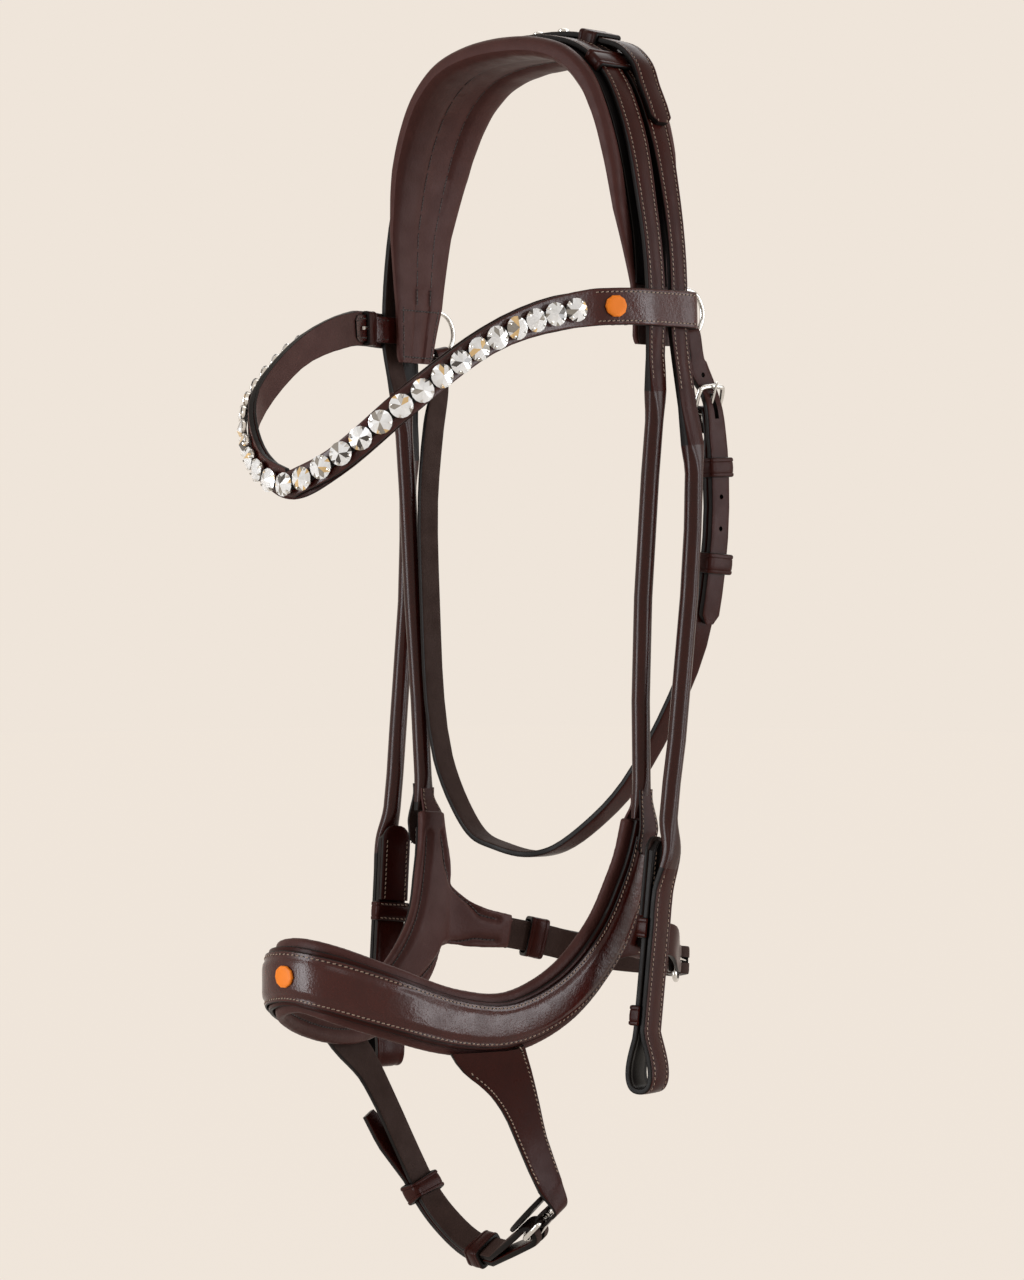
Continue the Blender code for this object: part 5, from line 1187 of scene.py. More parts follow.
def crown_strap_width(share):
    return top_to_side(CROWN_STRAP_WIDTH, CROWN_STRAP_LOW_WIDTH, share)


# Headpiece
def pad_section(front, rear, thick, recess, along, free, count=9):
    """Two soft rolls below with a sewn channel between them, and above a flat seat behind a raised front roll."""
    width = rear - front
    front_crease, rear_crease = front + width * FRONT_CREASE_SHARE, rear - width * REAR_CREASE_SHARE
    pucker = thick * PUCKER_SHARE * math.sin(math.tau * along / PUCKER_LENGTH)
    under = []
    for start, end in ((front, front_crease), (rear_crease, rear)):
        for i in range(count):
            share = i / (count - 1)
            from_edge = share if start == front else 1 - share
            swell = math.sqrt(max(0.0, 1 - (2 * share - 1) ** 2))
            depth = recess * (1 - swell) if recess else thick / 2 * (1 - swell ** FLAP_FLATNESS)
            edge_lift = thick / 2 * max(0.0, 1 - from_edge / UNDER_EDGE_SHARE)
            under.append((start + (end - start) * share, max(depth, edge_lift) - pucker * swell))
        if start == front:
            under.append(((front_crease + rear_crease) / 2, recess * CHANNEL_FLOOR_SHARE))
    roll = max(free, width * LEAST_ROLL_SHARE)
    swell = min(roll * ROLL_SWELL_SHARE, thick * ROLL_SWELL_LIMIT)
    over = [
        (rear - (width - roll) * share, thick * height + (pucker if height == 1 else 0))
        for share, height in PAD_TOP
    ]
    for i in range(1, count + 1):
        angle = math.pi * i / (count + 1)
        over.append((front + roll * (1 + math.cos(angle)) / 2, thick + swell * math.sin(angle)))
    return under + over + [(front, thick * FRONT_EDGE_HEIGHT)]


def pad_edges(share):
    """Front and rear edge of the pad beside the middle of the arch."""
    return across_arch(PAD_FRONT_SHARES, share), across_arch(PAD_REAR_SHARES, share)


def poll_pad():
    """Soft leather over two foam rolls, thinning to a flat flap at each end."""
    mesh = bmesh.new()
    rings, places = [], []
    steps = round(2 / PAD_STEP_SHARE)
    for i in range(steps + 1):
        share = -1 + i * 2 / steps
        front, rear = pad_edges(share)
        middle = (front + rear) / 2
        fade = 1 - FLAP_NARROWING * max(0.0, (abs(share) - FLAP_END_SHARE) / (1 - FLAP_END_SHARE))
        front, rear = (middle + (edge - middle) * fade for edge in (front, rear))
        thick, recess = pad_level(share), top_to_side(CHANNEL_RECESS, 0, share)
        base_width = top_to_side(BASE_WIDTH, BASE_LOW_WIDTH, share)
        free = across_arch(BASE_MIDDLE_SHARES, share) - base_width / 2 - front
        section = pad_section(front, rear, thick, recess, share * ARCH_HALF_LENGTH, free)
        rings.append(ring_of(seat(share), section))
        places.append((seat(share), front, rear, thick, recess))
    cap(mesh, skin(mesh, rings))
    pad = finish("poll_pad", "soft lining leather", mesh)
    sew("poll_pad_seams", "poll_pad", pad_feet(places), "dark thread")


def pad_feet(places):
    """Feet of the pad's stitches: beside the channel, along the edges, and across each flap."""
    feet, since_last = [], 0.0
    poll, pitch = seat(0).centre, sizes().stitch_pitch
    flap_distance = np.linalg.norm(seat(FLAP_START_SHARE).centre - poll)
    for (here, front, rear, thick, recess), (after, *_) in zip(places, places[1:]):
        since_last += np.linalg.norm(after.centre - here.centre)
        while since_last > pitch:
            since_last -= pitch
            width = rear - front
            in_flap = np.linalg.norm(here.centre - poll) > flap_distance
            in_front, in_rear = FLAP_SEAM_SHARES if in_flap else CREASE_SEAM_SHARES
            depth = 0 if in_flap else recess * CREASE_SEAM_DEPTH
            for sideways in (front + width * in_front, rear - width * in_rear):
                point = here.centre + here.across * sideways + here.out * depth
                feet.append((point, here.along, here.across, -here.out))
            point = here.centre + here.across * (rear - width * FLAP_SEAM_SHARES[1]) + here.out * thick
            feet.append((point, here.along, here.across, here.out))
    for share in (-FLAP_END_SHARE, -FLAP_START_SHARE, FLAP_START_SHARE, FLAP_END_SHARE):
        here, edges = seat(share), pad_edges(share)
        for sideways in np.arange(*(edge * reach for edge, reach in zip(edges, FLAP_END_SEAM_SHARES)), pitch):
            feet.append((here.centre + here.across * sideways, here.across, here.along, -here.out))
    return feet


def on_crown(here):
    """Above the browband, where the crown straps are flat."""
    return here.centre[2] > -BROWBAND_DROP - 2.2 * BROWBAND_WIDTH and here.roundness < ROLLED_FROM_SHARE


def crown_base():
    keys = []
    end = BROWBAND_LEVEL_SHARE - (BROWBAND_WIDTH / 2 + BASE_END_ABOVE_BAND) / ARCH_HALF_LENGTH
    for share in arch_steps(-end, end):
        here = seat(share)
        sideways = across_arch(BASE_MIDDLE_SHARES, share)
        level = pad_level(share) + BASE_ABOVE_PAD
        width = top_to_side(BASE_WIDTH, BASE_LOW_WIDTH, share)
        keys.append(key(from_seat(share, sideways, level), here.across, width, BASE_THICKNESS))
    loft("crown_base", "suede lining", stations(keys))


def strap_on_arch(first, last, table, level):
    keys = []
    for share in arch_steps(first, last):
        point = from_seat(share, across_arch(table, share), level(share))
        keys.append(key(point, seat(share).across, crown_strap_width(share)))
    return keys


def mirrored(keys):
    return [row * (-1, 1, 1, -1, 1, 1, 1, 1, 1) for row in keys[::-1]]


def narrowing_keys(shares, flat_count, collar_width, collar_thickness):
    """Strap that goes from flat over a short collar to rolled round a cord."""
    sections = [(CROWN_STRAP_LOW_WIDTH,)] * flat_count
    sections += [(ROLLED_DIAMETER * collar_width, ROLLED_DIAMETER * collar_thickness, SOFT_SHARE)]
    sections += [(ROLLED_DIAMETER, ROLLED_DIAMETER, ROUND_SHARE)] * (len(shares) - flat_count - 1)
    return [key(place(s), BACK, *section) for s, section in zip(shares, sections)]


def hanger_keys():
    end = place(NOSE_SHARES[-1]) + UP * GAP * 4
    return narrowing_keys(HANGER_SHARES, 1, 1.25, 0.8) + [key(end, BACK, SMALL_STRAP_WIDTH)]


def noseband_headstrap():
    """One strap over the poll that carries the noseband, rolled round below the browband."""
    hanger = hanger_keys()
    top = strap_on_arch(-CROWN_END_SHARE, CROWN_END_SHARE, FRONT_STRAP_SHARES, strap_level)
    loft("noseband_headstrap", "bridle leather", stations(mirrored(hanger) + top + hanger), count=FINE_POINTS,
         shape=creased)


def bit_loop(here):
    """Teardrop that a strap makes when it turns back up on itself, with a level floor."""
    level_out = unit(here.out * (1, 1, 0))
    walls = [(a * BIT_LOOP_RADIUS, b * BIT_LOOP_LENGTH) for a, b in BIT_LOOP_WALLS]
    walls += [(-a, b) for a, b in walls[::-1]]
    points = [here.centre + level_out * sideways - UP * drop for sideways, drop in walls]
    top_out, top_in = (here.centre + here.out * DOUBLE_SPACING / 2 * way for way in (1, -1))
    return bent([top_out] + points + [top_in], np.cross(UP, level_out), CHEEK_WIDTH)[1:-1]


def cheek_middle():
    """Middle line between the two layers of the cheek's flat end."""
    across = np.array((-math.sin(CHEEK_TURN), math.cos(CHEEK_TURN), 0))
    return stations([key(place(s), across, CHEEK_WIDTH) for s in CHEEK_END_SHARES])


def cheekpiece(name, side, tail_share, level):
    """Crown half, rolled cheek, flat end and bit loop cut from one strap."""
    crown = strap_on_arch(-tail_share, CROWN_END_SHARE, REAR_STRAP_SHARES, level)
    crown.insert(1, crown[0] + (crown[1] - crown[0]) * 0.35)
    crown[0][6] *= TIP_WIDTH_SHARE
    middle = cheek_middle()
    top, end = middle[0], middle[-1]
    length = run_of(middle)[-1]
    behind_return = ROLLED_DIAMETER * 0.33 + DOUBLE_SPACING / 2
    half_rolled = top._replace(centre=top.centre + top.out * behind_return, width=CHEEK_WIDTH * 0.75,
                               thickness=ROLLED_DIAMETER * 0.6, roundness=SOFT_SHARE)
    outer = moved([at_distance(middle, length * share) for share in (0.22, 0.4)] + [end], DOUBLE_SPACING / 2)
    cheek = narrowing_keys(CHEEK_SHARES, 2, 1.3, 0.85)
    upper_keys = crown + cheek + [row_of(s) for s in [half_rolled] + outer]
    inner = turned_back(middle, -DOUBLE_SPACING / 2)
    shoulder = inner[-1]
    tip = shoulder._replace(
        centre=shoulder.centre + shoulder.along * CHEEK_WIDTH * 0.3, width=CHEEK_WIDTH * 0.4,
    )
    sections = stations(upper_keys) + stations([row_of(s) for s in bit_loop(end)]) + inner + [tip]
    strap = loft(name, "black backed leather", sections, count=FINE_POINTS, side=side, shape=creased)
    hook_at = at_distance(middle, distance_to(middle, place(CHEEK_HOOK_SHARES)))
    hole = drill(hook_at.centre, -hook_at.out, STUD_SHANK_RADIUS + GAP, 0, 2 * STRAP_THICKNESS, side)
    boolean(strap, join_meshes("holes", [hole] + [stud_hole(i) for i in (-1, 1)]))


def drill(centre, axis, radius, low, high, side=1):
    """Cutter for a round hole between two heights along its axis."""
    return turned("drill", centre, axis, ((radius, low), (radius, high)), SMALL_ROUND_SIDES, side)


def stud_foot(i):
    """Frame below a poll stud: -1 is the right one, 1 the left one."""
    share = STUD_MIDDLE_SHARE + i * STUD_PITCH / 2 / ARCH_HALF_LENGTH
    here = seat(share)
    return here._replace(centre=here.centre + here.across * across_arch(REAR_STRAP_SHARES, share))


def stud_hole(i):
    foot = stud_foot(i)
    low, high = STRAP_TOP_LEVEL - STRAP_THICKNESS, UPPER_STRAP_LEVEL + STRAP_THICKNESS
    return drill(foot.centre, foot.out, STUD_SHANK_RADIUS + GAP, low, high)


def poll_studs():
    low = STRAP_TOP_LEVEL - STRAP_THICKNESS / 2
    head = UPPER_STRAP_LEVEL + STRAP_THICKNESS / 2 + GAP
    profile = (
        (STUD_SHANK_RADIUS, low), (STUD_SHANK_RADIUS, head), (STUD_RADIUS, head),
        (STUD_RADIUS, head + STUD_HEIGHT * 0.4), (STUD_RADIUS * 0.7, head + STUD_HEIGHT * 0.85),
        (STUD_RADIUS * 0.25, head + STUD_HEIGHT),
    )
    for name, i in (("poll_stud_right", -1), ("poll_stud_left", 1)):
        foot = stud_foot(i)
        turned(name, foot.centre, foot.out, profile)


def crown_straps():
    """The right half runs on top over the poll and ends in a tail on the left side."""
    def upper(share):
        """Counted on the strap's own side, so the tail lies at negative shares."""
        if abs(share + CROWN_KEEPER_SHARE) < 1.1 * ARCH_STEP_SHARE:
            return TAIL_OVER_KEEPER_LEVEL
        if share < UNDER_TIP_SHARE + ARCH_STEP_SHARE * 1.5:
            return UPPER_STRAP_LEVEL
        return strap_level(share)

    cheekpiece("cheekpiece_left", 1, UNDER_TIP_SHARE, strap_level)
    cheekpiece("cheekpiece_right", -1, TAIL_TIP_SHARE, upper)


def crown_keepers():
    """Two keepers over both crown straps, and one over the tail."""
    grid = [seat(share) for share in PAD_SHARES]
    front_edge = across_arch(FRONT_STRAP_SHARES, CROWN_KEEPER_SHARE) - CROWN_STRAP_WIDTH / 2
    rear_edge = across_arch(REAR_STRAP_SHARES, CROWN_KEEPER_SHARE) + CROWN_STRAP_WIDTH / 2
    foot = BASE_TOP_LEVEL + BASE_THICKNESS / 2 + GAP
    over_both = (rear_edge - front_edge) / 2, CROWN_KEEPER_HEIGHT, (rear_edge + front_edge) / 2
    over_tail = (
        CROWN_STRAP_WIDTH / 2, UPPER_STRAP_LEVEL + STRAP_THICKNESS / 2 + KEEPER_PLAY,
        across_arch(REAR_STRAP_SHARES, TAIL_KEEPER_SHARE),
    )
    for name, share, (half, height, middle) in (
        ("crown_keeper_left", CROWN_KEEPER_SHARE, over_both),
        ("crown_keeper_right", -FAR_CROWN_KEEPER_SHARE, over_both),
        ("tail_keeper", TAIL_KEEPER_SHARE, over_tail),
    ):
        part = round_about(grid, seat(share).centre, KEEPER_LENGTH)
        bridge(name, part, half + KEEPER_PLAY, height, foot, middle)


def ring_centre():
    """The ring's front wire lies on the flap, and its rear half stands free."""
    return from_seat(BROWBAND_LEVEL_SHARE, RING_BEHIND - RING_RADIUS, RING_LEVEL) + BACK * RING_RADIUS


def throat_rings():
    keys = []
    for i in range(RING_STEPS):
        angle = math.tau * i / RING_STEPS
        spoke = BACK * math.cos(angle) + UP * math.sin(angle)
        keys.append(key(ring_centre() + spoke * RING_RADIUS, spoke, RING_WIRE, RING_WIRE, ROUND_SHARE))
    for name, side in SIDES:
        loft("throat_ring_" + name, "polished steel", stations(keys, closed=True), closed=True, side=side)


def ring_tabs():
    """Leather folded round the front of each ring and laid under the crown straps."""
    here = seat(BROWBAND_LEVEL_SHARE)
    wire = ring_centre() - BACK * RING_RADIUS
    reach = RING_WIRE / 2 + GAP + TAB_THICKNESS / 2
    inner_level = FLAP_THICKNESS + GAP + TAB_THICKNESS / 2
    outer_level = inner_level + TAB_THICKNESS + GAP
    turn = RING_BEHIND - RING_RADIUS - reach - RING_WIRE
    hollow = RING_RADIUS - math.sqrt(RING_RADIUS ** 2 - TAB_WIDTH ** 2 / 4)
    angles = [math.pi * i / TIP_STEPS for i in range(TIP_STEPS + 1)]
    half_turn = [
        wire + here.across * (hollow + reach * math.sin(a)) - here.out * reach * math.cos(a) for a in angles
    ]
    places = (
        [from_seat(BROWBAND_LEVEL_SHARE, sideways, inner_level) for sideways in (turn - TAB_LENGTH, turn)]
        + [wire - here.out * reach] + half_turn + [wire + here.out * reach]
        + [from_seat(BROWBAND_LEVEL_SHARE, sideways, outer_level) for sideways in (turn, turn - TAB_LENGTH)]
    )
    sections = stations([row_of(s) for s in bent(places, -here.along, TAB_WIDTH, TAB_THICKNESS)])
    for name, side in SIDES:
        loft("ring_tab_" + name, "bridle leather", sections, side=side)


def band_front_keys():
    """Half of the band from its middle, wider past the last stone."""
    half = []
    for i, shares in enumerate(BROW_SHARES):
        blend = max(0.0, min(1.0, (i - STONES_END_KEY + 1) / 2))
        width = BROWBAND_FRONT_WIDTH + (BROWBAND_WIDTH - BROWBAND_FRONT_WIDTH) * blend
        half.append(key(place(shares), UP, width, BROWBAND_THICKNESS))
    return half


def band_end_keys():
    """Loop round the crown straps behind the eye, and the layer that comes forward again inside them."""
    down = seat(BROWBAND_LEVEL_SHARE).along

    def here(sideways, outward, width, thickness):
        point = from_seat(BROWBAND_LEVEL_SHARE, sideways, outward)
        return key(point, -down, width, thickness)

    rear_edge = across_arch(REAR_STRAP_SHARES, BROWBAND_LEVEL_SHARE) + CROWN_STRAP_LOW_WIDTH / 2
    front_edge = across_arch(FRONT_STRAP_SHARES, BROWBAND_LEVEL_SHARE) - CROWN_STRAP_LOW_WIDTH / 2
    radius = (BAND_OUTER_LEVEL - BAND_INNER_LEVEL) / 2
    middle = (BAND_OUTER_LEVEL + BAND_INNER_LEVEL) / 2
    turn = rear_edge + STRAP_THICKNESS * 0.35
    mean_thickness = (BROWBAND_THICKNESS + BROWBAND_INNER_THICKNESS) / 2
    inner_width = BROWBAND_WIDTH * INNER_BAND_SHARE
    low_level = FLAP_THICKNESS + 3 * GAP + 2 * TAB_THICKNESS + BROWBAND_INNER_THICKNESS / 2
    return [
        here(front_edge, BAND_OUTER_LEVEL - GAP, BROWBAND_WIDTH, BROWBAND_THICKNESS),
        here(front_edge / 2, BAND_OUTER_LEVEL, BROWBAND_WIDTH, BROWBAND_THICKNESS),
        here(turn, BAND_OUTER_LEVEL, BROWBAND_WIDTH, BROWBAND_THICKNESS),
        here(turn + radius * 0.7, middle + radius * 0.7, BROWBAND_WIDTH, mean_thickness),
        here(turn + radius, middle, BROWBAND_WIDTH, mean_thickness),
        here(turn + radius * 0.7, middle - radius * 0.7, BROWBAND_WIDTH, mean_thickness),
        here(turn, BAND_INNER_LEVEL, BROWBAND_WIDTH * 0.9, BROWBAND_INNER_THICKNESS),
        here(turn * 0.7, BAND_INNER_LEVEL, BROWBAND_WIDTH * 0.86, BROWBAND_INNER_THICKNESS),
        here(0, BAND_INNER_LEVEL, inner_width, BROWBAND_INNER_THICKNESS),
        here(-rear_edge, low_level + GAP, inner_width, BROWBAND_INNER_THICKNESS),
        here(front_edge * 0.8, low_level + GAP, inner_width, BROWBAND_INNER_THICKNESS),
    ]


def band_route():
    half = band_front_keys()
    return mirrored(half[1:]) + half


def browband():
    front, end = band_front_keys(), band_end_keys()
    outer = stations(front + end)
    inward = BROWBAND_THICKNESS / 2 + GAP + BROWBAND_INNER_THICKNESS / 2
    last = distance_to(outer, front[-1][:3])
    tab = turned_back(stretch(outer, last - BROWBAND_TAB_LENGTH, last + KEEPER_LENGTH * 0.1), -inward)
    inner_width = BROWBAND_WIDTH * INNER_BAND_SHARE
    tab = [s._replace(width=inner_width, thickness=BROWBAND_INNER_THICKNESS) for s in tab]
    last = tab[-1]
    tip = last._replace(centre=last.centre + last.along * BROWBAND_WIDTH * 0.15, width=BROWBAND_WIDTH * 0.5)
    left = outer + tab + [tip]
    right = [
        Station(s.centre * (-1, 1, 1), s.along * (1, -1, -1), s.across * (-1, 1, 1), s.out * (-1, 1, 1), *s[4:])
        for s in left[:0:-1]
    ]
    loft("browband_strap", "polished leather", right + left)


def point_on(route, distance):
    """Frame at a distance along stations from the middle one, counted to the left."""
    return at_distance(route, distance + distance_to(route, route[len(route) // 2].centre * (0, 1, 1)))


def headpiece_seams():
    """Two rows of light stitches along every flat crown strap and cheek end."""
    stitch("noseband_headstrap", "stitches", STRAP_ROWS, kept=on_crown, shape=creased)
    for name in ("cheekpiece_left", "cheekpiece_right"):
        stitch(name, "stitches", STRAP_ROWS, shape=creased,
               kept=lambda s: on_crown(s) and s.out[2] > -SIDEWAYS_LEAST)
        for label, face in (("outside", 1), ("inside", -1)):
            def on_end(s):
                flat = s.width > CHEEK_WIDTH * 0.9 and s.centre[2] < CHEEK_STITCH_TOP
                return flat and s.out[0] * face > SIDEWAYS_LEAST and (face > 0 or s.centre[2] > CHEEK_LOOP_TOP)

            stitch(name, "end_stitches_" + label, STRAP_ROWS, kept=on_end, facing=face, shape=creased)


# Browband
def browband_lining():
    """Thin dark lining behind the stones whose edges show above and below the band."""
    route = stations(band_route())
    reach = (CRYSTAL_COUNT + 1) / 2 * CRYSTAL_PITCH
    part = []
    for i in range(LINING_STEPS + 1):
        distance = (2 * i / LINING_STEPS - 1) * reach
        shown = soft_step((reach - abs(distance)) / (2 * CRYSTAL_PITCH))
        s = point_on(route, distance)
        width = s.width + 2 * LINING_EDGE * (2 * shown - 1)
        part.append(s._replace(width=width, thickness=BROWBAND_INNER_THICKNESS))
    loft("browband_lining", "backed leather", part, shift=-BROWBAND_THICKNESS * LINING_LEVEL_SHARE,
         node="browband_strap")


def stone(mesh, row, base, number):
    """Pointed stone in a cup that it covers, held by claws."""
    def at(radius, angle, height):
        spoke = row.across * math.cos(angle) + row.along * math.sin(angle)
        return row.centre + row.out * (base + height * CUP_HEIGHT) + spoke * radius * CRYSTAL_RADIUS

    cup = [(radius * CRYSTAL_RADIUS, height * CUP_HEIGHT) for radius, height in CUP_PROFILE]
    turn_on(mesh, row.centre + row.out * base, row.out, cup, SMALL_ROUND_SIDES, sideways=row.across)
    cut(mesh, at, number)
    for i in range(CLAW_COUNT):
        angle = math.tau * (i + 0.5) / CLAW_COUNT
        corners = ((0, -1), (0, 1), (-CLAW_DEPTH, 1), (-CLAW_DEPTH, -1))
        cap(mesh, skin(mesh, [
            [at(radius + deep, angle + wide * half, height) for deep, wide in corners]
            for radius, height, half in CLAW_RINGS
        ]))


def cut(mesh, at, number):
    """Facets of a stone cut like a sun, foiled behind, each with its own tint of painted reflection."""
    top, step = 1 + CROWN_HEIGHT / CUP_HEIGHT, math.tau / STONE_RAYS
    knee_height = top - (top - GIRDLE_RISE) / GIRDLE_SHARE * KNEE_SHARE * math.cos(step / 2)

    def ring(count, radius, first, height):
        turns = [number * STONE_TURN + step * (first + STONE_RAYS / count * i) for i in range(count)]
        return [mesh.verts.new(at(radius, turn, height)) for turn in turns]

    knees = ring(STONE_RAYS, KNEE_SHARE, 0.5, knee_height)
    girdle = ring(2 * STONE_RAYS, GIRDLE_SHARE, 0, GIRDLE_RISE)
    foot = ring(2 * STONE_RAYS, STONE_FOOT[0], 0, STONE_FOOT[1])
    heart = mesh.verts.new(at(0, 0, top))
    facets = []
    for i, knee in enumerate(knees):
        first, second, third = (girdle[(2 * i + k) % len(girdle)] for k in range(3))
        facets += [(heart, knees[i - 1], first, knee), (knee, first, second), (knee, second, third)]
    for i in range(len(girdle)):
        j = (i + 1) % len(girdle)
        facets.append((girdle[i], foot[i], foot[j], girdle[j]))
    # Each facet takes one painted reflection tint, from a white highlight to dark
    for i, corners in enumerate(facets + [foot]):
        tint = FACET_ORDER[(i * 5 + number * 7 + i * i * number) % len(FACET_ORDER)]
        mesh.faces.new(corners).material_index = FIRST_FACET_PART + tint


def crystal_row():
    """Cut stones in silver cups on a thin strip, following the dip of the browband."""
    route = stations(band_route(), bend=BAND_BEND_STEP)
    strip_level = BROWBAND_THICKNESS / 2 + 2 * GAP + CUP_STRIP_THICKNESS / 2
    reach = (CRYSTAL_COUNT - 1) / 2 * CRYSTAL_PITCH
    mesh = bmesh.new()
    ends = [point_on(route, way * (reach + CRYSTAL_RADIUS * 0.6)) for way in (-1, 1)]
    strip = [
        s._replace(centre=s.centre + s.out * strip_level, width=CRYSTAL_RADIUS, thickness=CUP_STRIP_THICKNESS)
        for s in stretch(route, *(distance_to(route, s.centre) for s in ends))
    ]
    rings = [ring_of(s, outline(s.width, s.thickness, s.roundness)) for s in strip]
    cap(mesh, skin(mesh, rings, part_at=lambda row, i: EDGE_PART), EDGE_PART)
    for number in range(CRYSTAL_COUNT):
        row = point_on(route, -reach + number * CRYSTAL_PITCH)
        stone(mesh, row, strip_level - CUP_STRIP_THICKNESS / 4, number)
    piece = finish("crystal_row", "crystal in silver cups", mesh)
    # One material for each painted reflection tint of the facets
    for i, code in enumerate(FACET_REFLECTION_TINTS):
        piece.data.materials.append(painted_reflection_facet("foiled_glass_%d" % (i + 1), linear(code)))
    for polygon in piece.data.polygons:
        if polygon.material_index >= FIRST_FACET_PART:
            polygon.use_smooth = False


def disc(name, route, place_along, level):
    """Blank leather disc with ten corners that lies on the band as the band bends."""
    mesh = bmesh.new()
    side_turn = math.tau / DISC_CORNERS
    rings = []
    for size_share, height_share in DISC_PROFILE:
        ring = []
        for i in range(DISC_CORNERS * DISC_STEPS):
            angle = i * side_turn / DISC_STEPS
            to_side = math.cos(side_turn / 2) / math.cos(angle % side_turn - side_turn / 2)
            radius = DISC_RADIUS * size_share * to_side
            there = point_on(route, place_along + radius * math.cos(angle))
            height = level + height_share * DISC_THICKNESS
            ring.append(there.centre + there.across * radius * math.sin(angle) + there.out * height)
        rings.append(ring)
    cap(mesh, skin(mesh, rings))
    finish(name, "orange leather", mesh)


def browband_seams():
    """Stitches along the plain ends of the band and round the tabs inside it."""
    last_stone = point_on(stations(band_route()), CRYSTAL_COUNT / 2 * CRYSTAL_PITCH + CRYSTAL_RADIUS).centre

    def beside_stones(here):
        """Past the stones and on the outer layer."""
        past = abs(here.centre[0]) > last_stone[0] and here.centre[1] > last_stone[1]
        return past and here.thickness > BROWBAND_THICKNESS * 0.9 and abs(here.out[0]) > SIDEWAYS_LEAST

    def on_tab(here):
        """Inner layer in front of the crown straps."""
        thin = here.thickness < BROWBAND_INNER_THICKNESS * 1.02
        return thin and abs(here.out[0]) > SIDEWAYS_LEAST and here.centre[1] < -BROWBAND_WIDTH

    stitch("browband_strap", "stitches", BAND_ROWS, kept=beside_stones)
    stitch("browband_strap", "tab_stitches", TAB_ROWS, kept=on_tab, finish_name="dark thread")


# Buckles and throatlash
def browband_trim():
    """Disc past the stones, and a keeper and hook bar inside each end."""
    beyond_crystals = CRYSTAL_COUNT / 2 * CRYSTAL_PITCH + CRYSTAL_RADIUS + 2 * DISC_RADIUS
    disc("browband_disc", stations(band_route(), bend=BAND_BEND_STEP), beyond_crystals,
         BROWBAND_THICKNESS / 2 + GAP / 2)
    inner_face = BROWBAND_THICKNESS / 2 + GAP + BROWBAND_INNER_THICKNESS + GAP
    front = band_front_keys()
    outer = stations(front + band_end_keys())
    last = distance_to(outer, front[-1][:3])
    keeper_part = inward(stretch(outer, last - KEEPER_LENGTH, last))
    hook_at = at_distance(outer, last - KEEPER_LENGTH - BAR_HOOK_LENGTH * 0.85)
    hook = hook_at.centre - hook_at.out * (inner_face + BAR_HOOK_WIDTH / 2)
    bar = [
        key(hook + hook_at.along * BAR_HOOK_LENGTH * end / 2, hook_at.across, BAR_HOOK_WIDTH, BAR_HOOK_WIDTH,
            SOFT_SHARE) for end in (-1, 1)
    ]
    for name, side in SIDES:
        bridge("browband_keeper_" + name, keeper_part, BROWBAND_WIDTH * INNER_BAND_SHARE / 2 + KEEPER_PLAY,
               inner_face, BROWBAND_THICKNESS / 2 + GAP, side=side)
        loft("browband_hook_" + name, "polished steel", stations(bar), side=side)


Site = namedtuple("Site", "bar toward out side_way")


def buckle_site(strap_centre, aim, out):
    """Heel bar of a buckle at the end of a strap: where it lies and how it is turned."""
    toward = unit(aim - strap_centre)
    out = square_to(out, toward)
    depth = WIRE / 2 + GAP + FOLD_THICKNESS - STRAP_THICKNESS / 2
    return Site(strap_centre - out * depth, toward, out, np.cross(out, toward))


def on_site(site, toward, out=0.0, sideways=0.0):
    return site.bar + site.toward * toward + site.out * out + site.side_way * sideways


def fold_keys(site, width, wire, lap, facing, apex=0.0):
    """Strap end skived thin, turned round a bar or ring and laid back on the strap."""
    reach = wire / 2 + GAP + FOLD_THICKNESS / 2
    lap_level = wire / 2 + GAP + FOLD_THICKNESS - STRAP_THICKNESS - GAP - FOLD_THICKNESS / 2
    aslant = math.sqrt(0.5)
    rows = (
        (-lap * 1.02, reach), (-lap * 0.5, reach), (0, reach), (apex + reach * aslant, reach * aslant),
        (apex + reach, 0), (apex + reach * aslant, -reach * aslant), (0, -reach), (-lap * 0.4, -reach),
        (-lap * 0.8, lap_level - GAP),
    )
    across = site.side_way * math.copysign(1, float(np.dot(site.side_way, facing)))
    return [key(on_site(site, forward, out), across, width, FOLD_THICKNESS) for forward, out in rows]


def slot_cutter(site, start, end, low, high):
    """Straight-sided cutter for a prong's slot, in a buckle's own directions."""
    mesh = bmesh.new()
    half_width = PRONG_WIRE / 2 + SLOT_SIDE
    a, b = site.toward * (end - start) / 2, site.out * (high - low) / 2
    rings = []
    for way in (-1, 1):
        centre = on_site(site, (start + end) / 2, (low + high) / 2, half_width * way)
        rings.append([centre - a - b, centre + a - b, centre + a + b, centre - a + b])
    cap(mesh, skin(mesh, rings))
    return finish("slot", "polished steel", mesh)


def prong_slot(site, lap):
    reach = WIRE / 2 + GAP + FOLD_THICKNESS
    return slot_cutter(site, -lap * 0.45, reach + WIRE, -reach - WIRE, reach + WIRE)


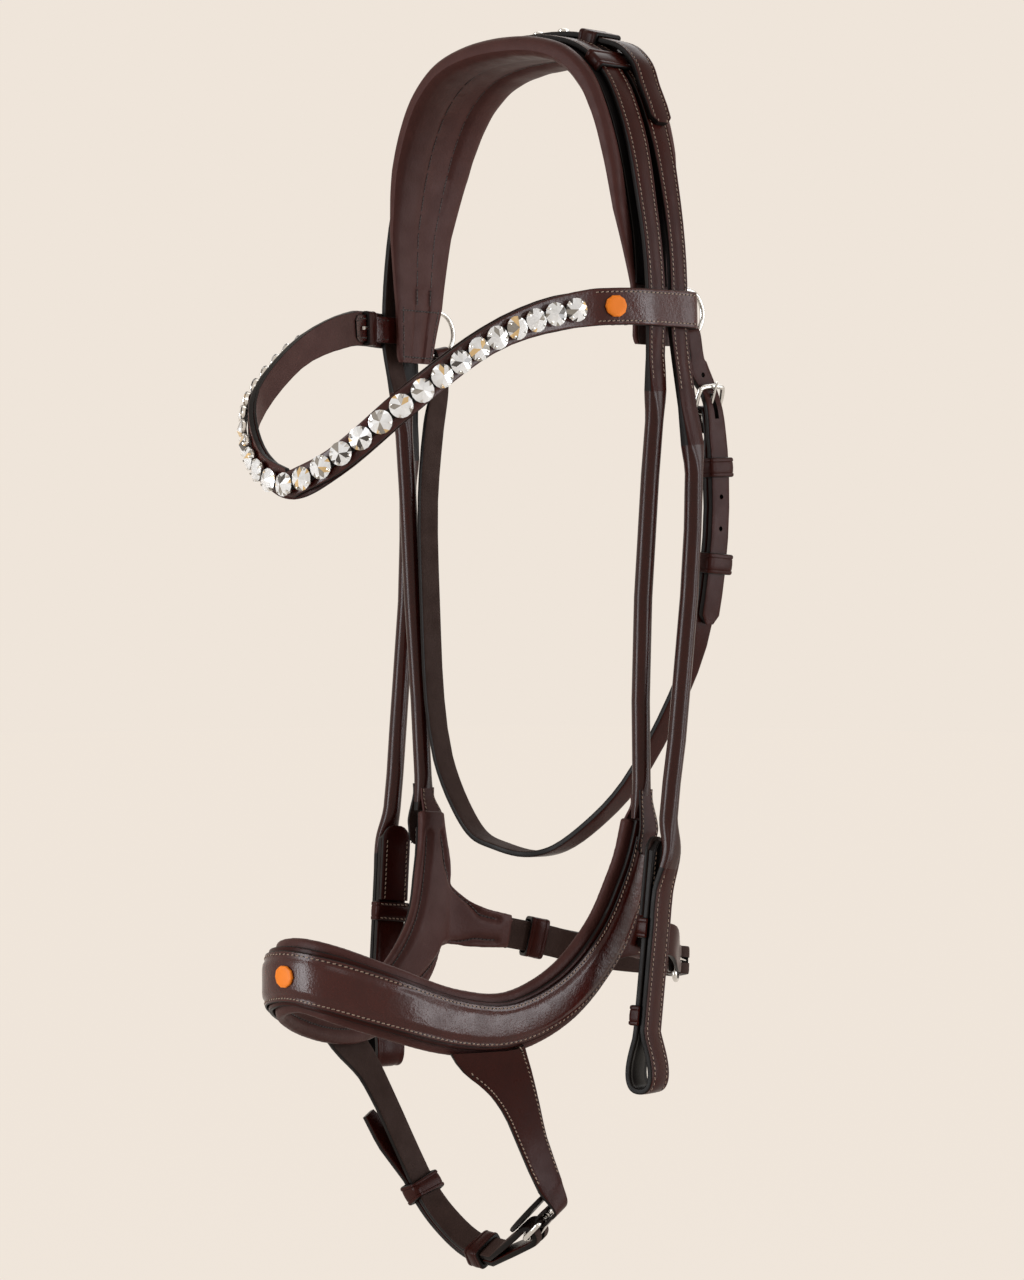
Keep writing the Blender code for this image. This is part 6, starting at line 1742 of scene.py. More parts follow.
def buckle_frame(name, site, strap_width, length, rise):
    """Wire loop with round corners; the outer bar stands higher than the heel bar by the rise."""
    half = strap_width / 2 + BUCKLE_SIDE + WIRE / 2
    corner = WIRE
    lift = unit(site.toward * length + site.out * rise)
    run = math.hypot(length, rise)
    upright = np.cross(lift, site.side_way)
    outline_points = (
        (0, -half * 0.5), (0, half * 0.5), (corner * 0.3, half - corner * 0.35), (corner, half),
        (run / 2, half + WIRE * 0.2), (run - corner, half), (run - corner * 0.3, half - corner * 0.35),
        (run, half * 0.5), (run, -half * 0.5), (run - corner * 0.3, -half + corner * 0.35),
        (run - corner, -half), (run / 2, -half - WIRE * 0.2), (corner, -half),
        (corner * 0.3, -half + corner * 0.35),
    )
    keys = [
        key(site.bar + lift * forward + site.side_way * sideways, upright, WIRE, WIRE, ROUND_SHARE)
        for forward, sideways in outline_points
    ]
    loft(name, "polished steel", stations(keys, closed=True, bend=2 * BEND_STEP), closed=True)


def prong(name, site, bar_at, bar_clearance):
    """Wire bent round the heel bar and laid over the outer bar."""
    radius = WIRE / 2 + GAP / 2 + PRONG_WIRE / 2
    keys = []
    for degrees in PRONG_TURNS:
        angle = math.radians(degrees)
        point = on_site(site, radius * math.cos(angle), radius * math.sin(angle))
        keys.append(key(point, site.side_way, PRONG_WIRE, PRONG_WIRE, ROUND_SHARE))
    for share in (0.3, 0.65, 1 + PRONG_WIRE / bar_at):
        point = on_site(site, bar_at * share, radius + (bar_clearance - radius) * share)
        thin = PRONG_WIRE * (1 - PRONG_TAPER * share)
        keys.append(key(point, site.side_way, thin, thin, ROUND_SHARE))
    loft(name, "polished steel", stations(keys, bend=2 * BEND_STEP), count=PRONG_POINTS)


def roller(name, site, strap_width):
    """Loose tube on the outer bar that the strap runs over."""
    middle, half = on_site(site, BUCKLE_LENGTH), strap_width * 0.41
    ends = [
        Station(middle + site.side_way * a * half, site.side_way, site.toward, site.out, 0, 0, 0)
        for a in (-1, 1)
    ]
    inner = WIRE + 2 * GAP
    sleeve(name, "polished steel", ends, inner, inner, ROLLER_WALL, ROLLER_POINTS, ROUND_SHARE)


def roller_buckle(name, site, strap_width):
    """Wire buckle with its prong and roller."""
    buckle_frame(name + "_buckle", site, strap_width, BUCKLE_LENGTH, 0)
    prong(name + "_prong", site, BUCKLE_LENGTH, WIRE / 2 + GAP + ROLLER_WALL + GAP + PRONG_WIRE / 2)
    roller(name + "_roller", site, strap_width)


def double_keeper(name, part, strap_width, play):
    """Closed keeper round both layers of a strap."""
    inner_thickness = 2 * STRAP_THICKNESS + GAP + 2 * play
    sleeve(name, "bridle leather", part, strap_width + 2 * play, inner_thickness, KEEPER_WALL)


def holes_along(sections):
    """Cutters for punched holes, one at each section."""
    return [drill(s.centre, s.out, HOLE_RADIUS, -STRAP_THICKNESS, STRAP_THICKNESS) for s in sections]


def turn_back_keys(site, width, facing):
    """Strap that comes in under the roller, turns round it and leaves above it."""
    reach = WIRE / 2 + GAP + ROLLER_WALL + 1.5 * GAP + STRAP_THICKNESS / 2
    across = site.side_way * math.copysign(1, float(np.dot(site.side_way, facing)))
    upper = ((-0.92, 0.38), (-0.71, 0.71), (-0.38, 0.92), (0, 1), (0.35, 0.94))
    rows = [(forward, -out) for forward, out in upper[::-1]] + [(-1, 0)] + list(upper)
    return [
        key(on_site(site, BUCKLE_LENGTH + reach * forward, reach * out), across, width * 0.9)
        for forward, out in rows
    ]


def doubled_strap(name, middle, tail_at, site, tip, width, squared=0, level_across=BACK):
    """Strap that runs to a roller buckle, turns round the roller and lies back on itself."""
    half = DOUBLE_SPACING / 2
    inner = moved(middle, -half)
    outer = turned_back(stretch(middle, tail_at, run_of(middle)[-1]), half)
    turn_rows = turn_back_keys(site, width, inner[-1].across)
    turn = stations([row_of(inner[-1])] + turn_rows + [row_of(outer[0])])[1:-1]
    last = outer[-1]
    shoulder = last._replace(centre=(last.centre * 0.45 + tip * 0.55))
    point = last._replace(centre=tip, width=width * 0.5)
    sections = level_start(inner, squared, level_across) + turn + outer
    sections += stations([row_of(s) for s in (last, shoulder, point)])[1:]
    strap = loft(name, "bridle leather", sections)
    reach = WIRE / 2 + 2 * GAP + ROLLER_WALL + STRAP_THICKNESS
    slot_start, slot_end = BUCKLE_LENGTH - reach - WIRE, BUCKLE_LENGTH + WIRE * 1.9
    slot = slot_cutter(site, slot_start, slot_end, -WIRE * 0.4, reach + WIRE)
    boolean(strap, join_meshes("cutters", [slot] + holes_along([at_distance(outer, HOLE_PITCH * 1.5)])))


def level_start(sections, count, level_across):
    """Turn the first stations step by step until the very first one is cut off level."""
    result = list(sections)
    for i in range(count):
        share = 1 - i / count
        s = result[i]
        along = unit(s.along * (1 - share) - UP * share)
        across = unit(s.across * (1 - share) + level_across * share)
        across = square_to(across, along)
        result[i] = s._replace(along=along, across=across, out=np.cross(along, across))
    return result


def throat_site():
    centre = place(THROAT_BUCKLE_SHARES)
    return buckle_site(centre, 2 * centre - place(THROAT_SHARES[0]), LEFT)


def ring_site(side):
    """Where a strap loops round the lower edge of a throat ring."""
    angle = math.radians(RING_SITE_TURN)
    spoke = BACK * math.cos(angle) + UP * math.sin(angle)
    wire = (ring_centre() + spoke * RING_RADIUS) * (side, 1, 1)
    out = LEFT * side
    return Site(wire, -spoke, out, np.cross(out, -spoke))


def ring_fold(side, lap):
    width = SMALL_STRAP_WIDTH * 0.75
    apex = RING_RADIUS - math.sqrt(RING_RADIUS ** 2 - (width / 2) ** 2)
    return fold_keys(ring_site(side), width, RING_WIRE, lap, BACK, apex)


def throat_route():
    """Long strap from its fold in the buckle down under the jaw and up to its fold in the right ring."""
    near = fold_keys(throat_site(), SMALL_STRAP_WIDTH * 0.86, WIRE, SMALL_STRAP_WIDTH, BACK)[::-1]
    far = ring_fold(-1, SMALL_STRAP_WIDTH)
    return stations(near + [key(place(s), BACK, SMALL_STRAP_WIDTH) for s in THROAT_SHARES] + far)


def throatlash():
    strap = loft("throatlash_strap", "bridle leather", throat_route())
    boolean(strap, prong_slot(throat_site(), SMALL_STRAP_WIDTH))


def throat_levels():
    """Height of the point strap above the heel bar, and of the outer bar above it."""
    over_heel = WIRE / 2 + GAP + FOLD_THICKNESS + GAP + STRAP_THICKNESS / 2
    under_outer = over_heel * 0.5
    outer_bar = under_outer + STRAP_THICKNESS / 2 + GAP + WIRE / 2
    return over_heel, under_outer, outer_bar


def point_strap():
    """Strap with punched holes from the left ring through the buckle to its rounded tip."""
    site, route = throat_site(), throat_route()
    over_heel, under_outer, _ = throat_levels()
    lap = SMALL_STRAP_WIDTH * 0.8
    ring = ring_fold(1, lap)[::-1]
    main_level = RING_WIRE / 2 + GAP + FOLD_THICKNESS - STRAP_THICKNESS / 2
    leave = key(on_site(ring_site(1), -lap * 1.45, main_level), BACK, SMALL_STRAP_WIDTH)
    first = distance_to(route, place(THROAT_SHARES[0]))
    last = distance_to(route, place(POINT_TIP_SHARES))
    along = moved(stretch(route, first, last), DOUBLE_SPACING)
    through = [
        key(on_site(site, THROAT_BUCKLE_LENGTH * 0.9, under_outer), BACK, SMALL_STRAP_WIDTH * 0.9),
        key(on_site(site, 0, over_heel), BACK, SMALL_STRAP_WIDTH * 0.9),
        key(on_site(site, -SMALL_STRAP_WIDTH, over_heel), BACK, SMALL_STRAP_WIDTH),
    ]
    upper = stations(ring + [leave] + through + [row_of(along[0])])
    tip = along[-1]._replace(width=SMALL_STRAP_WIDTH * TIP_WIDTH_SHARE)
    sections = upper[:-1] + stretch(along, 0, run_of(along)[-1] - SMALL_STRAP_WIDTH * 0.35) + [tip]
    strap = loft("throatlash_point_strap", "bridle leather", sections)
    slot = slot_cutter(site, -WIRE * 1.6, THROAT_BUCKLE_LENGTH * 0.72, under_outer - STRAP_THICKNESS,
                       over_heel + STRAP_THICKNESS)
    middle = distance_to(route, place(THROAT_KEEPER_SHARES[0])) - first
    spots = [middle + KEEPER_LENGTH * 0.5 + HOLE_PITCH * i for i in (0.6, 1.6)]
    picked = [at_distance(along, spot) for spot in spots]
    above = stations([leave, through[0]])
    picked.append(at_distance(above, run_of(above)[-1] * 0.4))
    boolean(strap, join_meshes("cutters", [slot] + holes_along(picked)))


def throat_buckle():
    site, route = throat_site(), throat_route()
    outer_bar = throat_levels()[2]
    buckle_frame("throatlash_buckle", site, SMALL_STRAP_WIDTH, THROAT_BUCKLE_LENGTH, outer_bar)
    prong("throatlash_prong", site, THROAT_BUCKLE_LENGTH, outer_bar + WIRE / 2 + GAP + PRONG_WIRE / 2)
    for name, play, shares in zip(("upper", "lower"), (KEEPER_PLAY, SLIDE_PLAY), THROAT_KEEPER_SHARES):
        part = moved(round_about(route, place(shares), KEEPER_LENGTH), DOUBLE_SPACING / 2)
        double_keeper("throatlash_keeper_" + name, part, SMALL_STRAP_WIDTH, play)


def cheek_fittings():
    """Hook stud and two keepers on each cheek's flat end."""
    middle = cheek_middle()
    half_inside = (2 * STRAP_THICKNESS + GAP + 2 * KEEPER_PLAY) / 2
    hook_at = at_distance(middle, distance_to(middle, place(CHEEK_HOOK_SHARES)))
    head = STRAP_THICKNESS + GAP
    profile = (
        (STUD_SHANK_RADIUS, GAP), (STUD_SHANK_RADIUS, head + GAP), (STUD_RADIUS, head + GAP),
        (STUD_RADIUS, head + STUD_HEIGHT * 0.5), (STUD_RADIUS * 0.5, head + STUD_HEIGHT),
    )
    for name, side in SIDES:
        turned("cheek_hook_" + name, hook_at.centre, -hook_at.out, profile, side=side)
        for place_name, shares in (("upper", CHEEK_UPPER_KEEPER_SHARES), ("lower", CHEEK_LOWER_KEEPER_SHARES)):
            part = inward(round_about(middle, place(shares), KEEPER_LENGTH))
            keeper = "cheek_keeper_" + place_name + "_" + name
            bridge(keeper, part, CHEEK_WIDTH / 2 + KEEPER_PLAY, half_inside, side=side)
            keeper_stitches(keeper, part, CHEEK_WIDTH / 2, half_inside + KEEPER_WALL * RIM_FULLNESS, side)


def noseband_route():
    """Middle line of the noseband leather from the top of the right yoke round the nose to the left."""
    half = [
        key(place(shares), unit(UP - BACK * lean), NOSEBAND_WIDTH * width_share, NOSEBAND_THICKNESS)
        for shares, width_share, lean in zip(NOSE_SHARES, NOSE_WIDTH_SHARES, NOSE_LEANS)
    ]
    return stations(mirrored_up(half[1:]) + half, bend=FINE_BEND_STEP)


def mirrored_up(keys):
    """Mirror of a route whose width points up, run the other way."""
    return [row * (-1, 1, 1, 1, 1, 1, 1, 1, 1) for row in keys[::-1]]


def arm_keys(level):
    """Arm of the yoke that reaches back along the jaw, at a level outwards from the leather's middle."""
    route = noseband_route()
    root = at_distance(route, run_of(route)[-1] - ARM_ROOT_DISTANCE)
    places = [root.centre, root.centre - root.across * NOSEBAND_WIDTH * 0.5] + [place(s) for s in ARM_SHARES]
    ups = root.along, unit(root.along * 0.6 + UP * 0.4), UP, UP
    keys = [key(point, up, NOSEBAND_WIDTH * share) for point, up, share in zip(places, ups, ARM_WIDTH_SHARES)]
    return [row_of(s) for s in moved(key_frames(keys), level)]


def strap_on_arm(level):
    """The jaw strap where it lies on the arm."""
    return [key(row[:3], row[3:6], JAW_STRAP_WIDTH) for row in arm_keys(level)[1:]]


def key_frames(keys):
    """The frame at each key of a route."""
    curve = Smooth(keys)
    return [curve.station(span, 0) for span in range(curve.spans)] + [curve.station(curve.spans - 1, 1)]


# Noseband
def raised_outline(width, thickness, roundness, count):
    """Section of the facing: a sewn-down border on each side of a raised middle."""
    points = []
    for sideways, outward in outline(2, 2, roundness, count):
        if outward > 0:
            outward -= BORDER_DROP * soft_step((abs(sideways) - BORDER_START) / BORDER_BLEND)
            outward += CREST_RISE * max(0.0, 1 - (sideways / CREST_SHARE) ** 2)
        points.append((sideways * width / 2, outward * thickness / 2))
    return points


def soften(piece):
    """Even out the join of padded strips as leather drawn over foam does."""
    change = piece.modifiers.new("even", "REMESH")
    change.mode = "VOXEL"
    change.voxel_size = SOFT_VOXEL
    change.use_smooth_shade = True
    relax = piece.modifiers.new("relax", "SMOOTH")
    relax.factor = 0.5
    relax.iterations = SOFT_REPEATS
    applied(piece)


def drawn_in(route):
    """The noseband's route, narrowed at the top of each yoke towards the hanger's width."""
    run = run_of(route)
    full = [soft_step(min(d, run[-1] - d) / YOKE_TAPER) for d in run]
    return [s._replace(width=s.width * (YOKE_TOP_SHARE + (1 - YOKE_TOP_SHARE) * f)) for s, f in zip(route, full)]


def yoke_arm(name, side, thickness, level, end_width, roundness, extra_reach=0.0):
    """Arm of the yoke: wide where it leaves the band, drawn in to the jaw strap's width, thin at its end."""
    guide = stations(arm_keys(level))
    total = run_of(guide)[-1]
    sections = []
    for i in range(ARM_STEPS + 1):
        distance = total * i / ARM_STEPS
        beyond = max(0.0, distance - NOSEBAND_WIDTH * ARM_ROOT_SHARE)
        thin = 0.5 + 0.5 * soft_step((total - distance) / ARM_END_TAPER)
        there = at_distance(guide, distance + extra_reach * i / ARM_STEPS)
        sections.append(there._replace(
            width=end_width + ARM_FLARE * math.exp(-beyond / ARM_FLARE_LENGTH), thickness=thickness * thin,
            roundness=roundness,
        ))
    return loft(name, "soft lining leather", sections, side=side)


def yoke_seams(route, arm, level):
    """Seams inside the left yoke: along its front edge, and from its rear edge into both edges of the arm."""
    total, arm_total = run_of(route)[-1], run_of(arm)[-1]

    def on(sections, start, end, share):
        return [
            s.centre + s.across * share * s.width / 2 + s.out * level
            for s in (at_distance(sections, d) for d in np.linspace(start, end, SEAM_POINTS))
        ]

    root, spread = total - ARM_ROOT_DISTANCE, ARM_FLARE * 0.9
    beyond, arm_end = NOSEBAND_WIDTH / 2 + ARM_FLARE_LENGTH, arm_total - ARM_END_TAPER
    top = total - YOKE_TAPER * 0.3
    front = on(route, total / 2, top, YOKE_SEAM_SHARE)
    upper = on(route, top, root + spread, -YOKE_SEAM_SHARE) + on(arm, beyond, arm_end, YOKE_SEAM_SHARE)
    lower = on(route, total / 2, root - spread, -YOKE_SEAM_SHARE) + on(arm, beyond, arm_end, -YOKE_SEAM_SHARE)
    return [np.array(line) for line in (front, upper, lower)]


def evened(line):
    """A seam's points at even steps along a softened line."""
    for _ in range(SEAM_SOFTENINGS):
        line[1:-1] = line[1:-1] / 2 + (line[:-2] + line[2:]) / 4
    run = run_along(line)
    places = np.arange(0, run[-1], sizes().stitch_pitch / 4)
    return np.stack([np.interp(places, run, line[:, k]) for k in range(3)], axis=1)


def press_seams(pad, lines):
    """Draw the pad's leather in along seams that lie on it, and sew them."""
    surface = BVHTree.FromPolygons([v.co for v in pad.data.vertices], [p.vertices for p in pad.data.polygons])
    feet, sewn = [], []
    for line in lines:
        on_pad = [surface.find_nearest(Vector(point))[:2] for point in evened(line)]
        sewn += [point for point, _ in on_pad]
        for i in range(2, len(on_pad) - 2, 4):
            point, out = (np.array(v) for v in on_pad[i])
            along = unit(np.array(on_pad[i + 2][0]) - np.array(on_pad[i - 2][0]))
            feet.append((point - out * PAD_SEAM_DEPTH * 0.85, along, unit(np.cross(out, along)), out))
    near = KDTree(len(sewn))
    for i, point in enumerate(sewn):
        near.insert(point, i)
    near.balance()
    drops = []
    for vertex in pad.data.vertices:
        away = near.find(vertex.co)[2] / PAD_SEAM_REACH
        drops.append(vertex.normal * PAD_SEAM_DEPTH * math.exp(-away * away))
    for vertex, drop in zip(pad.data.vertices, drops):
        vertex.co -= drop
    sew("noseband_pad_seams", "noseband_pad", feet, "dark thread")


def both_arms(label, *shape):
    """Both arms of the yokes as one tool to join to the band."""
    arms = [yoke_arm(label + "_arm_" + name, side, *shape) for name, side in SIDES]
    return join_meshes(label + "_arms", arms)


def noseband():
    """Shaped leather with both arms of the yokes, raised polished facing, soft pad and disc."""
    route = drawn_in(noseband_route())
    band = loft("noseband_leather", "bridle leather", route)
    arms = both_arms("leather", NOSEBAND_THICKNESS * 0.9, 0, JAW_STRAP_WIDTH * 0.96, STRAP_SHARE)
    boolean(band, arms, "UNION")
    for name, _ in SIDES:
        stitch("noseband_leather", "arm_stitches_" + name, EDGE_ROWS, spans=((0.4, 1),), on="leather_arm_" + name)
    facing_level = NOSEBAND_THICKNESS / 2 + GAP + FACING_THICKNESS / 2
    facing = [s._replace(width=s.width * FACING_WIDTH_SHARE, thickness=FACING_THICKNESS) for s in route[1:-1]]
    loft("noseband_facing", "noseband leather", facing, FINE_POINTS, shift=facing_level, shape=raised_outline)
    stitch("noseband_facing", "stitches", FACING_ROWS, shape=raised_outline)
    noseband_pad(route)
    disc("noseband_disc", route, 0, facing_level + FACING_THICKNESS * 0.56)


def noseband_pad(route):
    """Soft pad behind the band and its arms, drawn in along its seams."""
    level, half = -(NOSEBAND_THICKNESS / 2 + GAP + NOSE_PAD_THICKNESS / 2), NOSE_PAD_THICKNESS / 2
    lining = [
        s._replace(width=s.width + 2 * PAD_OVERHANG, thickness=NOSE_PAD_THICKNESS, roundness=SOFT_SHARE)
        for s in route
    ]
    pad = loft("noseband_pad", "soft lining leather", lining, shift=level)
    arms = both_arms("pad", NOSE_PAD_THICKNESS * 0.86, level, JAW_STRAP_WIDTH * 1.06, SOFT_SHARE, PAD_ARM_REACH)
    boolean(pad, arms, "UNION")
    soften(pad)
    seams = yoke_seams(moved(lining, level - half), ROUTES["pad_arm_left"][0], -half)
    press_seams(pad, seams + [line * (-1, 1, 1) for line in seams])


def hanger_tabs():
    """Sewn end of each hanger over the top of the noseband outside, and the pad's soft leather inside."""
    route, hanger = noseband_route(), stations(hanger_keys())
    total, length = run_of(route)[-1], run_of(hanger)[-1]
    for label, kind in HANGER_TABS.items():
        clear = kind.way * (HANGER_TAB_THICKNESS / 2 + GAP)
        rows = []
        for back in kind.on_hanger:
            s = at_distance(hanger, length - back)
            point = s.centre + s.out * math.copysign(1, s.out[0]) * (kind.above * kind.way + clear)
            rows.append(key(point, BACK, SMALL_STRAP_WIDTH * HANGER_TAB_TOP_SHARE, HANGER_TAB_THICKNESS))
        for back in kind.on_band:
            s = at_distance(route, total - back)
            point = s.centre + s.out * (kind.below * kind.way + clear)
            rows.append(key(point, BACK, SMALL_STRAP_WIDTH, HANGER_TAB_THICKNESS))
        rows[-1][6] *= TIP_WIDTH_SHARE
        tab = stations(rows)
        facing = 1 if tab[0].out[0] * kind.way > 0 else -1
        for name, side in SIDES:
            piece = "hanger_tab_%s_%s" % (label, name)
            loft(piece, kind.finish, tab, side=side, node="noseband_headstrap")
            stitch("noseband_headstrap", piece + "_stitches", HANGER_TAB_ROWS, facing=facing, on=piece)


def jaw_site():
    return buckle_site(place(JAW_BUCKLE_SHARES), place(JAW_BUCKLE_AIM_SHARES), LEFT + BACK * 0.6)


def jaw():
    """Billet and roller buckle on the left, long strap from the right that doubles back."""
    site = jaw_site()
    out_level = NOSEBAND_THICKNESS / 2 + 3 * GAP + STRAP_THICKNESS / 2
    fold = fold_keys(site, JAW_STRAP_WIDTH * 0.86, WIRE, SMALL_STRAP_WIDTH * 0.85, UP)
    strap = loft("jaw_billet", "bridle leather", stations(strap_on_arm(out_level) + fold))
    boolean(strap, prong_slot(site, SMALL_STRAP_WIDTH))
    right_arm = [row * (-1, 1, 1, 1, -1, -1, 1, 1, 1) for row in strap_on_arm(out_level + DOUBLE_SPACING / 2)]
    middle = stations(right_arm + [key(place(s), -UP, JAW_STRAP_WIDTH) for s in JAW_SHARES[:-1]])
    tail_at = distance_to(middle, place(JAW_KEEPER_SHARES)) - KEEPER_LENGTH
    tip = at_distance(middle, tail_at - JAW_STRAP_WIDTH * 0.5)
    tip_point = tip.centre + tip.out * DOUBLE_SPACING * 0.7
    doubled_strap("jaw_strap", middle, tail_at, site, tip_point, JAW_STRAP_WIDTH)
    roller_buckle("jaw", site, JAW_STRAP_WIDTH)
    part = round_about(middle, place(JAW_KEEPER_SHARES), KEEPER_LENGTH)
    double_keeper("jaw_keeper", part, JAW_STRAP_WIDTH, SLIDE_PLAY)


def chin_site():
    centre, aim = place(CHIN_BUCKLE_SHARES), place(CHIN_BUCKLE_AIM_SHARES)
    return buckle_site(centre, aim, np.cross(unit(BACK * -0.85 - UP * 0.5), unit(aim - centre)))


def chin():
    """Stitched left branch with a roller buckle, and a plain right branch that doubles back."""
    site = chin_site()
    along_nose = unit(LEFT * 0.233 + BACK)
    branch = [
        key(place(s), along_nose, CHIN_STRAP_WIDTH * share, thickness)
        for s, (share, thickness) in zip(BRANCH_SHARES, BRANCH_SECTIONS)
    ]
    fold = fold_keys(site, CHIN_STRAP_WIDTH * 0.86, WIRE, SMALL_STRAP_WIDTH * 0.8, BACK)
    sections = level_start(stations(branch + fold), len(branch), along_nose)
    strap = loft("chin_branch", "bridle leather", sections)
    boolean(strap, prong_slot(site, SMALL_STRAP_WIDTH))
    middle = stations([
        key(place(s), unit(-BACK + LEFT * 0.1 * (share > 1) - UP * lean), CHIN_STRAP_WIDTH * share)
        for s, (share, lean) in zip(CHIN_SHARES, CHIN_SECTIONS)
    ])
    slide = round_about(middle, place(CHIN_SLIDE_SHARES), KEEPER_LENGTH)
    fixed = round_about(middle, place(CHIN_FIXED_SHARES), KEEPER_LENGTH)
    tail_at = distance_to(middle, place(CHIN_SLIDE_SHARES)) - KEEPER_LENGTH * 0.7
    doubled_strap("chin_strap", middle, tail_at, site, place(CHIN_TIP_SHARES), CHIN_STRAP_WIDTH, 4,
                  along_nose * (1, -1, 1))
    roller_buckle("chin", site, CHIN_STRAP_WIDTH)
    double_keeper("chin_keeper_slide", slide, CHIN_STRAP_WIDTH, SLIDE_PLAY)
    double_keeper("chin_keeper_fixed", fixed, CHIN_STRAP_WIDTH, KEEPER_PLAY)
    oval_guard(site)


def keeper_stitches(node, sections, half_width, level, side):
    """A row of stitches across the top of a keeper near each of its rims."""
    total, pitch = run_of(sections)[-1], sizes().stitch_pitch
    feet = []
    for share in KEEPER_SEAM_SHARES:
        s = at_distance(sections, total * share)
        out = s.out * math.copysign(1, np.dot(s.out, sections[0].out))
        for sideways in np.arange(-half_width, half_width, pitch):
            point = s.centre + s.across * (sideways + pitch / 2) + out * level
            feet.append([v * (side, 1, 1) for v in (point, s.across, s.along, out)])
    sew(node + "_stitches", node, feet)


def stud_covers():
    """Rounded sewn end of each cheek's return layer, drawn over its hook stud."""
    middle = cheek_middle()
    back = turned_back(middle, -(DOUBLE_SPACING / 2 + STRAP_THICKNESS / 2 + COVER_THICKNESS / 2))
    total = run_of(back)[-1]
    start = total - distance_to(middle, place(CHEEK_UPPER_KEEPER_SHARES)) + KEEPER_LENGTH * 0.6
    part = [
        at_distance(back, start + (total - start) * i / TIP_STEPS)._replace(thickness=COVER_THICKNESS)
        for i in range(TIP_STEPS + 1)
    ]
    for beyond, share in COVER_TIP:
        there = at_distance(back, total + beyond * CHEEK_WIDTH)
        part.append(there._replace(width=CHEEK_WIDTH * share, thickness=COVER_THICKNESS * (0.5 + share / 2)))
    for name, side in SIDES:
        piece = "cheek_tip_" + name
        loft(piece, "bridle leather", part, side=side, node="cheekpiece_" + name)
        stitch("cheekpiece_" + name, "tip_stitches", TAB_ROWS, on=piece, spans=((0, 0.85),))


def chin_seams():
    """Stitches along both edges of the branch."""
    stitch("chin_branch", "stitches", EDGE_ROWS, spans=((0.06, 0.66),))


def oval_guard(site):
    """Oval of black leather behind the chin buckle, its edge rounded."""
    mesh = bmesh.new()
    level = WIRE / 2 + FOLD_THICKNESS + STRAP_THICKNESS + GAP + GUARD_THICKNESS / 2
    turns = [math.tau * i / GUARD_SIDES for i in range(GUARD_SIDES)]
    rings = []
    for height_share, size_share in GUARD_PROFILE:
        middle = on_site(site, BUCKLE_LENGTH * 0.35, -(level + height_share * GUARD_THICKNESS))
        rings.append([
            middle + site.toward * math.cos(turn) * GUARD_LENGTH / 2 * size_share
            + site.side_way * math.sin(turn) * GUARD_WIDTH / 2 * size_share for turn in turns
        ])
    cap(mesh, skin(mesh, rings))
    finish("chin_guard", "dark leather", mesh)


# Stage
def seen_directly(tree):
    """1 for what the camera sees, also in a mirror or through glass, and 0 for what lights the scene."""
    path = add_node(tree, "ShaderNodeLightPath").outputs
    seen = path["Is Camera Ray"]
    for ray in ("Is Glossy Ray", "Is Transmission Ray"):
        seen = add_node(tree, "ShaderNodeMath", {0: seen, 1: path[ray]}, operation="MAXIMUM").outputs[0]
    return seen


def floor_material():
    """Matt painted floor: its own colour to the camera, and real shade under the object."""
    made, tree, shader = new_material("matt_paint", colours().ground, Roughness=0.9)
    seen = seen_directly(tree)
    share = add_node(tree, "ShaderNodeMath", {0: seen, 1: FLOOR_OWN_LIGHT}, operation="MULTIPLY")
    strength = (1 - (1 - FLOOR_OWN_LIGHT) * WORLD_LIGHT) / FLOOR_OWN_LIGHT
    glow = add_node(tree, "ShaderNodeEmission", {"Color": (*colours().ground, 1), "Strength": strength})
    mixed = add_node(tree, "ShaderNodeMixShader", {0: share.outputs[0], 1: shader.outputs[0], 2: glow.outputs[0]})
    tree.links.new(mixed.outputs[0], tree.nodes["Material Output"].inputs["Surface"])
    return made


def make_floor():
    data = bpy.data.meshes.new("floor")
    corners = (-1, -1), (1, -1), (1, 1), (-1, 1)
    places = [(a * FLOOR_REACH, b * FLOOR_REACH, -sizes().floor_drop) for a, b in corners]
    data.from_pydata(places, [], [(0, 1, 2, 3)])
    data.materials.append(floor_material())
    floor = new_object("floor", data)


def make_world():
    """The ground's colour to the camera, and a weak even light on the bridle."""
    world = bpy.data.worlds.new("studio")
    world.use_nodes = True
    tree = world.node_tree
    strength = add_node(tree, "ShaderNodeMapRange", {
        "Value": seen_directly(tree), "To Min": WORLD_LIGHT, "To Max": 1.0,
    })
    background = tree.nodes["Background"]
    background.inputs["Color"].default_value = (*colours().ground, 1)
    tree.links.new(strength.outputs["Result"], background.inputs["Strength"])
    bpy.context.scene.world = world


def make_lights():
    for i, (where, width, height, power) in enumerate(SOFT_BOXES):
        lamp = bpy.data.lights.new("soft_box_%d" % (i + 1), "AREA")
        lamp.shape = "RECTANGLE"
        lamp.size, lamp.size_y = width, height
        lamp.energy, lamp.color = power, SOFT_BOX_TINT
        box = new_object(lamp.name, lamp)
        box.location = where
        aim = Vector(MIDDLE) - Vector(where)
        box.rotation_euler = aim.to_track_quat("-Z", "Y").to_euler()


def make_camera():
    """Level camera in front of the pony's left cheek."""
    lens = bpy.data.cameras.new("camera")
    lens.lens, lens.sensor_width = CAMERA_LENS, CAMERA_SENSOR
    lens.shift_y = HORIZON_BELOW_MIDDLE
    lens.clip_start = 0.01
    camera = new_object("camera", lens)
    aslant = math.sqrt(0.5)
    back, right = Vector((aslant, -aslant, 0)), Vector((aslant, aslant, 0))
    camera.location = back * CAMERA_DISTANCE + right * CAMERA_ASIDE + Vector((0, 0, MIDDLE[2]))
    camera.rotation_euler = (math.radians(90), 0, math.radians(45))
    bpy.context.scene.camera = camera


def stage():
    make_floor()
    make_world()
    make_lights()
    make_camera()
    bpy.context.scene.view_settings.view_transform = "Standard"


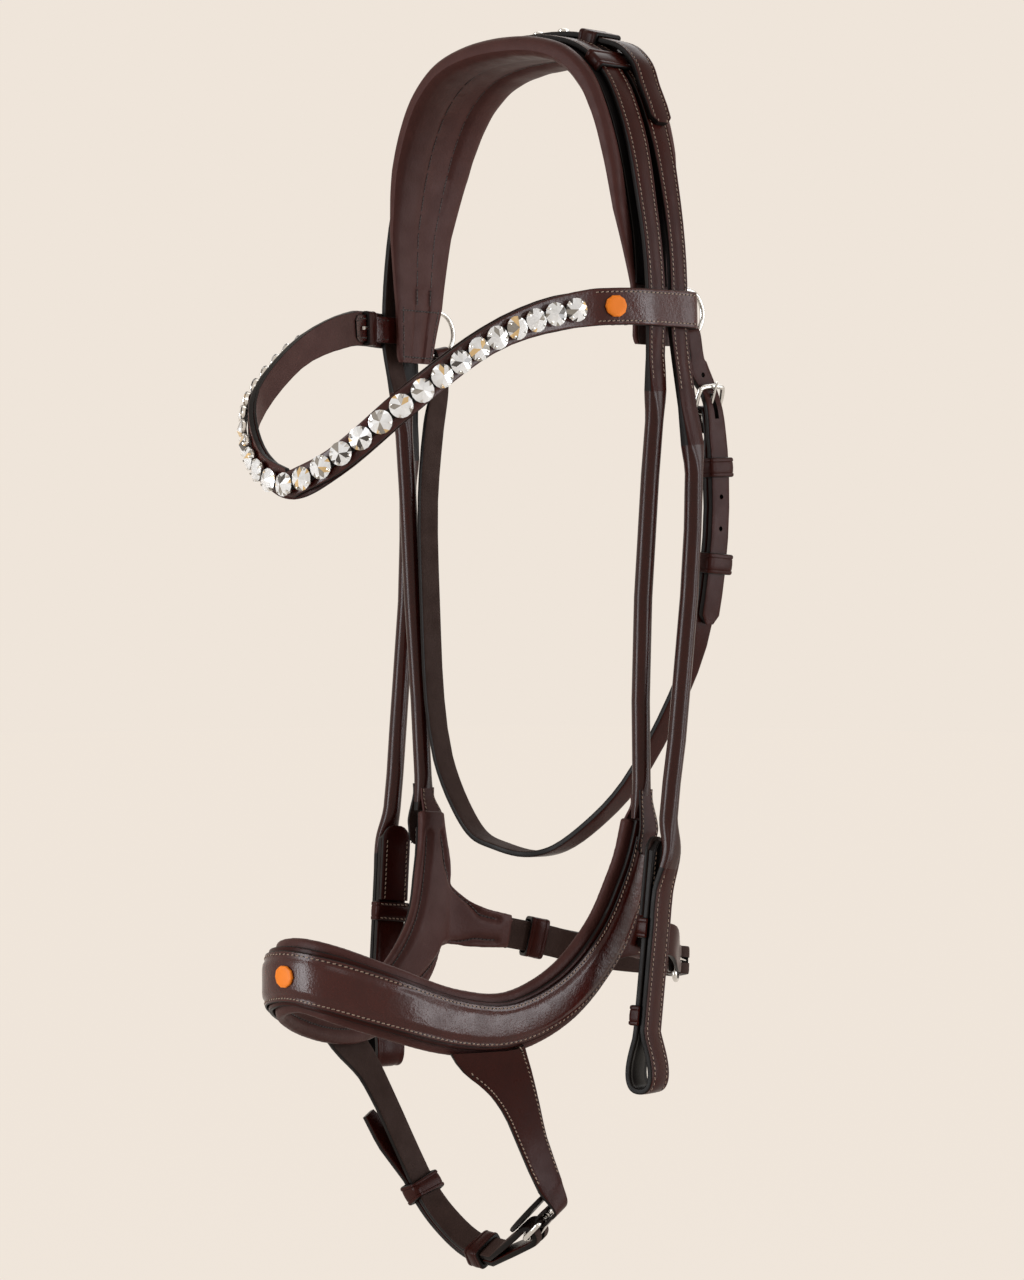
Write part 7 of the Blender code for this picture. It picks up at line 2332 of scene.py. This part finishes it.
# Operators
class BRIDLE_OT_poll_pad(Operator):
    """Soft pad that lies on the poll"""
    bl_idname = "bridle.poll_pad"
    bl_label = "Poll pad"

    def execute(self, context):
        poll_pad()
        return {"FINISHED"}


class BRIDLE_OT_headpiece(Operator):
    """Crown straps and cheekpieces with their base, keepers and studs"""
    bl_idname = "bridle.headpiece"
    bl_label = "Headpiece and cheekpieces"

    def execute(self, context):
        crown_base()
        noseband_headstrap()
        crown_straps()
        poll_studs()
        crown_keepers()
        headpiece_seams()
        return {"FINISHED"}


class BRIDLE_OT_throat_rings(Operator):
    """Steel rings that carry the throatlash, and the leather tabs that hold them"""
    bl_idname = "bridle.throat_rings"
    bl_label = "Throat rings"

    def execute(self, context):
        throat_rings()
        ring_tabs()
        return {"FINISHED"}


class BRIDLE_OT_browband(Operator):
    """Browband with its lining, tabs, keepers, hooks and disc"""
    bl_idname = "bridle.browband"
    bl_label = "Browband"

    def execute(self, context):
        browband()
        browband_lining()
        browband_trim()
        browband_seams()
        return {"FINISHED"}


class BRIDLE_OT_stones(Operator):
    """Row of cut stones in silver cups"""
    bl_idname = "bridle.stones"
    bl_label = "Cut stones"

    def execute(self, context):
        crystal_row()
        return {"FINISHED"}


class BRIDLE_OT_throatlash(Operator):
    """Throatlash with its buckle, point strap and keepers"""
    bl_idname = "bridle.throatlash"
    bl_label = "Throatlash"

    def execute(self, context):
        throatlash()
        point_strap()
        throat_buckle()
        return {"FINISHED"}


class BRIDLE_OT_cheek_ends(Operator):
    """Keepers and hook studs on the ends that hold the bit"""
    bl_idname = "bridle.cheek_ends"
    bl_label = "Cheek ends"

    def execute(self, context):
        cheek_fittings()
        stud_covers()
        return {"FINISHED"}


class BRIDLE_OT_noseband(Operator):
    """Noseband leather, raised facing, soft pad and disc"""
    bl_idname = "bridle.noseband"
    bl_label = "Noseband"

    def execute(self, context):
        noseband()
        hanger_tabs()
        return {"FINISHED"}


class BRIDLE_OT_jaw_strap(Operator):
    """Jaw strap with its billet, roller buckle and keeper"""
    bl_idname = "bridle.jaw_strap"
    bl_label = "Jaw strap"

    def execute(self, context):
        jaw()
        return {"FINISHED"}


class BRIDLE_OT_chin_strap(Operator):
    """Chin strap with its branch, roller buckle, keepers and guard"""
    bl_idname = "bridle.chin_strap"
    bl_label = "Chin strap"

    def execute(self, context):
        chin()
        chin_seams()
        return {"FINISHED"}


class BRIDLE_OT_stage(Operator):
    """Pale floor and backdrop, soft boxes and camera"""
    bl_idname = "bridle.stage"
    bl_label = "Stage"

    def execute(self, context):
        stage()
        return {"FINISHED"}


class BRIDLE_PT_panel(Panel):
    """Colours, sizes and pieces of the bridle"""
    bl_idname = "BRIDLE_PT_panel"
    bl_label = "Bridle"
    bl_space_type = "VIEW_3D"
    bl_region_type = "UI"
    bl_category = "Bridle"

    def draw(self, context):
        layout = self.layout
        for group in (context.scene.bridle_colours, context.scene.bridle_sizes):
            column = layout.column()
            for name in group.bl_rna.properties.keys():
                if name not in ("rna_type", "name"):
                    column.prop(group, name)
        for operator in OPERATORS:
            layout.operator(operator.bl_idname)


OPERATORS = (
    BRIDLE_OT_poll_pad, BRIDLE_OT_headpiece, BRIDLE_OT_throat_rings, BRIDLE_OT_browband, BRIDLE_OT_stones,
    BRIDLE_OT_throatlash, BRIDLE_OT_cheek_ends, BRIDLE_OT_noseband, BRIDLE_OT_jaw_strap, BRIDLE_OT_chin_strap,
    BRIDLE_OT_stage,
)
CLASSES = (BridleColours, BridleSizes, *OPERATORS, BRIDLE_PT_panel)


def register():
    for made in CLASSES:
        bpy.utils.register_class(made)
    bpy.types.Scene.bridle_colours = PointerProperty(type=BridleColours)
    bpy.types.Scene.bridle_sizes = PointerProperty(type=BridleSizes)


def unregister():
    del bpy.types.Scene.bridle_sizes
    del bpy.types.Scene.bridle_colours
    for made in reversed(CLASSES):
        bpy.utils.unregister_class(made)


def main():
    register()
    for operator in OPERATORS:
        group, name = operator.bl_idname.split(".")
        getattr(getattr(bpy.ops, group), name)()


if __name__ == "__main__":
    main()
